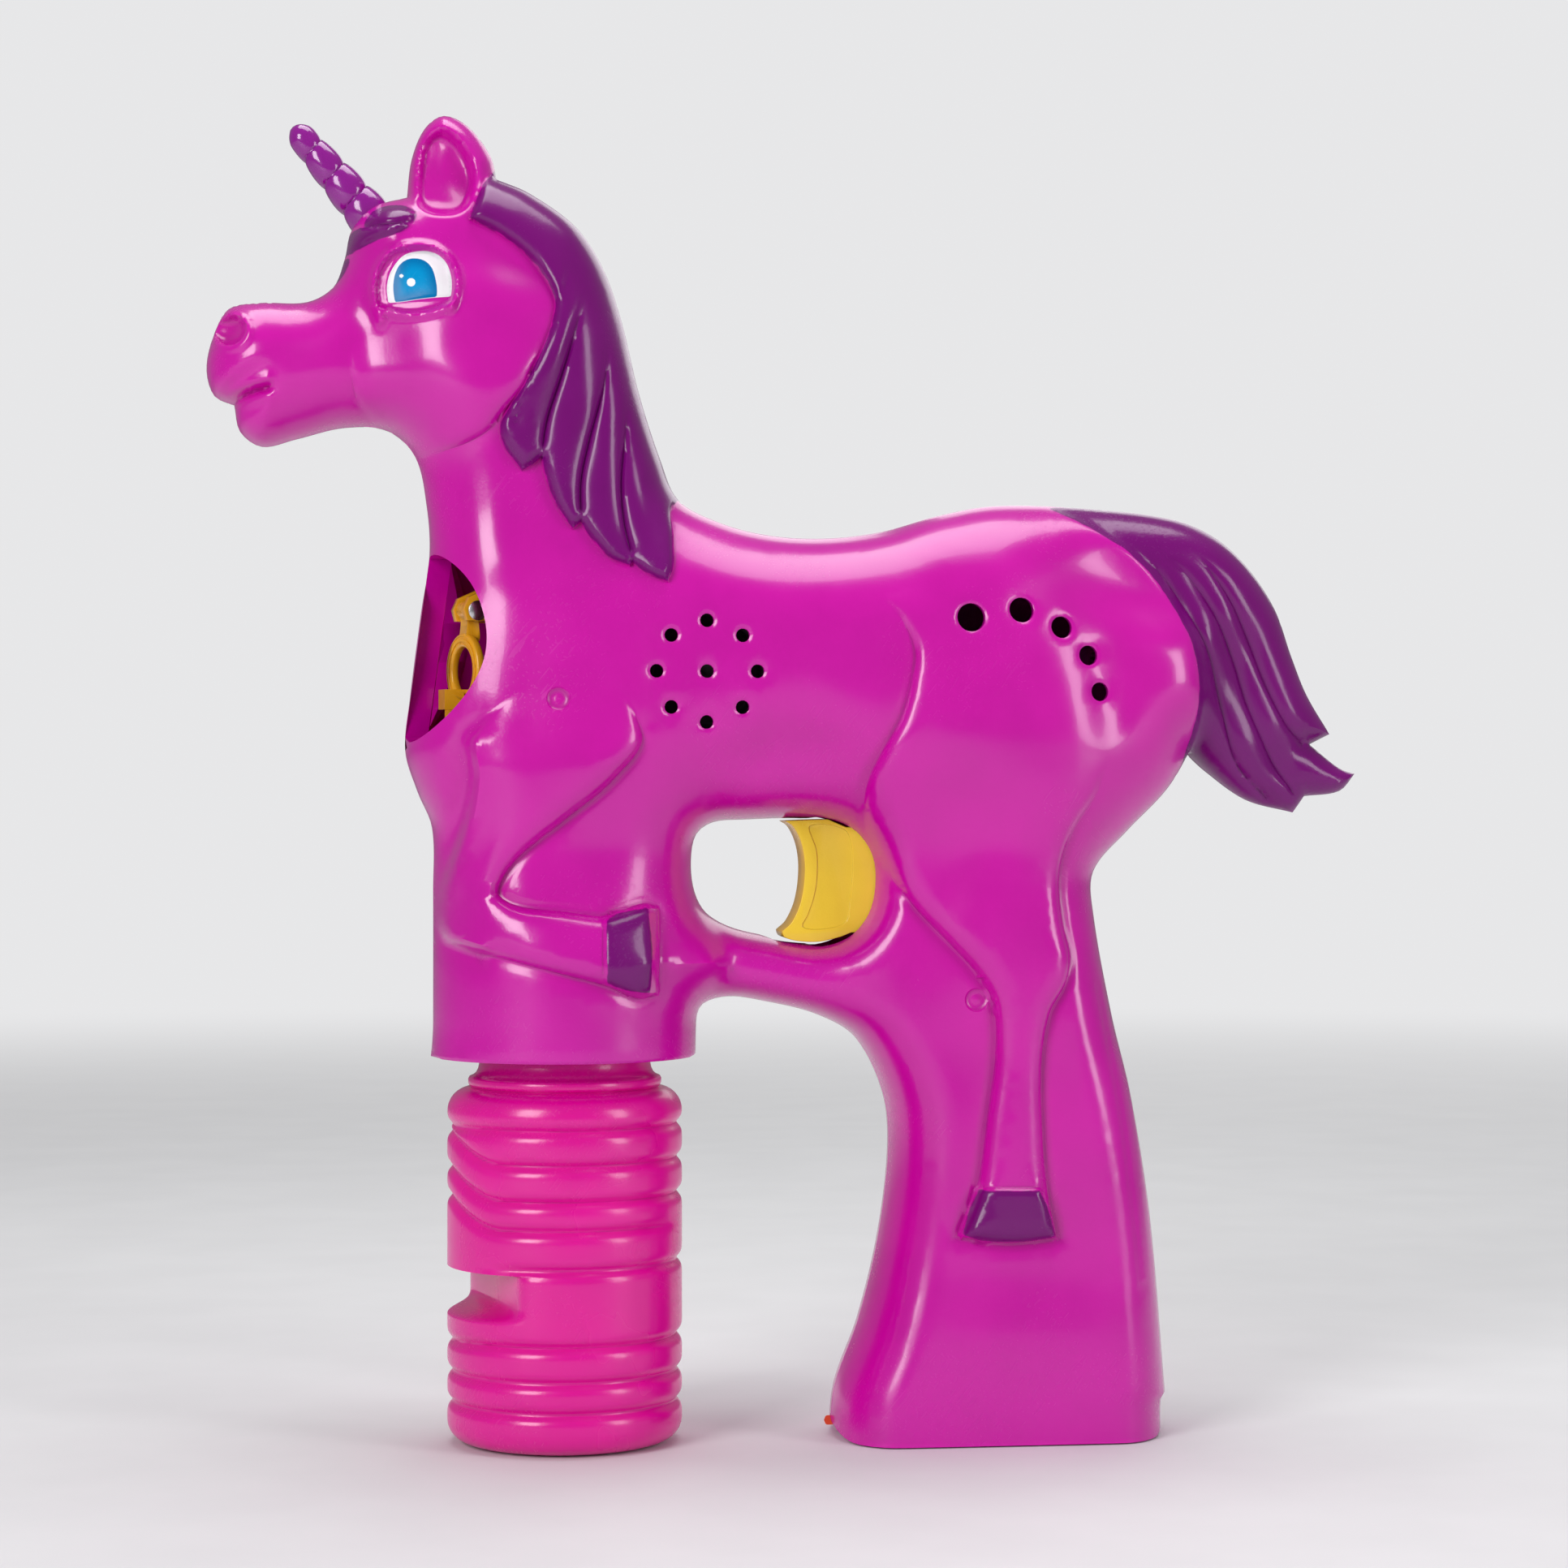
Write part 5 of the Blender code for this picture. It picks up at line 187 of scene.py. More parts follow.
EYE_SPARKS = ((-0.0715, 0.2193, 0.0008), (-0.0733, 0.2205, 0.0004))
EYE_ARCH = (
    (-771, 2122), (-783, 2158), (-785, 2191), (-776, 2222), (-757, 2247), (-730, 2259), (-700, 2263),
    (-671, 2258), (-647, 2241), (-634, 2217), (-630, 2188), (-634, 2158), (-642, 2140),
)
LOWER_LID = (
    (-768, 2141), (-742, 2133), (-706, 2129), (-671, 2134), (-642, 2147),
)
EAR_CUP = (
    (-694, 2462), (-701, 2415), (-703, 2372), (-698, 2343), (-678, 2326), (-642, 2323), (-615, 2335),
    (-600, 2361), (-592, 2398), (-596, 2431), (-612, 2463), (-636, 2488), (-657, 2497), (-678, 2488),
)
NOSTRIL = (-0.1051, 0.2107)
NOSTRIL_RADIUS = 0.0032
MOUTH = (
    (-1062, 1966), (-1043, 1977), (-1027, 1986), (-1003, 1994), (-981, 1998),
)
FACE_VALLEY = (
    (-806, 2160), (-806, 2090), (-795, 2020), (-778, 1960),
)
GRIP_LINE = (
    (596, 870), (618, 753), (642, 610), (660, 461), (676, 300),
)
SOUND_PATCH = ((-0.0284, 0.1360), (-0.0030, 0.1600))
BOSS_MARKS = ((-0.0445, 0.1414), (0.0353, 0.0846))

# Round openings in the casing: x, z, radius
AIR_HOLES = (
    (0.0334, 0.1570, 0.0027), (0.0432, 0.1585, 0.0024), (0.0510, 0.1553, 0.0021),
    (0.0562, 0.1500, 0.0019), (0.0584, 0.1431, 0.0018),
)
SOUND_HOLE_RADIUS = 0.0013
SOUND_HOLE_CIRCLE = 0.0095
SCREW_PLACES = (
    (-0.0660, 0.2120), (-0.0460, 0.1820), (0.0680, 0.1500),
    (0.0353, 0.0846), (0.0185, 0.0170), (-0.0240, 0.1070),
)
SCREW_HOLE_RADIUS = 0.0029

# Fineness of the casing's mesh
BORDER_STEP = 0.0012
RIM_ROWS = (0.00015, 0.0005, 0.0011, 0.0019, 0.0029, 0.0041)
RELIEF_ROWS = (-0.0015, -0.0008, -0.0003, 0.0002, 0.0007, 0.0014, 0.0023)
VALLEY_ROWS = (-0.0023, -0.0013, -0.0006, 0.0, 0.0006, 0.0013, 0.0023)
HOLE_ROWS = (0.0004, 0.0009)
LIP_ROWS = (0.0002, 0.0004, 0.0007)
MARK_ROWS = (0.0, 0.0007, 0.0013, 0.0019, 0.0023, 0.0028, 0.0034, 0.0041)
RIM_GAP = 0.00028
LIP_GAP = 0.00018
HOLE_GAP = 0.0003
RELIEF_GAP = 0.00038
GRID_GAP = 0.62
FINE_STEP = 0.00095
COARSE_STEP = 0.0018
FACE_STEP = 0.0005
FACE_AREAS = (
    ((-0.0735, 0.2305), (-0.0540, 0.2540)), ((-0.0795, 0.2110), (-0.0620, 0.2275)),
    ((-0.1100, 0.2055), (-0.1000, 0.2165)), ((-0.1090, 0.1930), (-0.0965, 0.2025)),
    ((-0.0870, 0.2195), (-0.0690, 0.2360)),
)


# Curves and distances in the side view

def blend(low, high, value):
    share = np.clip((value - low) / (high - low), 0.0, 1.0)
    return share * share * (3 - 2 * share)


def rounded(distance, radius):
    """Quarter round that climbs from 0 at an edge to 1 at the radius."""
    rest = 1.0 - np.clip(distance / radius, 0.0, 1.0)
    return np.sqrt(np.maximum(1.0 - rest * rest, 0.0))


def ridge(distance, width):
    return np.exp(-(distance / width) ** 2)


def columns(*parts):
    """Points from their coordinates: each a row of numbers, or one number for all."""
    return np.stack(np.broadcast_arrays(*parts), axis=-1)


def ring_angles(count):
    return 2 * math.pi * np.arange(count) / count


def curve_span(before, start, end, after, steps):
    reach = max(np.linalg.norm(end - start), 1e-9)
    lead = np.linalg.norm(start - before)
    tail = np.linalg.norm(after - end)
    leave = (end - before) / (reach + lead)
    arrive = (after - start) / (reach + tail)
    share = np.linspace(0.0, 1.0, steps, endpoint=False)[:, None]
    square = share * share
    cube = square * share
    return ((2 * cube - 3 * square + 1) * start + (cube - 2 * square + share) * leave * reach
            + (3 * square - 2 * cube) * end + (cube - square) * arrive * reach)


def smooth_run(points, step, closed=True):
    """Evenly stepped curve through the points, sharp at the marked ones."""
    size = 3 if not closed and len(points[0]) == 3 else 2
    places = [np.array(point[:size]) for point in points]
    corners = [closed and len(point) > 2 for point in points]
    count = len(places)
    result = []
    for index in range(count if closed else count - 1):
        after = (index + 1) % count
        open_start = not closed and index == 0
        open_end = not closed and after == count - 1
        before = places[index] if corners[index] or open_start else places[index - 1]
        beyond = places[after] if corners[after] or open_end else places[(after + 1) % count]
        steps = max(1, int(round(np.linalg.norm(places[after] - places[index]) / step)))
        result.append(curve_span(before, places[index], places[after], beyond, steps))
    if not closed:
        result.append(places[-1][None])
    return np.concatenate(result)


def edge_distance(points, line, closed=True):
    """Distance from each point to a line's nearest edge."""
    ends = np.roll(line, -1, axis=0) if closed else line[1:]
    best = np.full(len(points), np.inf)
    for start, end in zip(line, ends):
        span = end - start
        size = max(span @ span, 1e-18)
        across, up = points[:, 0] - start[0], points[:, 1] - start[1]
        share = np.clip((across * span[0] + up * span[1]) / size, 0.0, 1.0)
        best = np.minimum(best, (across - share * span[0]) ** 2 + (up - share * span[1]) ** 2)
    return np.sqrt(best)


def inside(points, loop):
    result = np.zeros(len(points), dtype=bool)
    for first, second in zip(loop, np.roll(loop, -1, axis=0)):
        if first[1] == second[1]:
            continue
        crosses = (first[1] > points[:, 1]) != (second[1] > points[:, 1])
        share = (points[:, 1] - first[1]) / (second[1] - first[1])
        result ^= crosses & (points[:, 0] < first[0] + share * (second[0] - first[0]))
    return result


def signed_distance(points, loop):
    distance = edge_distance(points, loop)
    return np.where(inside(points, loop), distance, -distance)


def away(points, centre):
    return np.hypot(points[:, 0] - centre[0], points[:, 1] - centre[1])


def normals_of(line, closed=True):
    """Direction across each point of a line."""
    if closed:
        chord = np.roll(line, -1, axis=0) - np.roll(line, 1, axis=0)
    else:
        chord = np.gradient(line, axis=0)
    chord = chord / np.maximum(np.linalg.norm(chord, axis=1), 1e-12)[:, None]
    return columns(chord[:, 1], -chord[:, 0])


def circle(x, z, radius, count):
    angles = ring_angles(count)
    return columns(x + radius * np.cos(angles), z + radius * np.sin(angles))


def traced(points, closed=True, step=0.0008):
    """Curve through points that are listed in tenths of a millimetre."""
    return smooth_run([(x / TENTHS, z / TENTHS, *corner) for x, z, *corner in points], step, closed)


FULL = traced(OUTLINE, step=BORDER_STEP)
WINDOW_LOOP = traced(WINDOW, step=BORDER_STEP)
LEG_LOOPS = traced(HIND_LEG), traced(FORE_LEG)
HOOF_LOOPS = traced(HIND_HOOF), traced(FORE_HOOF)
FORELOCK_LOOPS = [traced(lock) for lock in FORELOCKS]
MANE_LOOP, TAIL_LOOP, CHEEK_LOOP, EYE_LOOP, IRIS_LOOP, EAR_LOOP = (
    traced(loop) for loop in (MANE, TAIL, CHEEK, EYE_WHITE, IRIS, EAR_CUP))
MANE_LINES, TAIL_LINES = ([traced(line, False) for line in lines] for lines in (MANE_VALLEYS, TAIL_VALLEYS))
ARCH_LINE, LID_LINE, VALLEY_LINE, MOUTH_LINE, GRIP_REAR_LINE = (
    traced(line, False) for line in (EYE_ARCH, LOWER_LID, FACE_VALLEY, MOUTH, GRIP_LINE))
SOCKET_LOOP = np.concatenate([ARCH_LINE, LID_LINE[::-1]])

# Raised and sunk lines of the face: line, height, width
FACE_LINES = (
    (ARCH_LINE, 0.0012, 0.0008), (LID_LINE, 0.0007, 0.0008), (MOUTH_LINE, -0.0018, 0.0007),
    (MOUTH_LINE + (0.0, 0.0016), 0.0008, 0.0010), (MOUTH_LINE - (0.0, 0.0017), 0.0005, 0.0011),
    (VALLEY_LINE, -0.0009, 0.0036),
)

# Heights of the other relief
LEG_RISE, LEG_ROUND = 0.0030, 0.0036
SHIN_RIDGE, SHIN_GROOVE = 0.0013, 0.0016
MANE_RISE, MANE_GROOVE = 0.0028, 0.0017
TAIL_DROP, TAIL_GROOVE = 0.0012, 0.0011
LOCK_ROUND = 0.0042
HOOF_RISE = 0.0011
CHEEK_RISE = 0.0017
FORELOCK_RISE = 0.0015
EAR_DEPTH = 0.0042
NOSTRIL_DEPTH = 0.0046
SOCKET_DEPTH, EYE_DEPTH = 0.0008, 0.0003


# The sculpted side of the casing

def depth_and_radius(points):
    anchors = np.array(DEPTHS) / TENTHS
    gap = ((points[:, None, :] - anchors[None, :, :2]) ** 2).sum(axis=2)
    weight = 1.0 / (gap + DEPTH_REACH ** 2) ** 2
    weight /= weight.sum(axis=1)[:, None]
    depth = weight @ anchors[:, 2]
    radius = weight @ anchors[:, 3]
    edge = BOTTLE_X + COLLAR_RADIUS
    collar = 1.0 - blend(*COLLAR_BLEND_Z, points[:, 1])
    collar = collar * (1.0 - blend(edge, edge + COLLAR_BLEND_WIDTH, points[:, 0]))
    return depth + collar * (COLLAR_RADIUS - depth), radius + collar * (COLLAR_RADIUS - radius)


def valleys(points, lines, fall):
    """How deep each point lies in the grooves between locks of hair, 0 to 1."""
    deep = np.zeros(len(points))
    for line in lines:
        top = line[0][1]
        fade = 1.0 - blend(top - fall, top, points[:, 1])
        deep = np.maximum(deep, fade * (1.0 - rounded(edge_distance(points, line, False), LOCK_ROUND)))
    return deep


def head_relief(points):
    """Eye, lids, nostril, mouth, cheek, ear and forelock, as a change of height."""
    rise = sum(height * ridge(edge_distance(points, line, False), width)
               for line, height, width in FACE_LINES)
    rise -= SOCKET_DEPTH * blend(0.0, 0.0011, signed_distance(points, SOCKET_LOOP))
    rise -= EYE_DEPTH * blend(-0.0003, 0.0003, signed_distance(points, EYE_LOOP))
    from_nostril = away(points, NOSTRIL)
    bowl = np.clip(1.0 - (from_nostril / NOSTRIL_RADIUS) ** 2, 0.0, 1.0)
    rise -= NOSTRIL_DEPTH * bowl ** 0.65 * blend(0.0, 0.0007, NOSTRIL_RADIUS - from_nostril)
    rise += 0.0007 * ridge(from_nostril - NOSTRIL_RADIUS - 0.0004, 0.0009)
    jaw = 1.0 - blend(0.1960, 0.2100, points[:, 1])
    rise += CHEEK_RISE * jaw * rounded(signed_distance(points, CHEEK_LOOP), 0.0034)
    cup = signed_distance(points, EAR_LOOP)
    wall = 0.0030 + 0.0024 * blend(0.0600, 0.0690, -points[:, 0])
    rise -= EAR_DEPTH * blend(-0.0007, 0.0015, cup) * rounded(np.maximum(cup, 0.0) + 0.0007, wall)
    locks = [blend(-0.0004, 0.0015, signed_distance(points, lock)) for lock in FORELOCK_LOOPS]
    return rise + FORELOCK_RISE * np.maximum.reduce(locks)


def side_height(points, side):
    """Outer half depth of the casing at points of the side view."""
    edge = np.minimum(edge_distance(points, FULL), edge_distance(points, WINDOW_LOOP))
    edge = np.where(inside(points, FULL) & ~inside(points, WINDOW_LOOP), edge, 0.0)
    depth, radius = depth_and_radius(points)
    height = depth * rounded(edge, radius)
    margin = rounded(edge, 0.4 * radius)
    rise = np.zeros(len(points))
    across, up = points.T
    rear = blend(0.0240, 0.0460, across)
    thigh = 1.0 - 0.4 * blend(0.1250, 0.1500, up) - 0.6 * blend(0.1480, 0.1640, up)
    thigh = thigh + rear * (1.0 - blend(0.1080, 0.1320, up) - thigh)
    for loop, fade in zip(LEG_LOOPS, (thigh, 1.0 - blend(0.1280, 0.1440, up))):
        leg = signed_distance(points, loop)
        rise += fade * (LEG_RISE * rounded(leg, LEG_ROUND) - 0.0004 * ridge(leg + 0.0006, 0.0008))
    shin = fade * (1.0 - blend(-0.0590, -0.0560, across))
    rise += shin * (SHIN_RIDGE * ridge(leg - 0.0013, 0.0014) - SHIN_GROOVE * ridge(leg + 0.0016, 0.0018))
    mane = signed_distance(points, MANE_LOOP)
    rise += MANE_RISE * rounded(mane, 0.0024)
    rise -= MANE_GROOVE * blend(0.0, 0.0030, mane) * valleys(points, MANE_LINES, 0.016)
    tail = signed_distance(points, TAIL_LOOP)
    rise -= TAIL_DROP * blend(-0.0006, 0.0018, tail)
    rise -= TAIL_GROOVE * blend(0.0, 0.0030, tail) * valleys(points, TAIL_LINES, 0.012)
    for loop in HOOF_LOOPS:
        rise += HOOF_RISE * rounded(signed_distance(points, loop), 0.0009)
    rise += head_relief(points)
    rise -= 0.0003 * ridge(edge_distance(points, GRIP_REAR_LINE, False), 0.0005)
    if side < 0:
        low, high = SOUND_PATCH
        within = np.minimum.reduce([across - low[0], high[0] - across, up - low[1], high[1] - up])
        rise -= 0.0002 * blend(-0.0008, 0.0008, within)
        for mark in BOSS_MARKS:
            from_mark = away(points, mark)
            rise -= 0.0007 * rounded(1.0 - from_mark / 0.0022, 0.5) - 0.0003 * ridge(from_mark, 0.0006)
    for x, z, radius in round_holes(side):
        rise -= 0.0004 * ridge(away(points, (x, z)) - radius, 0.0004)
    height = np.maximum(height + margin * rise, 0.4 * height)
    lip = blend(0.0, 0.0007, up - COLLAR_BOTTOM_Z) + (across > 0.0)
    height = height - 0.0004 * (1.0 - np.minimum(lip, 1.0)) ** 2 * rounded(height, 0.0030)
    return np.where(height < PARTING_Y + 0.00002, PARTING_Y, height)


def round_holes(side):
    if side > 0:
        return [(x, z, SCREW_HOLE_RADIUS) for x, z in SCREW_PLACES]
    sound = [SPEAKER_CENTRE, *circle(*SPEAKER_CENTRE, SOUND_HOLE_CIRCLE, 8)]
    return [*AIR_HOLES, *((x, z, SOUND_HOLE_RADIUS) for x, z in sound)]


def inner_height(points, outer, side):
    """Half depth of the hollow, one wall inside the casing, with the trigger's slot and the screw seats."""
    edge = np.minimum(edge_distance(points, FULL), edge_distance(points, WINDOW_LOOP)) - WALL
    depth, radius = depth_and_radius(points)
    hollow = (depth - WALL) * rounded(np.maximum(edge, 0.0), np.maximum(radius - WALL, 0.0020))
    hollow = np.minimum(hollow, outer - 0.0012)
    slot = (points[:, 0] > SLOT_FRONT_X) & (points[:, 0] < SLOT_BACK_X)
    slot &= (points[:, 1] > SLOT_LOW_Z) & (points[:, 1] < SLOT_HIGH_Z)
    hollow = np.where(slot, np.minimum(np.maximum(hollow, SLOT_HALF), outer - 0.0002), hollow)
    if side > 0:
        for place in SCREW_PLACES:
            seat = away(points, place) < SCREW_HOLE_RADIUS + 0.0001
            hollow = np.where(seat, SCREW_SEAT_Y, hollow)
    return np.minimum(np.maximum(hollow, PARTING_Y), outer)


def wand_place(forward, across, up):
    """Place in the drawing of points given along the muzzle's own axes."""
    turn_cos, turn_sin = math.cos(MUZZLE_TURN), math.sin(MUZZLE_TURN)
    return columns(WAND_X + forward * turn_cos - across * turn_sin,
                   forward * turn_sin + across * turn_cos, up)


def muzzle_meeting(angles, radius):
    """How far along the muzzle's axis each straight line of its round wall meets the casing's outside."""
    across = MUZZLE_SHIFT + radius * np.cos(angles)
    up = MUZZLE_Z + radius * np.sin(angles)

    def outside(forward):
        place = wand_place(forward, across, up)
        height = side_height(place[:, (0, 2)], 1)
        return (np.abs(place[:, 1]) > height) | (height <= PARTING_Y)

    forward = np.full(len(angles), -0.030)
    step = 0.0012
    open_yet = np.ones(len(angles), dtype=bool)
    for _ in range(40):
        open_yet &= outside(forward)
        forward = np.where(open_yet, forward + step, forward)
    low, high = forward - step, forward.copy()
    for _ in range(12):
        middle = (low + high) / 2
        clear = outside(middle)
        low, high = np.where(clear, middle, low), np.where(clear, high, middle)
    return high, wand_place(high, across, up)


MUZZLE_STEPS = 220
MUZZLE_ANGLES = -math.pi / 2 + ring_angles(MUZZLE_STEPS)
MUZZLE_FORWARD, MUZZLE_RIM = muzzle_meeting(MUZZLE_ANGLES, MUZZLE_RADIUS)


def muzzle_side(side):
    """Numbers of the rim's points on one side, from the lowest to the highest."""
    own = np.where(MUZZLE_RIM[:, 1] * side > 0)[0]
    if side < 0:
        order = np.argsort((math.pi / 2 - MUZZLE_ANGLES[own] - math.pi) % (2 * math.pi))
    else:
        order = np.argsort((MUZZLE_ANGLES[own] + math.pi / 2 + 0.4) % (2 * math.pi))
    return own[order]


def cut_flat(loop):
    """The side view cut off flat at the collar's and the grip's ends, with the grip's corners rounded."""
    result = []
    count = len(loop)
    for index, point in enumerate(loop):
        after = loop[(index + 1) % count]
        limit = COLLAR_BOTTOM_Z if point[0] < 0.0 else 0.0
        if point[1] >= limit:
            result.append(point)
        if (point[1] >= limit) != (after[1] >= limit):
            share = (limit - point[1]) / (after[1] - point[1])
            result.append(np.array((point[0] + share * (after[0] - point[0]), limit)))
    rounded_off = []
    for point in result:
        if point[0] < 0.0 or point[1] > 1e-9:
            if point[0] < 0.0 or point[1] > GRIP_CORNER * 0.98 or abs(point[0] - 0.043) < 0.028:
                rounded_off.append(point)
            continue
        up = np.array((0.0, 1.0))
        first, last = (up, (-1.0, 0.0)) if point[0] > 0.04 else ((1.0, 0.0), up)
        for share in np.linspace(0.0, 1.0, 9):
            bend = (1 - share) ** 2 * np.array(first) + share ** 2 * np.array(last)
            rounded_off.append(point + GRIP_CORNER * bend)
    loop = np.array(rounded_off)
    result = []
    for index, point in enumerate(loop):
        after = loop[(index + 1) % len(loop)]
        steps = max(1, int(np.linalg.norm(after - point) / (1.6 * BORDER_STEP)))
        for share in np.linspace(0.0, 1.0, steps, endpoint=False):
            result.append(point + share * (after - point))
    return np.array(result)


def casing_border(side):
    """Border of one half in the side view, with the muzzle's opening bitten out of the chest."""
    loop = cut_flat(FULL)
    rim = MUZZLE_RIM[muzzle_side(side)][:, (0, 2)]
    low, high = rim[0][1], rim[-1][1]
    chest = (loop[:, 0] < -0.060) & (loop[:, 1] > low - 0.0006) & (loop[:, 1] < high + 0.0006)
    first = np.where(chest)[0][0]
    last = np.where(chest)[0][-1]
    return np.concatenate([loop[:first], rim, loop[last + 1:]]), rim


def slot_window():
    """The window with its rear edge moved back to where the trigger's slot starts."""
    behind = blend(SLOT_FRONT_X - 0.002, SLOT_FRONT_X + 0.002, WINDOW_LOOP[:, 0])
    outward = normals_of(WINDOW_LOOP)
    if signed_distance(WINDOW_LOOP + 0.0003 * outward, WINDOW_LOOP).mean() > 0:
        outward = -outward
    height = WINDOW_LOOP[:, 1]
    behind = behind * blend(0.0944, 0.0958, height) * (1.0 - blend(0.1174, 0.1188, height))
    behind = np.maximum(behind, blend(0.0040, 0.0070, WINDOW_LOOP[:, 0]))
    return WINDOW_LOOP + outward * (0.00055 * behind)[:, None]


class Sieve:
    """Takes points that keep a gap from those already taken."""

    def __init__(self, cell):
        self.cell = cell
        self.bins = {}

    def add(self, point):
        place = (int(point[0] // self.cell), int(point[1] // self.cell))
        self.bins.setdefault(place, []).append((float(point[0]), float(point[1])))

    def near(self, point, gap):
        reach = int(math.ceil(gap / self.cell))
        across, up = int(point[0] // self.cell), int(point[1] // self.cell)
        for column in range(across - reach, across + reach + 1):
            for row in range(up - reach, up + reach + 1):
                for other in self.bins.get((column, row), ()):
                    if (other[0] - point[0]) ** 2 + (other[1] - point[1]) ** 2 < gap * gap:
                        return True
        return False

    def take(self, points, gap):
        kept = []
        for point in points:
            if not self.near(point, gap):
                self.add(point)
                kept.append(point)
        return kept


def staggered_grid(low, high, step):
    rows = []
    for row, line in enumerate(np.arange(low[1], high[1], step * 0.866)):
        across = np.arange(low[0] + (row % 2) * step / 2, high[0], step)
        rows.append(columns(across, line))
    return np.concatenate(rows)


def casing_points(border, holes, side):
    """Points inside one half: rows along its edges and shapes, then a fine and a coarse grid."""
    rows = []
    for loop in (FULL, WINDOW_LOOP):
        for reach in RIM_ROWS:
            for way in (1, -1):
                row = loop + way * reach * normals_of(loop)
                clear = np.abs(edge_distance(row, loop) - reach) < 0.07 * reach
                rows.append((row[clear], 0.6 * reach if reach < 0.0004 else RIM_GAP))
    rows += [(staggered_grid(low, high, FACE_STEP), GRID_GAP * FACE_STEP) for low, high in FACE_AREAS]
    for reach in LIP_ROWS:
        across = np.arange(BOTTLE_X - COLLAR_RADIUS, BOTTLE_X + COLLAR_RADIUS, COARSE_STEP / 2)
        rows.append((columns(across, COLLAR_BOTTOM_Z + reach), LIP_GAP))
    for x, z, radius in round_holes(side):
        for reach in HOLE_ROWS:
            rows.append((circle(x, z, radius + reach, 16), HOLE_GAP))
    for mark in BOSS_MARKS + (NOSTRIL,):
        for reach in MARK_ROWS:
            rows.append((circle(*mark, reach, 1 if reach == 0.0 else 12 + int(reach * 4000)), HOLE_GAP))
    shapes = (*LEG_LOOPS, MANE_LOOP, TAIL_LOOP, *HOOF_LOOPS, *FORELOCK_LOOPS, CHEEK_LOOP, EYE_LOOP, EAR_LOOP)
    for loop in shapes:
        for reach in RELIEF_ROWS:
            row = loop + reach * normals_of(loop)
            rows.append((row[np.abs(edge_distance(row, loop) - abs(reach)) < 0.00012], RELIEF_GAP))
    for line in (*MANE_LINES, *TAIL_LINES, ARCH_LINE, LID_LINE, MOUTH_LINE, GRIP_REAR_LINE):
        for reach in VALLEY_ROWS:
            rows.append((line + reach * normals_of(line, False), RELIEF_GAP))
    low, high = border.min(axis=0), border.max(axis=0)
    fine = staggered_grid(low, high, FINE_STEP)
    detailed = ((fine[:, 0] < -0.028) & (fine[:, 1] > 0.162)) | inside(fine, TAIL_LOOP)
    rows.append((fine[detailed], GRID_GAP * FINE_STEP))
    rows.append((staggered_grid(low, high, COARSE_STEP), GRID_GAP * COARSE_STEP))
    sieve = Sieve(0.0008)
    for loop in (border, *holes):
        for point in loop:
            sieve.add(point)
    kept = []
    for row, gap in rows:
        clear = inside(row, border)
        for hole in holes:
            clear &= ~inside(row, hole)
        kept += sieve.take(row[clear], gap)
    return np.array(kept)


def fill(border, holes, points):
    """Triangles that fill the border less its holes, through the points."""
    edges = []
    start = 0
    for loop in (border, *holes):
        size = len(loop)
        edges += [(start + index, start + (index + 1) % size) for index in range(size)]
        start += size
    every = np.concatenate([border, *holes, points])
    found = delaunay_2d_cdt([Vector(point) for point in every], edges, [], 0, 1e-8)
    places = np.array([tuple(point) for point in found[0]])
    faces = np.array([face for face in found[2] if len(face) == 3])
    centres = places[faces].mean(axis=1)
    clear = inside(centres, border)
    for hole in holes:
        clear &= ~inside(centres, hole)
    faces = faces[clear]
    first, second, third = (places[faces[:, corner]] for corner in range(3))
    area = np.cross(second - first, third - first)
    faces[area < 0] = faces[area < 0][:, ::-1]
    return places, faces


def paint_fields(places):
    """Distances in millimetres into each painted region, negative outside."""
    purple = signed_distance(places, MANE_LOOP)
    purple = np.maximum(purple, signed_distance(places, TAIL_LOOP))
    for loop in HOOF_LOOPS:
        purple = np.maximum(purple, signed_distance(places, loop) - 0.0004)
    spray = 0.1 * (-0.0704 - places[:, 0])
    for loop in FORELOCK_LOOPS:
        purple = np.maximum(purple, np.minimum(signed_distance(places, loop) + 0.0002, spray))
    white = signed_distance(places, EYE_LOOP)
    iris = np.minimum(signed_distance(places, IRIS_LOOP), white - 0.0001)
    spark = np.maximum.reduce([radius - away(places, (x, z)) for x, z, radius in EYE_SPARKS])
    return {"purple": 1000 * purple, "white": 1000 * white, "iris": 1000 * iris, "spark": 1000 * spark}


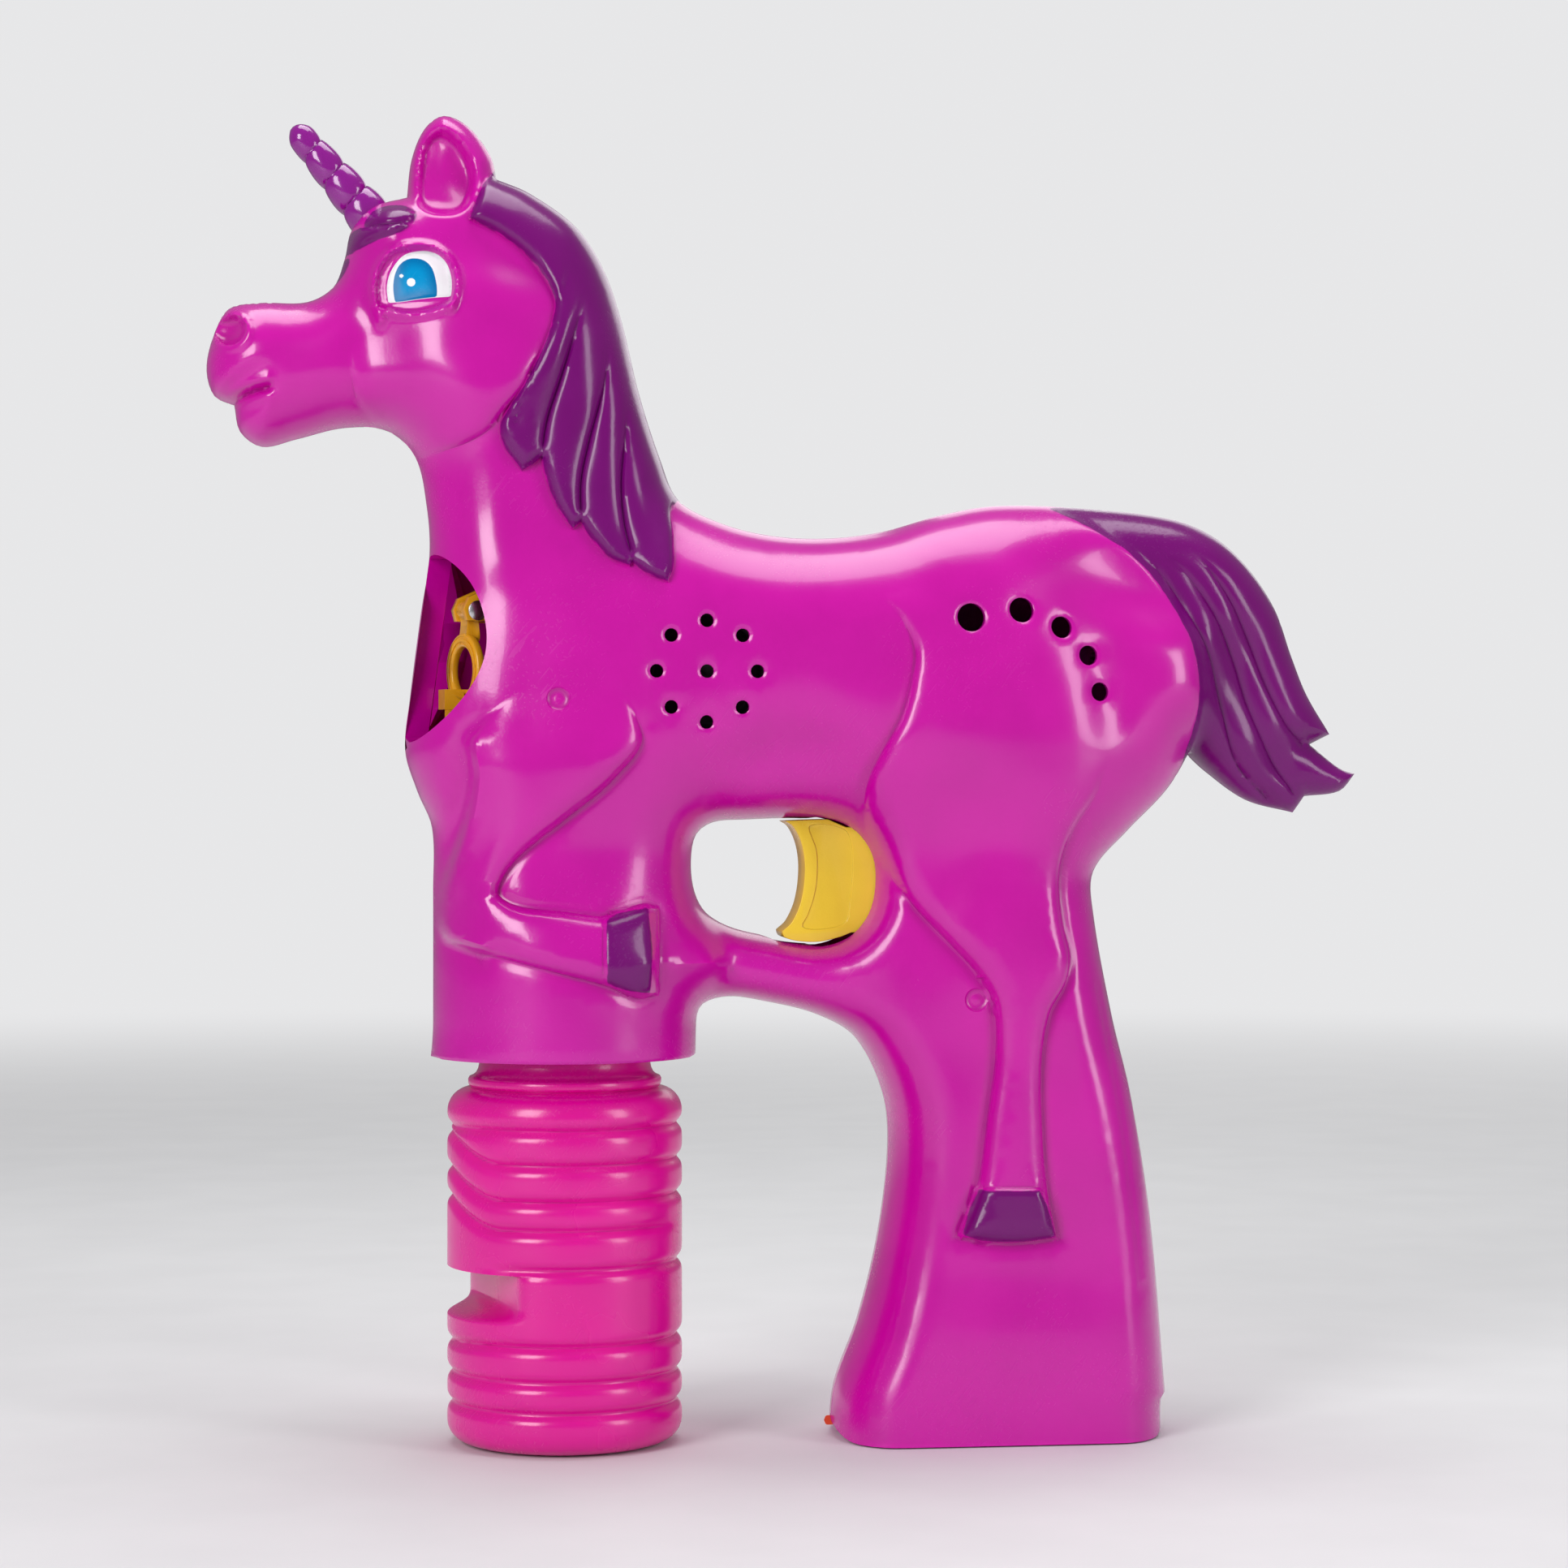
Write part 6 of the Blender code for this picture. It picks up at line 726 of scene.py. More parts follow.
def casing_half(name, side, material):
    border, rim = casing_border(side)
    holes = [slot_window()]
    holes += [circle(x, z, radius, max(14, int(radius * 9000))) for x, z, radius in round_holes(side)]
    places, faces = fill(border, holes, casing_points(border, holes, side))
    outer = side_height(places, side)
    inner = inner_height(places, outer, side)
    thin = 0.0004 + 0.6 * edge_distance(places, rim, False)
    inner = np.where(outer > PARTING_Y, np.maximum(inner, np.minimum(outer - thin, outer)), inner)
    shared = outer - inner < 1e-6
    count = len(places)
    behind = np.where(shared, np.arange(count), 0)
    behind[~shared] = count + np.arange((~shared).sum())
    across, up = places.T
    vertices = np.concatenate([columns(across, side * outer, up), columns(across, side * inner, up)[~shared]])
    faces = faces[~shared[faces].all(axis=1)]
    outward = faces if side < 0 else faces[:, ::-1]
    polygons = [tuple(face) for face in outward]
    polygons += [tuple(behind[face[::-1]]) for face in outward]
    used = {(int(first), int(second)) for face in outward for first, second in zip(face, np.roll(face, -1))}
    for first, second in used:
        if (second, first) in used or (shared[first] and shared[second]):
            continue
        wall = dict.fromkeys((second, first, int(behind[first]), int(behind[second])))
        polygons.append(tuple(wall))
    fields = paint_fields(places)
    hidden = (~shared).sum()
    values = {key: np.concatenate([field, np.full(hidden, -9.0)]) for key, field in fields.items()}
    parts = [(vertices, polygons), muzzle_lining(side), grip_floor(side)]
    return solid(name, *merged(parts), material, values=values, missing=-9.0)


def muzzle_lining(side):
    """Thickness of the muzzle's edge: a band that runs back along the opening's wall."""
    own = muzzle_side(side)
    angles = MUZZLE_ANGLES[own]
    deep, thick = 0.0045, 0.0017
    outer_forward, _ = muzzle_meeting(angles, MUZZLE_RADIUS + thick)
    rings = []
    for radius, forward in ((MUZZLE_RADIUS, MUZZLE_FORWARD[own]), (MUZZLE_RADIUS, MUZZLE_FORWARD[own] + deep),
                            (MUZZLE_RADIUS + thick, np.maximum(outer_forward, MUZZLE_FORWARD[own]) + deep),
                            (MUZZLE_RADIUS + thick, outer_forward + 0.0003)):
        rings.append(wand_place(forward, MUZZLE_SHIFT + radius * np.cos(angles),
                                MUZZLE_Z + radius * np.sin(angles)))
    return skin(rings, closed_rings=True, closed_run=False, caps=True)


def grip_floor(side):
    """Floor of the grip beside the battery door."""
    stations = np.linspace(0.0125, 0.0722, 40)
    low, high = 0.0, 0.0030
    line = columns(stations, 0.0001)
    reach = inner_height(line, side_height(line, side), side) + 0.0003
    door = 0.0115
    near = np.where((stations > 0.0145) & (stations < 0.0700), door, PARTING_Y)
    reach = np.maximum(reach, near + 0.0002)
    rings = [columns(stations, side * across, level)
             for across, level in ((near, low), (reach, low), (reach, high), (near, high))]
    return skin(rings, closed_rings=True, closed_run=False, caps=True)


# Meshes

def skin(rings, closed_rings, closed_run, caps=False):
    """Points and faces of a sheet through rows of points. rings is a list of rows of equal length."""
    rings = np.array(rings)
    rows, count = rings.shape[:2]
    faces = []
    for row in range(rows if closed_rings else rows - 1):
        for step in range(count if closed_run else count - 1):
            first, second = row * count, ((row + 1) % rows) * count
            after = (step + 1) % count
            faces.append((first + step, first + after, second + after, second + step))
    if caps:
        faces.append(tuple(row * count for row in range(rows)))
        faces.append(tuple(row * count + count - 1 for row in range(rows))[::-1])
    return rings.reshape(-1, 3), faces


def merged(parts):
    """One list of points and one of faces from several bodies."""
    points, faces = [], []
    for own_points, own_faces in parts:
        start = sum(len(group) for group in points)
        points.append(np.asarray(own_points, float))
        faces += [tuple(int(index) + start for index in face) for face in own_faces]
    return np.concatenate(points), faces


def crease_of(points, faces, normals):
    """Positive in hollows and negative on edges, -1 to 1."""
    pairs = np.array([pair for face in faces for pair in zip(face, face[1:] + face[:1])])
    reach = points[pairs[:, 1]] - points[pairs[:, 0]]
    length = np.maximum(np.linalg.norm(reach, axis=1), 1e-7)
    lean = (reach * normals[pairs[:, 0]]).sum(axis=1) / length
    total = np.bincount(pairs[:, 0], lean, len(points))
    return np.clip(total / np.maximum(np.bincount(pairs[:, 0], minlength=len(points)), 1), -1.0, 1.0)


def solid(name, points, faces, material, sharp=38, values=None, missing=0.0):
    """Smooth object from points and faces, with its hollows and edges noted for the painted shade, dust and
    wear.
    """
    mesh = bpy.data.meshes.new(name)
    mesh.from_pydata([tuple(point) for point in points], [], [tuple(face) for face in faces])
    shape = bmesh.new()
    shape.from_mesh(mesh)
    bmesh.ops.recalc_face_normals(shape, faces=shape.faces)
    shape.to_mesh(mesh)
    shape.free()
    mesh.shade_smooth()
    mesh.set_sharp_from_angle(angle=math.radians(sharp))
    normals = np.zeros(len(mesh.vertices) * 3)
    mesh.vertices.foreach_get("normal", normals)
    turned_faces = [tuple(face.vertices) for face in mesh.polygons]
    note(mesh, "crease", crease_of(np.asarray(points, float), turned_faces, normals.reshape(-1, 3)))
    for key, field in (values or {}).items():
        rest = np.full(len(points) - len(field), missing)
        note(mesh, key, np.concatenate([field, rest]))
    mesh.materials.append(material)
    return shown(name, mesh)


def shown(name, data):
    made = bpy.data.objects.new(name, data)
    bpy.context.scene.collection.objects.link(made)
    return made


def note(mesh, key, field):
    layer = mesh.attributes.new(key, "FLOAT", "POINT")
    layer.data.foreach_set("value", np.asarray(field, np.float32))


def along(origin, axis):
    turn = Vector((0, 0, 1)).rotation_difference(Vector(axis)).to_matrix().to_4x4()
    return Matrix.Translation(Vector(origin)) @ turn


def turned(profile, origin=(0, 0, 0), axis=(0, 0, 1), segments=48, shape=None):
    """Points and faces of a closed profile of (radius, height) turned round an axis."""
    place = np.array(along(origin, axis))
    profile = np.array(profile, float)
    angles = ring_angles(segments)
    rings = []
    for radius, height in profile:
        reach = np.full(segments, max(radius, 0.00001))
        if shape:
            reach = np.maximum(shape(reach, height, angles), 0.00001)
        own = columns(reach * np.cos(angles), reach * np.sin(angles), height, 1.0)
        rings.append((own @ place.T)[:, :3])
    return skin(rings, closed_rings=True, closed_run=True)


def eased(profile, radius, steps=3):
    """A closed profile with its corners rounded."""
    result = []
    profile = [np.array(point, float) for point in profile]
    for index, point in enumerate(profile):
        before, after = profile[index - 1] - point, profile[(index + 1) % len(profile)] - point
        reach = min(radius, 0.4 * np.linalg.norm(before), 0.4 * np.linalg.norm(after))
        if point[0] < 1e-6 or reach < 1e-6:
            result.append(point)
            continue
        before, after = before / np.linalg.norm(before), after / np.linalg.norm(after)
        for share in np.linspace(0.0, 1.0, steps + 1):
            result.append(point + reach * ((1 - share) ** 2 * before + share ** 2 * after))
    return result


def tube(path, radius, segments=14):
    """Points and faces of a round tube along a path."""
    path = np.asarray(path, float)
    way = np.gradient(path, axis=0)
    way /= np.linalg.norm(way, axis=1)[:, None]
    side = np.cross(way[0], (0.31, 0.52, 0.79))
    rings = []
    angles = ring_angles(segments)
    for point, ahead in zip(path, way):
        side = side - (side @ ahead) * ahead
        side /= np.linalg.norm(side)
        other = np.cross(ahead, side)
        rings.append(point + radius * (np.cos(angles)[:, None] * side + np.sin(angles)[:, None] * other))
    points, faces = skin(rings, closed_rings=False, closed_run=True)
    last = (len(rings) - 1) * segments
    faces.append(tuple(range(segments))[::-1])
    faces.append(tuple(range(last, last + segments)))
    return points, faces


def plate(loop, low, high, plane="xz"):
    """Points and faces of a flat outline given thickness."""
    across, up = np.asarray(loop, float)[:, :2].T
    count = len(across)
    rows = [columns(across, level, up) if plane == "xz" else columns(across, up, level)
            for level in (low, high)]
    points, faces = skin(rows, closed_rings=False, closed_run=True)
    return points, faces + [tuple(range(count))[::-1], tuple(range(count, 2 * count))]


def rod(radius, low, high, origin, axis=(0, 0, 1), segments=20):
    return turned([(0, low), (radius, low), (radius, high), (0, high)], origin, axis, segments)


def block(low, high):
    corners = ((low[0], low[1]), (high[0], low[1]), (high[0], high[1]), (low[0], high[1]))
    return plate(corners, low[2], high[2], "xy")


def moved(part, matrix):
    points = np.concatenate([np.asarray(part[0], float), np.ones((len(part[0]), 1))], axis=1)
    return (points @ np.array(matrix).T)[:, :3], part[1]


def in_wand_frame(part):
    return moved(part, Matrix.Translation((WAND_X, 0, 0)) @ Matrix.Rotation(MUZZLE_TURN, 4, "Z"))


def carved(name, parts, cuts, material, bevel=0.0, sharp=38):
    """One object from bodies that are joined, with others cut away and its edges eased."""
    made = solid(name, *parts[0], material, sharp)
    for operation, bodies in (("UNION", parts[1:]), ("DIFFERENCE", cuts)):
        for part in bodies:
            tool = solid("tool", *part, material)
            bool_step = made.modifiers.new("join", "BOOLEAN")
            bool_step.operation = operation
            bool_step.solver = "EXACT"
            bool_step.object = tool
            applied(made)
            bpy.data.objects.remove(tool)
    if bevel:
        ease = made.modifiers.new("ease", "BEVEL")
        ease.width = bevel
        ease.segments = 3
        ease.limit_method = "ANGLE"
        ease.angle_limit = math.radians(32)
        ease.use_clamp_overlap = True
        applied(made)
    points = [tuple(vertex.co) for vertex in made.data.vertices]
    faces = [tuple(face.vertices) for face in made.data.polygons]
    bpy.data.objects.remove(made)
    return solid(name, points, faces, material, sharp)


def applied(made):
    """Puts the object's modifiers into its mesh."""
    graph = bpy.context.evaluated_depsgraph_get()
    graph.update()
    mesh = bpy.data.meshes.new_from_object(made.evaluated_get(graph))
    made.modifiers.clear()
    made.data = mesh


def dress(made, body, slot, *nodes):
    """Moves a piece from the drawing's middle to the frame's, gives it to its body and hides its nodes. slot
    is not used.
    """
    made.data.transform(Matrix.Translation((-DRAWN_MIDDLE_X, 0, 0)))
    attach(made, body)
    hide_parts(*nodes)
    return made


# Finishes

def node(tree, kind, links=None, **settings):
    made = tree.nodes.new(kind)
    for key, value in settings.items():
        setattr(made, key, value)
    for key, source in (links or {}).items():
        if isinstance(source, bpy.types.NodeSocket):
            tree.links.new(source, made.inputs[key])
        else:
            made.inputs[key].default_value = source
    return made


def reckon(tree, operation, first, second=None, third=None):
    links = {key: value for key, value in ((0, first), (1, second), (2, third)) if value is not None}
    return node(tree, "ShaderNodeMath", links, operation=operation).outputs[0]


def ramp(tree, value, low, high, bottom=0.0, top=1.0):
    """Smooth step of a value between two levels."""
    links = {"Value": value, "From Min": low, "From Max": high, "To Min": bottom, "To Max": top}
    return node(tree, "ShaderNodeMapRange", links, interpolation_type="SMOOTHSTEP").outputs["Result"]


def mixed(tree, share, first, second):
    made = node(tree, "ShaderNodeMix", None, data_type="RGBA")
    for index, source in ((0, share), (6, first), (7, second)):
        if isinstance(source, bpy.types.NodeSocket):
            tree.links.new(source, made.inputs[index])
        else:
            made.inputs[index].default_value = source
    return made.outputs[2]


def scaled(tree, vector, factor):
    return node(tree, "ShaderNodeVectorMath", {0: vector, 1: factor}, operation="MULTIPLY").outputs["Vector"]


def object_place(tree):
    return tree.nodes.new("ShaderNodeTexCoord").outputs["Object"]


def attribute(tree, key):
    return node(tree, "ShaderNodeAttribute", None, attribute_name=key).outputs["Fac"]


def new_group(name, outputs):
    tree = bpy.data.node_groups.new(name, "ShaderNodeTree")
    for key in outputs:
        tree.interface.new_socket(key, in_out="OUTPUT", socket_type="NodeSocketFloat")
    return tree, tree.nodes.new("NodeGroupOutput")


def noise(tree, coordinate, scale, detail=2.0, stretch=None, turn=(0.0, 0.0, 0.0)):
    if stretch:
        coordinate = node(tree, "ShaderNodeVectorRotate", {"Vector": coordinate, "Rotation": turn},
                          rotation_type="EULER_XYZ").outputs["Vector"]
        coordinate = scaled(tree, coordinate, stretch)
    links = {"Vector": coordinate, "Scale": scale, "Detail": detail}
    return node(tree, "ShaderNodeTexNoise", links).outputs["Fac"]


def handling_wear():
    """Cloudy tone, fine scratches and moulding grain that every plastic and metal shares."""
    tree, out = new_group("handling_wear", ("Cloud", "Scratch", "Grain", "Sink"))
    place = object_place(tree)
    cloud = noise(tree, place, 55.0, 3.0)
    patch = ramp(tree, noise(tree, place, 38.0, 1.0), 0.48, 0.70)
    runs = ((1.0, 30.0, 30.0), (0.2, 0.9, 0.3)), ((34.0, 1.2, 34.0), (0.6, 0.2, 0.5))
    lines = [ramp(tree, noise(tree, place, 60.0, 0.0, stretch, turn), 0.70, 0.74) for stretch, turn in runs]
    scratch = reckon(tree, "MULTIPLY", reckon(tree, "MAXIMUM", *lines), patch)
    tree.links.new(cloud, out.inputs["Cloud"])
    tree.links.new(scratch, out.inputs["Scratch"])
    tree.links.new(noise(tree, place, 2600.0, 2.0), out.inputs["Grain"])
    tree.links.new(noise(tree, place, 70.0, 0.0), out.inputs["Sink"])
    return tree


def shaded_hollows_and_worn_edges():
    """Painted shade and dust in the hollows, and rubbed edges, from the crease noted on each mesh."""
    tree, out = new_group("shaded_hollows_and_worn_edges", ("HollowShadeAndDust", "Rub"))
    crease = attribute(tree, "crease")
    place = object_place(tree)
    uneven = ramp(tree, noise(tree, place, 160.0, 2.0), 0.30, 0.65, 0.35, 1.0)
    # Painted shade in the hollows, which also roughens them as dust would
    shade_and_dust = reckon(tree, "MULTIPLY", ramp(tree, crease, 0.03, 0.22), uneven)
    rub = reckon(tree, "MULTIPLY", ramp(tree, reckon(tree, "MULTIPLY", crease, -1.0), 0.14, 0.42), uneven)
    tree.links.new(shade_and_dust, out.inputs["HollowShadeAndDust"])
    tree.links.new(rub, out.inputs["Rub"])
    return tree


WEAR = handling_wear()
EDGES = shaded_hollows_and_worn_edges()


def finish(name, colour, roughness, metallic=0.0, coat=0.0, hollow_shade=0.62, light=1.25, spread=0.10,
           bump=0.10, sink=0.0, subsurface=0.0, scratch=0.10, painter=None):
    """Worn procedural surface, with painted shade in its hollows. painter may lay further colours over the
    base.
    """
    made = bpy.data.materials.new(name)
    made.use_nodes = True
    made.diffuse_color = (*colour, 1.0)
    tree = made.node_tree
    shader = tree.nodes["Principled BSDF"]
    wear = node(tree, "ShaderNodeGroup", None, node_tree=WEAR).outputs
    edges = node(tree, "ShaderNodeGroup", None, node_tree=EDGES).outputs
    base = painter(tree, (*colour, 1.0)) if painter else colour
    cloud = ramp(tree, wear["Cloud"], 0.25, 0.75, 1.0 - spread, 1.0 + spread)
    tinted = scaled(tree, base, cloud)
    # Painted shade: the colour is darkened in the hollows
    colour_out = mixed(tree, edges["HollowShadeAndDust"], tinted, scaled(tree, tinted, (hollow_shade, hollow_shade, hollow_shade)))
    rub = reckon(tree, "MULTIPLY", edges["Rub"], 0.6)
    colour_out = mixed(tree, rub, colour_out, scaled(tree, tinted, (light, light, light)))
    tree.links.new(colour_out, shader.inputs["Base Color"])
    rough = ramp(tree, wear["Cloud"], 0.2, 0.8, roughness * 0.82, roughness * 1.22)
    rough = reckon(tree, "MULTIPLY_ADD", wear["Scratch"], scratch, rough)
    rough = reckon(tree, "MULTIPLY_ADD", edges["HollowShadeAndDust"], 0.16, rough)
    tree.links.new(rough, shader.inputs["Roughness"])
    height = reckon(tree, "MULTIPLY_ADD", wear["Sink"], sink, wear["Grain"])
    height = reckon(tree, "MULTIPLY_ADD", wear["Scratch"], -0.4, height)
    relief = node(tree, "ShaderNodeBump", {"Height": height, "Strength": bump, "Distance": 0.0001})
    tree.links.new(relief.outputs["Normal"], shader.inputs["Normal"])
    for key, value in (("Metallic", metallic), ("Coat Weight", coat), ("Coat Roughness", 0.06),
                       ("Subsurface Weight", subsurface), ("Subsurface Radius", (0.004, 0.0015, 0.002))):
        shader.inputs[key].default_value = value
    return made


def unicorn_paint(tree, base):
    """Purple hair and hooves, and the printed eye, over the moulded magenta."""
    place = object_place(tree)
    waver = ramp(tree, noise(tree, place, 420.0, 2.0), 0.2, 0.8, -0.14, 0.14)
    purple = ramp(tree, reckon(tree, "ADD", attribute(tree, "purple"), waver), -0.14, 0.16)
    shader = tree.nodes["Principled BSDF"]
    matte = ramp(tree, purple, 0.0, 1.0, 1.0, 0.6)
    for socket, plain, printed in (("Specular IOR Level", 0.5, 0.15), ("Coat Weight", 0.25, 0.0)):
        shine = ramp(tree, attribute(tree, "white"), -0.07, 0.07, plain, printed)
        tree.links.new(reckon(tree, "MULTIPLY", shine, matte), shader.inputs[socket])
    colour = mixed(tree, purple, base, (0.165, 0.001, 0.150, 1.0))
    fade = ramp(tree, attribute(tree, "iris"), 0.0, 2.6)
    iris = mixed(tree, fade, (0.0, 0.17, 0.42, 1.0), (0.0, 0.29, 0.61, 1.0))
    for key, soft, paint in (("white", 0.07, (0.88, 0.88, 0.90, 1.0)), ("iris", 0.07, iris),
                             ("spark", 0.06, (0.93, 0.93, 0.93, 1.0))):
        colour = mixed(tree, ramp(tree, attribute(tree, key), -soft, soft), colour, paint)
    return colour


def cell_wrap(tree, base):
    """Dark wrapper with a bright band at the top end of each battery."""
    place = object_place(tree)
    up = node(tree, "ShaderNodeSeparateXYZ", {"Vector": place}).outputs["Z"]
    band = ramp(tree, up, 0.0448, 0.0450)
    colour = mixed(tree, band, base, (0.62, 0.30, 0.07, 1.0))
    metal = reckon(tree, "MAXIMUM", ramp(tree, up, 0.0571, 0.0572), ramp(tree, up, 0.0086, 0.0085))
    return mixed(tree, metal, colour, (0.62, 0.62, 0.64, 1.0))


def board_tracks(tree, base):
    """Copper tracks under the board's lacquer."""
    place = object_place(tree)
    cells = node(tree, "ShaderNodeTexBrick", {"Vector": place, "Scale": 260.0, "Mortar Size": 0.06})
    return mixed(tree, ramp(tree, cells.outputs["Fac"], 0.3, 0.6), base, (0.05, 0.33, 0.10, 1.0))


MAGENTA = finish("casing_magenta", (0.560, 0.0, 0.335), 0.22, coat=0.25, hollow_shade=0.80, sink=1.6, bump=0.16,
                 spread=0.05, painter=unicorn_paint)
DOOR_MAGENTA = finish("door_magenta", (0.560, 0.0, 0.335), 0.26, coat=0.2, sink=1.2, spread=0.06)
HORN_PURPLE = finish("horn_purple", (0.250, 0.004, 0.250), 0.16, coat=0.5, spread=0.06, bump=0.08)
BOTTLE_PINK = finish("bottle_pink", (0.730, 0.0, 0.295), 0.26, coat=0.15, hollow_shade=0.80, sink=1.8, bump=0.14,
                     spread=0.05, subsurface=0.10)
YELLOW = finish("trigger_yellow", (0.850, 0.610, 0.035), 0.30, coat=0.15, spread=0.06, bump=0.14)
AMBER = finish("ring_amber", (0.800, 0.380, 0.012), 0.26, coat=0.2, spread=0.10, bump=0.12)
WHITE = finish("inner_white", (0.760, 0.755, 0.720), 0.40, spread=0.05)
SILICONE = finish("clear_silicone", (0.720, 0.735, 0.760), 0.38, spread=0.06, subsurface=0.15)
STEEL = finish("bright_steel", (0.600, 0.600, 0.620), 0.26, metallic=1.0, spread=0.12, hollow_shade=0.4)
BRASS = finish("gear_brass", (0.720, 0.500, 0.180), 0.28, metallic=1.0, spread=0.12, hollow_shade=0.4)
GREY = finish("fan_grey", (0.230, 0.240, 0.260), 0.42, spread=0.08)
BLACK = finish("switch_black", (0.022, 0.022, 0.024), 0.46, spread=0.15)
CELL = finish("cell_wrapper", (0.030, 0.032, 0.036), 0.28, coat=0.3, spread=0.12, painter=cell_wrap)
TAB_RED = finish("tab_red", (0.700, 0.075, 0.020), 0.42, spread=0.08)
BOARD = finish("board_green", (0.012, 0.150, 0.055), 0.34, coat=0.3, spread=0.12, painter=board_tracks)


# Pieces that show from outside

dress(casing_half("casing_left", -1, MAGENTA), "casing", "casing", "left_casing")
dress(casing_half("casing_right", 1, MAGENTA), "casing", "casing", "right_casing")


def spiral_horn():
    foot = Vector((-0.0789, 0, 0.2337))
    tip = Vector((-0.0932, 0, 0.2502))
    way = (tip - foot).normalized()
    length = (tip - foot).length + 0.0006
    base, end, turns, seat = 0.0044, 0.0025, 3.7, 0.0045

    def twisted(reach, height, angles):
        """One groove that winds up the horn, slowly over its sides and fast over its back."""
        share = max(height, 0.0) / length
        wound = (angles - 0.8 * np.cos(angles)) / (2 * math.pi)
        around = (turns * share - wound + 0.02) % 1.0
        return reach * (0.80 + 0.20 * rounded(np.minimum(around, 1.0 - around), 0.5))

    rows = [(0.0, -seat), (base, -seat)]
    for share in np.linspace(0.0, 1.0, 120):
        cap = rounded(np.array([(1.0 - share) * length]), 0.0030)[0]
        rows.append(((base + share * (end - base)) * cap, share * length))
    made = solid("horn_spiral", *turned(rows, foot, way, 56, twisted), HORN_PURPLE, 50)
    return dress(made, "casing", "horn", "horn")


spiral_horn()

# Bottle: height of each groove, rise of its front end, and where it is full from and to, in degrees.
# An angle of 0 faces the camera's side and 90 faces the front.
BOTTLE_GROOVES = (
    (0.0080, 0.0, -400, 400), (0.0138, 0.0, -400, 400), (0.0205, -0.0008, -400, 400),
    (0.0348, 0.0008, -200, 22), (0.0421, 0.0052, -40, 150), (0.0476, 0.0052, -200, 150),
    (0.0543, 0.0052, -200, 150), (0.0608, -0.0002, -400, 400),
)
GROOVE_DEPTH = 0.0012
GROOVE_REACH = 0.0031
BOTTLE_WALL = 0.0014
NOTCH_FACING = 76.0
NOTCH_FLAT = 0.0142
NOTCH_EASE = 0.0010
NOTCH_LOW_Z = (0.0244, 0.0276)
NOTCH_HIGH_Z = (0.0335, 0.0338)


def ribbed_bottle():
    def pressed(reach, height, angles):
        """Grooves that climb towards the front, and the flat finger notch."""
        facing = (np.degrees(np.arctan2(-np.cos(angles), -np.sin(angles))) + 180) % 360 - 180
        within = BOTTLE_WALL if reach[0] < BOTTLE_RADIUS - 0.0005 else 0.0
        shrink = np.zeros(len(angles))
        if 0.002 < height < 0.0645 and not within:
            for level, lift, first, last in BOTTLE_GROOVES:
                own = level + lift * blend(36.0, 88.0, facing) * (1.0 - blend(100.0, 170.0, facing))
                full = blend(first - 30.0, first, facing) * (1.0 - blend(last, last + 30.0, facing))
                gap = np.abs(height - own)
                dip = 0.35 * (1.0 - rounded(gap, GROOVE_REACH)) + 0.65 * ridge(gap, 0.0010)
                shrink = np.maximum(shrink, full * dip)
        reach = reach - GROOVE_DEPTH * shrink
        notched = blend(NOTCH_LOW_Z[0] - within, NOTCH_LOW_Z[1] - within, height)
        notched = notched * (1.0 - blend(NOTCH_HIGH_Z[0] + within, NOTCH_HIGH_Z[1] + within, height))
        toward = np.cos(np.radians(facing - NOTCH_FACING))
        flat = (NOTCH_FLAT - within) / np.maximum(toward, 0.2)
        deeper = reach - flat
        return reach - notched * 0.5 * (deeper + np.sqrt(deeper ** 2 + NOTCH_EASE ** 2))

    outer = [(0.0, 0.0014), (0.0140, 0.0014), (0.0150, 0.0008), (0.0158, 0.0001), (0.0165, 0.0),
             (0.0180, 0.0)]
    for share in np.linspace(0.15, 1.0, 7):
        bend = share * math.pi / 2
        outer.append((0.0180 + 0.0045 * math.sin(bend), 0.0042 * (1 - math.cos(bend))))
    levels = np.union1d(np.linspace(0.0047, 0.0630, 190), np.linspace(*NOTCH_LOW_Z, 14))
    levels = np.union1d(levels, np.linspace(*NOTCH_HIGH_Z, 5))
    outer += [(BOTTLE_RADIUS, level) for level in levels]
    for share in np.linspace(0.1, 1.0, 8):
        bend = share * math.pi / 2
        outer.append((BOTTLE_RADIUS - 0.0044 * (1 - math.cos(bend)), 0.0630 + 0.0046 * math.sin(bend)))
    outer += [(0.0180, 0.0677), (0.0183, 0.0680), (0.0185, 0.0684), (0.0185, 0.0692), (0.0183, 0.0696),
              (0.0176, 0.0699), (0.0170, 0.0704), (0.0166, 0.0712), (NECK_RADIUS, 0.0722),
              (NECK_RADIUS, 0.0905), (NECK_RADIUS - 0.0003, NECK_TOP_Z)]
    hollow = BOTTLE_RADIUS - GROOVE_DEPTH - BOTTLE_WALL
    inner = [(NECK_RADIUS - BOTTLE_WALL, NECK_TOP_Z), (NECK_RADIUS - BOTTLE_WALL, 0.0680), (0.0180, 0.0650),
             (hollow, 0.0620)]
    inner += [(hollow, level) for level in (0.0500, 0.0360, 0.0353, 0.0351, 0.0349, 0.0340, 0.0300)]
    inner += [(hollow, level) for level in np.linspace(0.0264, 0.0228, 10)]
    inner += [(hollow, 0.0070), (0.0170, 0.0032), (0.0, 0.0030)]
    body = turned(outer + inner, (BOTTLE_X, 0, 0), segments=128, shape=pressed)
    made = solid("bottle_ribbed", *merged([body, screw_thread(NECK_RADIUS, 0.0012, 0.0785)]), BOTTLE_PINK, 50)
    return dress(made, "bottle", "bottle", "bottle")


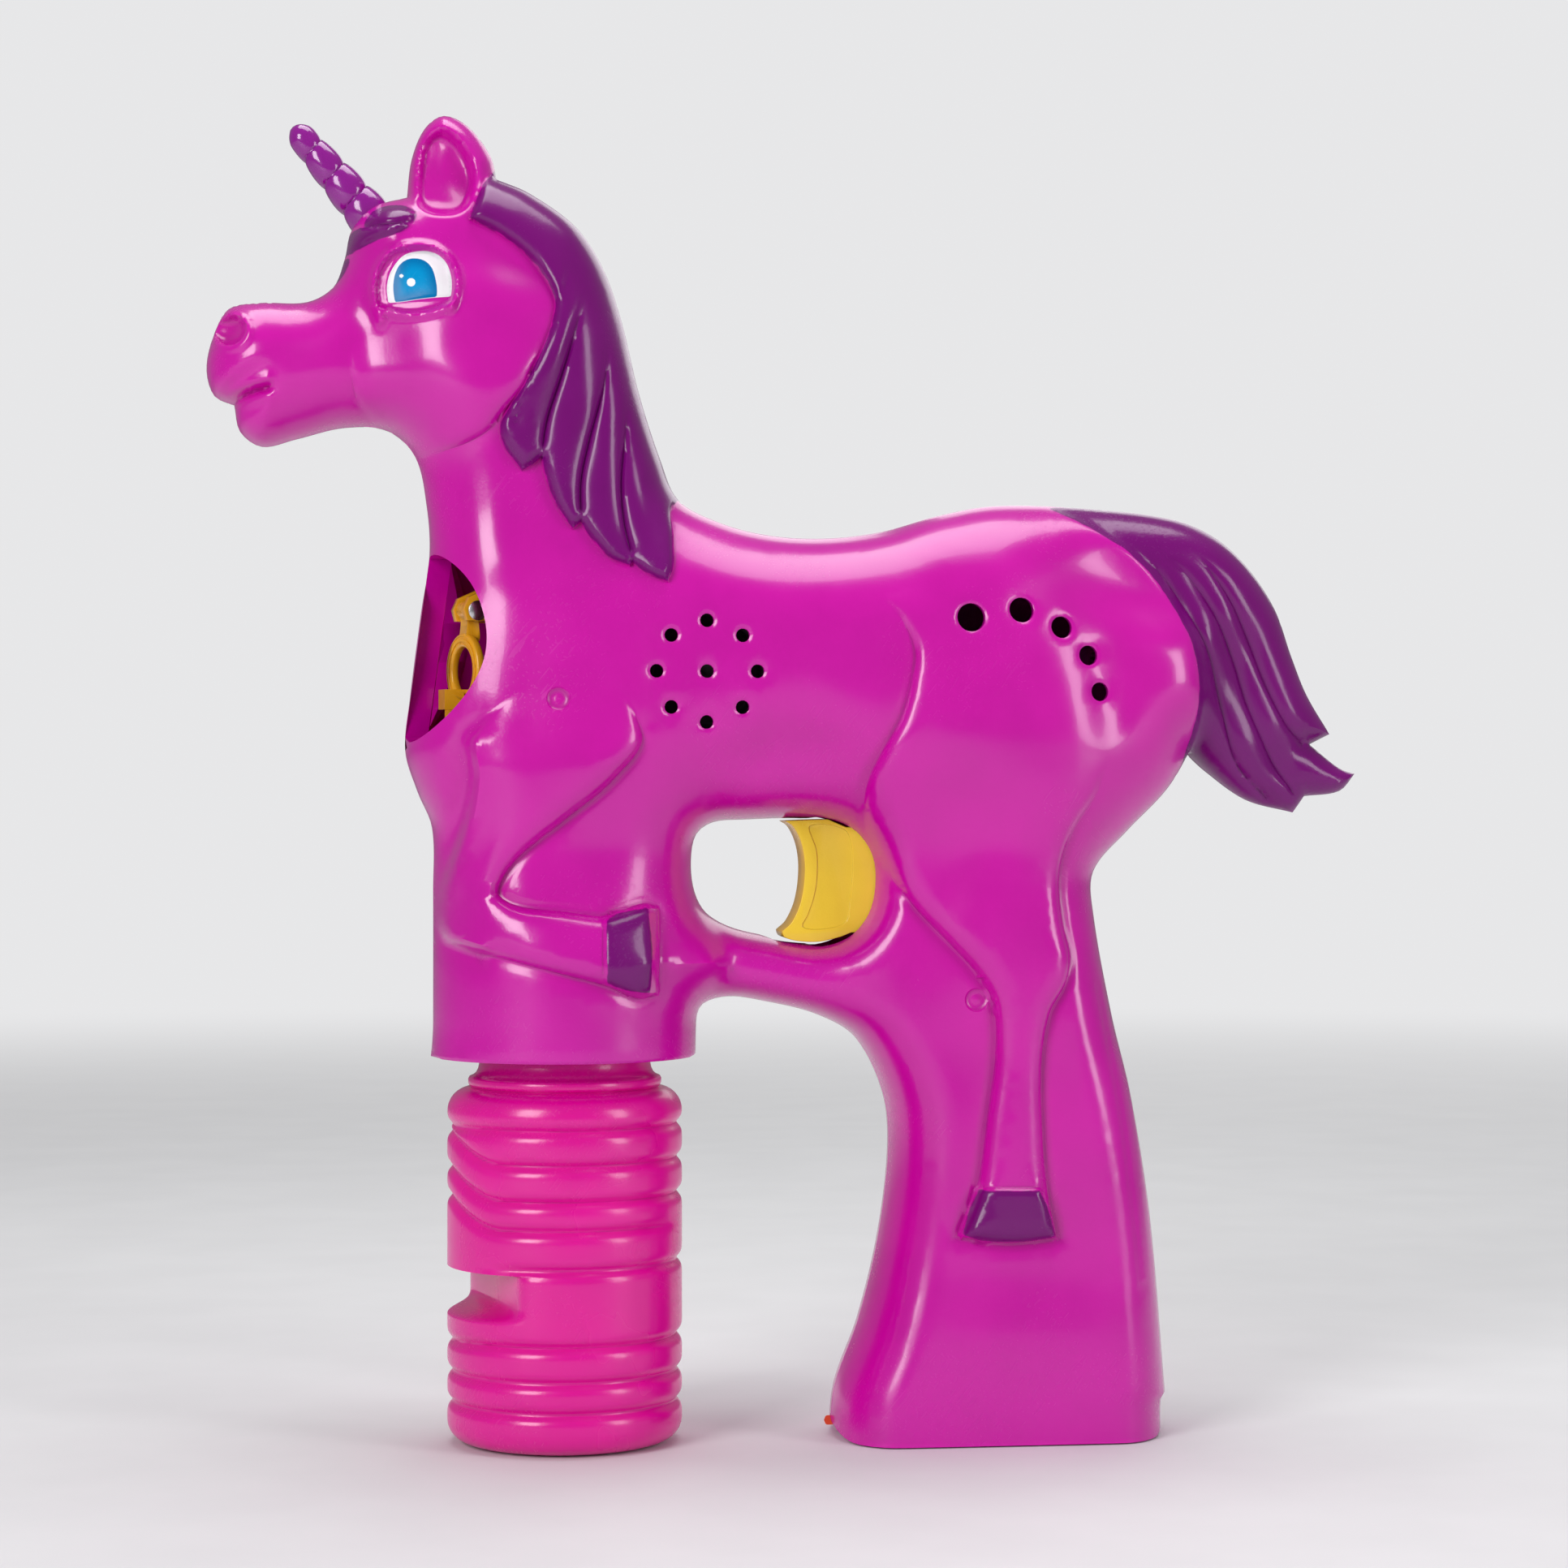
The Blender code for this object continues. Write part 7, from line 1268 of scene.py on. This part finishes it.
def screw_thread(radius, height, start_z, turns=1.5, pitch=0.0040):
    foot = -0.0003 if height > 0 else 0.0003
    section = ((foot, -0.0009), (height * 0.75, -0.0005), (height, -0.0002), (height, 0.0002),
               (height * 0.75, 0.0005), (foot, 0.0009))
    share = np.linspace(0.0, 1.0, 110)
    angles = 2 * math.pi * turns * share
    taper = np.minimum(1.0, np.minimum(share, 1.0 - share) / 0.08)
    rings = []
    for out, up in section:
        reach = radius + foot + (out - foot) * np.maximum(taper, 0.1)
        rings.append(columns(BOTTLE_X + reach * np.cos(angles), reach * np.sin(angles),
                             start_z + pitch * turns * share + up))
    return skin(rings, closed_rings=True, closed_run=False, caps=True)


ribbed_bottle()


def trigger_crescent():
    front = traced((
        (2, 1185, 1), (18, 1174), (34, 1140), (40, 1093), (33, 1033), (15, 991), (-4, 973, 1), (0, 962),
        (29, 954), (70, 953), (110, 962, 1), (130, 970, 1), (230, 970, 1), (230, 1173, 1), (120, 1173, 1),
        (85, 1188, 1), (45, 1187, 1)), step=0.0007)
    lip = traced((
        (50, 1176), (62, 1130), (64, 1095), (60, 1050), (46, 1005), (35, 982), (62, 976), (110, 984),
        (125, 1000), (125, 1160)))
    hollows = [plate(lip, -0.0060, -0.0049), plate(lip, 0.0049, 0.0060)]
    made = carved("trigger_crescent", [plate(front, -0.0052, 0.0052)], hollows, YELLOW, 0.00045, 30)
    return dress(made, "trigger", "yellow_plastic", "trigger")


trigger_crescent()


def bubble_ring():
    ring = []
    for angle in ring_angles(24):
        out, along_axis = (math.copysign(abs(part) ** 0.6, part)
                           for part in (math.cos(angle), math.sin(angle)))
        ring.append((0.0058 + 0.00135 * out, 0.0009 * along_axis))
    middle = (-0.0009, 0, RING_Z)
    facing = (math.cos(RING_TURN), math.sin(RING_TURN), 0)
    grooves = [turned([(reach - 0.0002, side * 0.0007), (reach + 0.0002, side * 0.0007),
                       (reach + 0.0003, side * 0.0014), (reach - 0.0003, side * 0.0014)],
                      middle, facing, 64) for reach in (0.0053, 0.0063) for side in (-1, 1)]
    parts = [turned(ring, middle, facing, 72)]
    arm = traced((
        (-12, 1529), (-12, 1570), (-21, 1586), (-16, 1602), (0, 1609), (16, 1602), (21, 1586), (12, 1570),
        (12, 1529)), step=0.0006)
    parts.append(plate(arm, -0.0021, 0.0021))
    parts.append(block((-0.0012, -0.0014, 0.1365), (0.0012, 0.0014, 0.1418)))
    parts.append(rod(0.0009, -0.0020, 0.0060, (0, 0, CRANK_PIN_Z), (0, 1, 0)))
    parts.append(block((-0.0058, -0.0026, 0.1398), (-0.0005, 0.0014, 0.1436)))
    cuts = [rod(0.0013, -0.01, 0.01, (0, 0, PIVOT_Z), (0, 1, 0))]
    made = carved("ring_on_arm", [in_wand_frame(part) for part in parts],
                  [in_wand_frame(cut) for cut in cuts + grooves], AMBER, 0.00025, 35)
    return dress(made, "wand", "yellow_plastic", "bubble_wand")


def ring_pin():
    profile = [(0, -0.0058), (0.0012, -0.0058), (0.0019, -0.0054), (0.0019, -0.0050), (0.0010, -0.0050),
               (0.0010, 0.0050), (0.0019, 0.0050), (0.0019, 0.0054), (0.0012, 0.0058), (0, 0.0058)]
    made = solid("ring_pivot", *in_wand_frame(turned(profile, (0, 0, PIVOT_Z), (0, 1, 0), 28)), STEEL)
    return dress(made, "casing", "steel", "wand_pin")


def nozzle_duct():
    angles = ring_angles(72)
    front, back_x, axis_y, axis_z = 0.0104, -0.0313, 0.0030, 0.1470
    rows = []
    for first, last, way in ((0.0098, 0.0155, 1), (0.0085, 0.0140, -1)):
        start = wand_place(front, first * np.cos(angles), RING_Z + first * np.sin(angles))
        end = columns(back_x, axis_y + last * np.cos(angles), axis_z + last * np.sin(angles))
        rows += [(1 - share) * start + share * end for share in np.linspace(0.0, 1.0, 14)][::way]
    duct = skin(rows, closed_rings=True, closed_run=True)
    side_view = ((front + 0.0045, 0.1566), (front + 0.0002, 0.1566), (0.0022, 0.1566), (-0.0018, 0.1568),
                 (-0.0024, 0.1590), (-0.0014, 0.1612), (0.0040, 0.1636), (front + 0.0045, 0.1636))
    ears = [in_wand_frame(plate(side_view, low, high))
            for low, high in ((-0.0043, -0.0025), (0.0025, 0.0043))]
    hole = rod(0.0013, -0.02, 0.02, (0, 0, PIVOT_Z), (0, 1, 0), 24)
    made = carved("nozzle_duct", [duct, *ears], [in_wand_frame(hole)], AMBER, 0.0003, 35)
    return dress(made, "casing", "yellow_plastic", "air_nozzle")


bubble_ring()
ring_pin()
nozzle_duct()


def collar_socket():
    profile = eased([(0.0200, 0.0750), (0.0200, 0.0926), (0.0229, 0.0926), (0.0229, 0.0946), (0.0, 0.0946),
                     (0.0, 0.0926), (0.0180, 0.0926), (0.0180, 0.0750)], 0.0004)
    parts = merged([turned(profile, (BOTTLE_X, 0, 0), segments=80), screw_thread(0.0180, -0.0012, 0.0765)])
    made = solid("collar_socket", *parts, WHITE)
    return dress(made, "casing", "white_plastic", "bottle_socket")


def turned_piece(name, profile, origin, segments, material, body, slot, node_name, axis=(0, 0, 1)):
    made = solid(name, *turned(profile, origin, axis, segments), material)
    return dress(made, body, slot, node_name)


collar_socket()
SEAL = eased([(0.0120, 0.0913), (0.0164, 0.0913), (0.0164, 0.0923), (0.0120, 0.0923)], 0.0003)
turned_piece("lip_seal", SEAL, (BOTTLE_X, 0, 0), 80, SILICONE, "seal", "silicone", "bottle_seal")
SUCTION_TUBE = [(0.0012, 0.0050), (0.0020, 0.0052), (0.0020, 0.0976), (0.0012, 0.0976)]
turned_piece("suction_tube", SUCTION_TUBE, (-0.0360, -0.0050, 0), 28, SILICONE, "casing", "silicone",
             "dip_tube")
FUNNEL = eased([(0.0013, 0.0906), (0.0022, 0.0906), (0.0022, 0.0986), (0.0105, 0.1140), (0.0105, 0.1180),
                (0.0094, 0.1180), (0.0094, 0.1148), (0.0013, 0.0996)], 0.0006)
turned_piece("return_funnel", FUNNEL, (-0.0503, 0, 0), 56, AMBER, "casing", "yellow_plastic", "drip_funnel")


def ribbed_door():
    plate_body = block((0.0148, -0.0112, 0.0006), (0.0697, 0.0112, 0.0024))
    ribs = [block((0.0600 + 0.0022 * step, -0.0070, 0.0002), (0.0610 + 0.0022 * step, 0.0070, 0.0010))
            for step in range(4)]
    cuts = [rod(radius, -0.01, top, (DOOR_SCREW_X, 0, 0), segments=32)
            for radius, top in ((0.0015, 0.01), (0.0029, 0.00159))]
    made = carved("ribbed_door", [plate_body, *ribs], cuts, DOOR_MAGENTA, 0.0003)
    return dress(made, "door", "casing", "battery_door")


def cross_screw(name, profile, origin, axis, body, node_name):
    parts = [turned(profile, origin, axis, 28)]
    frame_of = along(origin, axis)
    low = profile[0][1]
    cuts = [moved(block(*sizes), frame_of) for sizes in (
        ((-0.0016, -0.00032, low - 0.001), (0.0016, 0.00032, low + 0.0007)),
        ((-0.00032, -0.0016, low - 0.001), (0.00032, 0.0016, low + 0.0007)))]
    made = carved(name, parts, cuts, STEEL, 0.0, 35)
    return dress(made, body, "steel", node_name)


def screws():
    profile = [(0, 0), (0.0018, 0.0001), (0.0026, 0.0006), (0.0026, 0.0011), (0.0012, 0.0018),
               (0.0012, 0.0141), (0.0004, 0.0151), (0, 0.0151)]
    for index, (x, z) in enumerate(SCREW_PLACES):
        cross_screw(f"case_screw_fine_{index + 1}", profile, (x, 0.0081, z), (0, -1, 0), "casing",
                    f"case_screw_{index + 1}")
    low = 0.00129
    door = [(0, low - 0.0006), (0.0024, low - 0.0006), (0.0026, low - 0.0003), (0.0026, low), (0.0012, low),
            (0.0012, 0.0085), (0, 0.0090)]
    cross_screw("door_screw_fine", door, (DOOR_SCREW_X, 0, 0), (0, 0, 1), "door", "door_screw")


ribbed_door()
screws()


def pull_strip():
    stations = np.linspace(0.0, 1.0, 24)
    x = 0.0084 + 0.0061 * stations
    sway = 0.00012 * np.sin(stations * 5.0)
    half = 0.0009 * np.minimum(1.0, rounded(stations * 0.0061, 0.0008) + 0.02)
    rings = [columns(x, sway + side, 0.0024 + up * half)
             for side, up in ((-0.00015, -1), (0.00015, -1), (0.00015, 1), (-0.00015, 1))]
    made = solid("pull_strip", *skin(rings, True, False, True), TAB_RED)
    return dress(made, "tab", "tab", "pull_tab")


pull_strip()


# Wound and soft pieces inside

def coil(points, radius, name, body, node_name):
    made = solid(name, *tube(points, radius, 12), STEEL, 60)
    return dress(made, body, "steel", node_name)


def springs():
    share = np.linspace(0.0, 1.0, 240)
    start, length, turns = 0.0237, 0.0069, 4
    angle = 2 * math.pi * turns * share
    points = columns(start + length * share, 0.0030 * np.cos(angle), 0.1020 + 0.0030 * np.sin(angle))
    made = coil(points, 0.0004, "trigger_spring_fine", "casing", "trigger_spring")
    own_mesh(made)
    low, high = 0.0039, 0.0073
    angle = 2 * math.pi * 2 * share
    reach = 0.0050 - 0.0022 * share
    for index, x in enumerate(CELL_PLACES):
        points = columns(x + reach * np.cos(angle), reach * np.sin(angle), low + (high - low) * share)
        coil(points, 0.0004, f"battery_spring_fine_{index + 1}", "door", f"battery_spring_{index + 1}")


def supply_hose():
    axis_y, axis_z, reach = 0.0030, 0.1470, 0.0102
    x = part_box("solution_hose")[1].x + DRAWN_MIDDLE_X - 0.0015
    route = [(-0.0360, -0.0050, 0.0979), (-0.0360, -0.0050, 0.1040), (-0.0370, -0.0100, 0.1140),
             (-0.0385, -0.0155, 0.1280), (-0.0385, -0.0170, 0.1440), (-0.0360, -0.0140, 0.1590),
             (-0.0280, -0.0095, 0.1680), (-0.0160, -0.0080, 0.1690), (-0.0020, -0.0080, 0.1660),
             (0.0100, -0.0080, 0.1640), (0.0185, axis_y - reach, 0.1615), (x, axis_y - reach, 0.1560),
             (x, axis_y - reach, axis_z)]
    for step in range(1, 9):
        angle = math.pi * step / 9
        route.append((x, axis_y - reach * math.cos(angle), axis_z - reach * math.sin(angle)))
    route += [(x, axis_y + reach, axis_z), (x, axis_y + reach, 0.1550),
              (0.0185, axis_y + reach - 0.0020, 0.1600), (0.0100, 0.0085, 0.1640),
              (-0.0020, 0.0080, 0.1660), (-0.0160, 0.0075, 0.1690), (-0.0300, 0.0060, 0.1700),
              (-0.0420, 0.0035, 0.1690), (-0.0510, 0.0015, 0.1670), (-0.0545, 0.0005, 0.1655)]
    made = solid("supply_hose", *tube(smooth_run(route, 0.0008, False), 0.0015, 14), SILICONE, 60)
    return dress(made, "casing", "silicone", "solution_hose")


springs()
supply_hose()


# Batteries, speaker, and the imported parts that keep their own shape

BATTERY = eased([(0, 0), (0.0055, 0), (0.0060, 0.0003), (0.00725, 0.0003), (0.00725, 0.0493),
                 (0.0040, 0.0495), (0.00275, 0.0496), (0.00275, 0.0505), (0, 0.0505)], 0.0005)
for cell, cell_x in enumerate(CELL_PLACES):
    turned_piece(f"cell_fine_{cell + 1}", BATTERY, (cell_x, 0, 0.0080), 48, CELL, "casing", "battery",
                 f"battery_{cell + 1}")

SOUNDER_RIM = 0.0125
SOUNDER = [(0, 0.0012), (0.0020, 0.0008), (0.0035, 0.0022), (0.0088, 0.0006), (0.0096, 0.0001),
           (0.0104, 0.0006), (0.0112, 0.0), (SOUNDER_RIM, 0.0), (SOUNDER_RIM, 0.0018),
           (SOUNDER_RIM * 0.62, 0.0026), (SOUNDER_RIM * 0.62, 0.0045), (0, 0.0045)]
turned_piece("sounder_cone", SOUNDER, (SPEAKER_CENTRE[0], -0.0185, SPEAKER_CENTRE[1]), 64, BLACK, "casing",
             "black_plastic", "speaker", (0, 1, 0))

KEPT_NODES = {
    "fan_housing": WHITE, "fan": GREY, "motor": STEEL, "motor_shaft": STEEL, "motor_pinion": BRASS,
    "idler_gear": WHITE, "idler_pin": STEEL, "pump_gear": WHITE, "pump_rotor": GREY, "pump_housing": WHITE,
    "gear_frame": WHITE, "trigger_link": AMBER, "trigger_switch": BLACK, "contact_plate": STEEL,
    "door_contacts": STEEL, "sound_board": BOARD,
}
for kept_name, kept_finish in KEPT_NODES.items():
    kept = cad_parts[kept_name]
    kept.data.materials.clear()
    kept.data.materials.append(kept_finish)


# Stage, light and camera

PALE = (0.80, 0.80, 0.81, 1.0)


def pale_floor():
    made = bpy.data.materials.new("pale_floor")
    made.use_nodes = True
    tree = made.node_tree
    shader = tree.nodes["Principled BSDF"]
    shader.inputs["Roughness"].default_value = 0.75
    place = object_place(tree)
    speck = ramp(tree, noise(tree, place, 30.0, 3.0), 0.2, 0.8)
    tree.links.new(mixed(tree, speck, (0.735, 0.735, 0.745, 1.0), (0.765, 0.765, 0.775, 1.0)),
                   shader.inputs["Base Color"])
    far = node(tree, "ShaderNodeVectorMath", {0: place}, operation="LENGTH").outputs["Value"]
    glow = node(tree, "ShaderNodeEmission", {"Color": PALE, "Strength": 1.0})
    seen = tree.nodes.new("ShaderNodeLightPath").outputs["Is Camera Ray"]
    share = reckon(tree, "MULTIPLY", ramp(tree, far, 0.45, 1.4), seen)
    fade = node(tree, "ShaderNodeMixShader", {0: share, 1: shader.outputs[0], 2: glow.outputs[0]})
    tree.links.new(fade.outputs[0], tree.nodes["Material Output"].inputs["Surface"])
    points = circle(0.0, 0.0, 6.0, 64)
    mesh = bpy.data.meshes.new("floor")
    mesh.from_pydata([(point[0], point[1], -0.0003) for point in points], [], [tuple(range(64))])
    mesh.materials.append(made)
    shown("floor", mesh)


def studio_world():
    world = bpy.data.worlds.new("studio")
    bpy.context.scene.world = world
    world.use_nodes = True
    tree = world.node_tree
    room = tree.nodes["Background"]
    room.inputs["Color"].default_value = (0.55, 0.55, 0.56, 1.0)
    room.inputs["Strength"].default_value = 0.40
    wall = node(tree, "ShaderNodeBackground", {"Color": PALE, "Strength": 1.0})
    camera_ray = tree.nodes.new("ShaderNodeLightPath").outputs["Is Camera Ray"]
    pick = node(tree, "ShaderNodeMixShader", {0: camera_ray, 1: room.outputs[0], 2: wall.outputs[0]})
    tree.links.new(pick.outputs[0], tree.nodes["World Output"].inputs["Surface"])


def soft_box(name, place, target, size, power):
    light = bpy.data.lights.new(name, "AREA")
    light.shape = "RECTANGLE"
    light.size, light.size_y = size
    light.energy = power
    made = shown(name, light)
    made.location = place
    made.rotation_euler = (Vector(target) - Vector(place)).to_track_quat("-Z", "Y").to_euler()


pale_floor()
studio_world()
soft_box("key_box", (-0.75, -0.85, 0.55), (0, 0, 0.13), (0.45, 0.65), 8.4)
soft_box("fill_box", (0.85, -0.70, 0.40), (0, 0, 0.12), (0.30, 0.70), 4.0)
soft_box("top_box", (0.05, 0.10, 1.05), (0, 0, 0.12), (0.80, 0.60), 6.6)
soft_box("back_box", (0.40, 0.95, 0.60), (0, 0, 0.14), (0.60, 0.50), 1.2)

camera_data = bpy.data.cameras.new("camera")
camera_data.sensor_fit = "HORIZONTAL"
camera_data.angle = 2 * math.atan(966.0 / 4500.0)
camera_data.clip_start = 0.01
camera = shown("camera", camera_data)
VIEW_TURN = math.radians(-7.0)
VIEW_DISTANCE = 0.7065
VIEW_TARGET = Vector((0.0006 - DRAWN_MIDDLE_X, 0.0, 0.1256))
camera.location = VIEW_TARGET + VIEW_DISTANCE * Vector((math.sin(VIEW_TURN), -math.cos(VIEW_TURN), 0.0))
camera.rotation_euler = (VIEW_TARGET - camera.location).to_track_quat("-Z", "Y").to_euler()
bpy.context.scene.camera = camera
bpy.context.scene.view_settings.view_transform = "Standard"
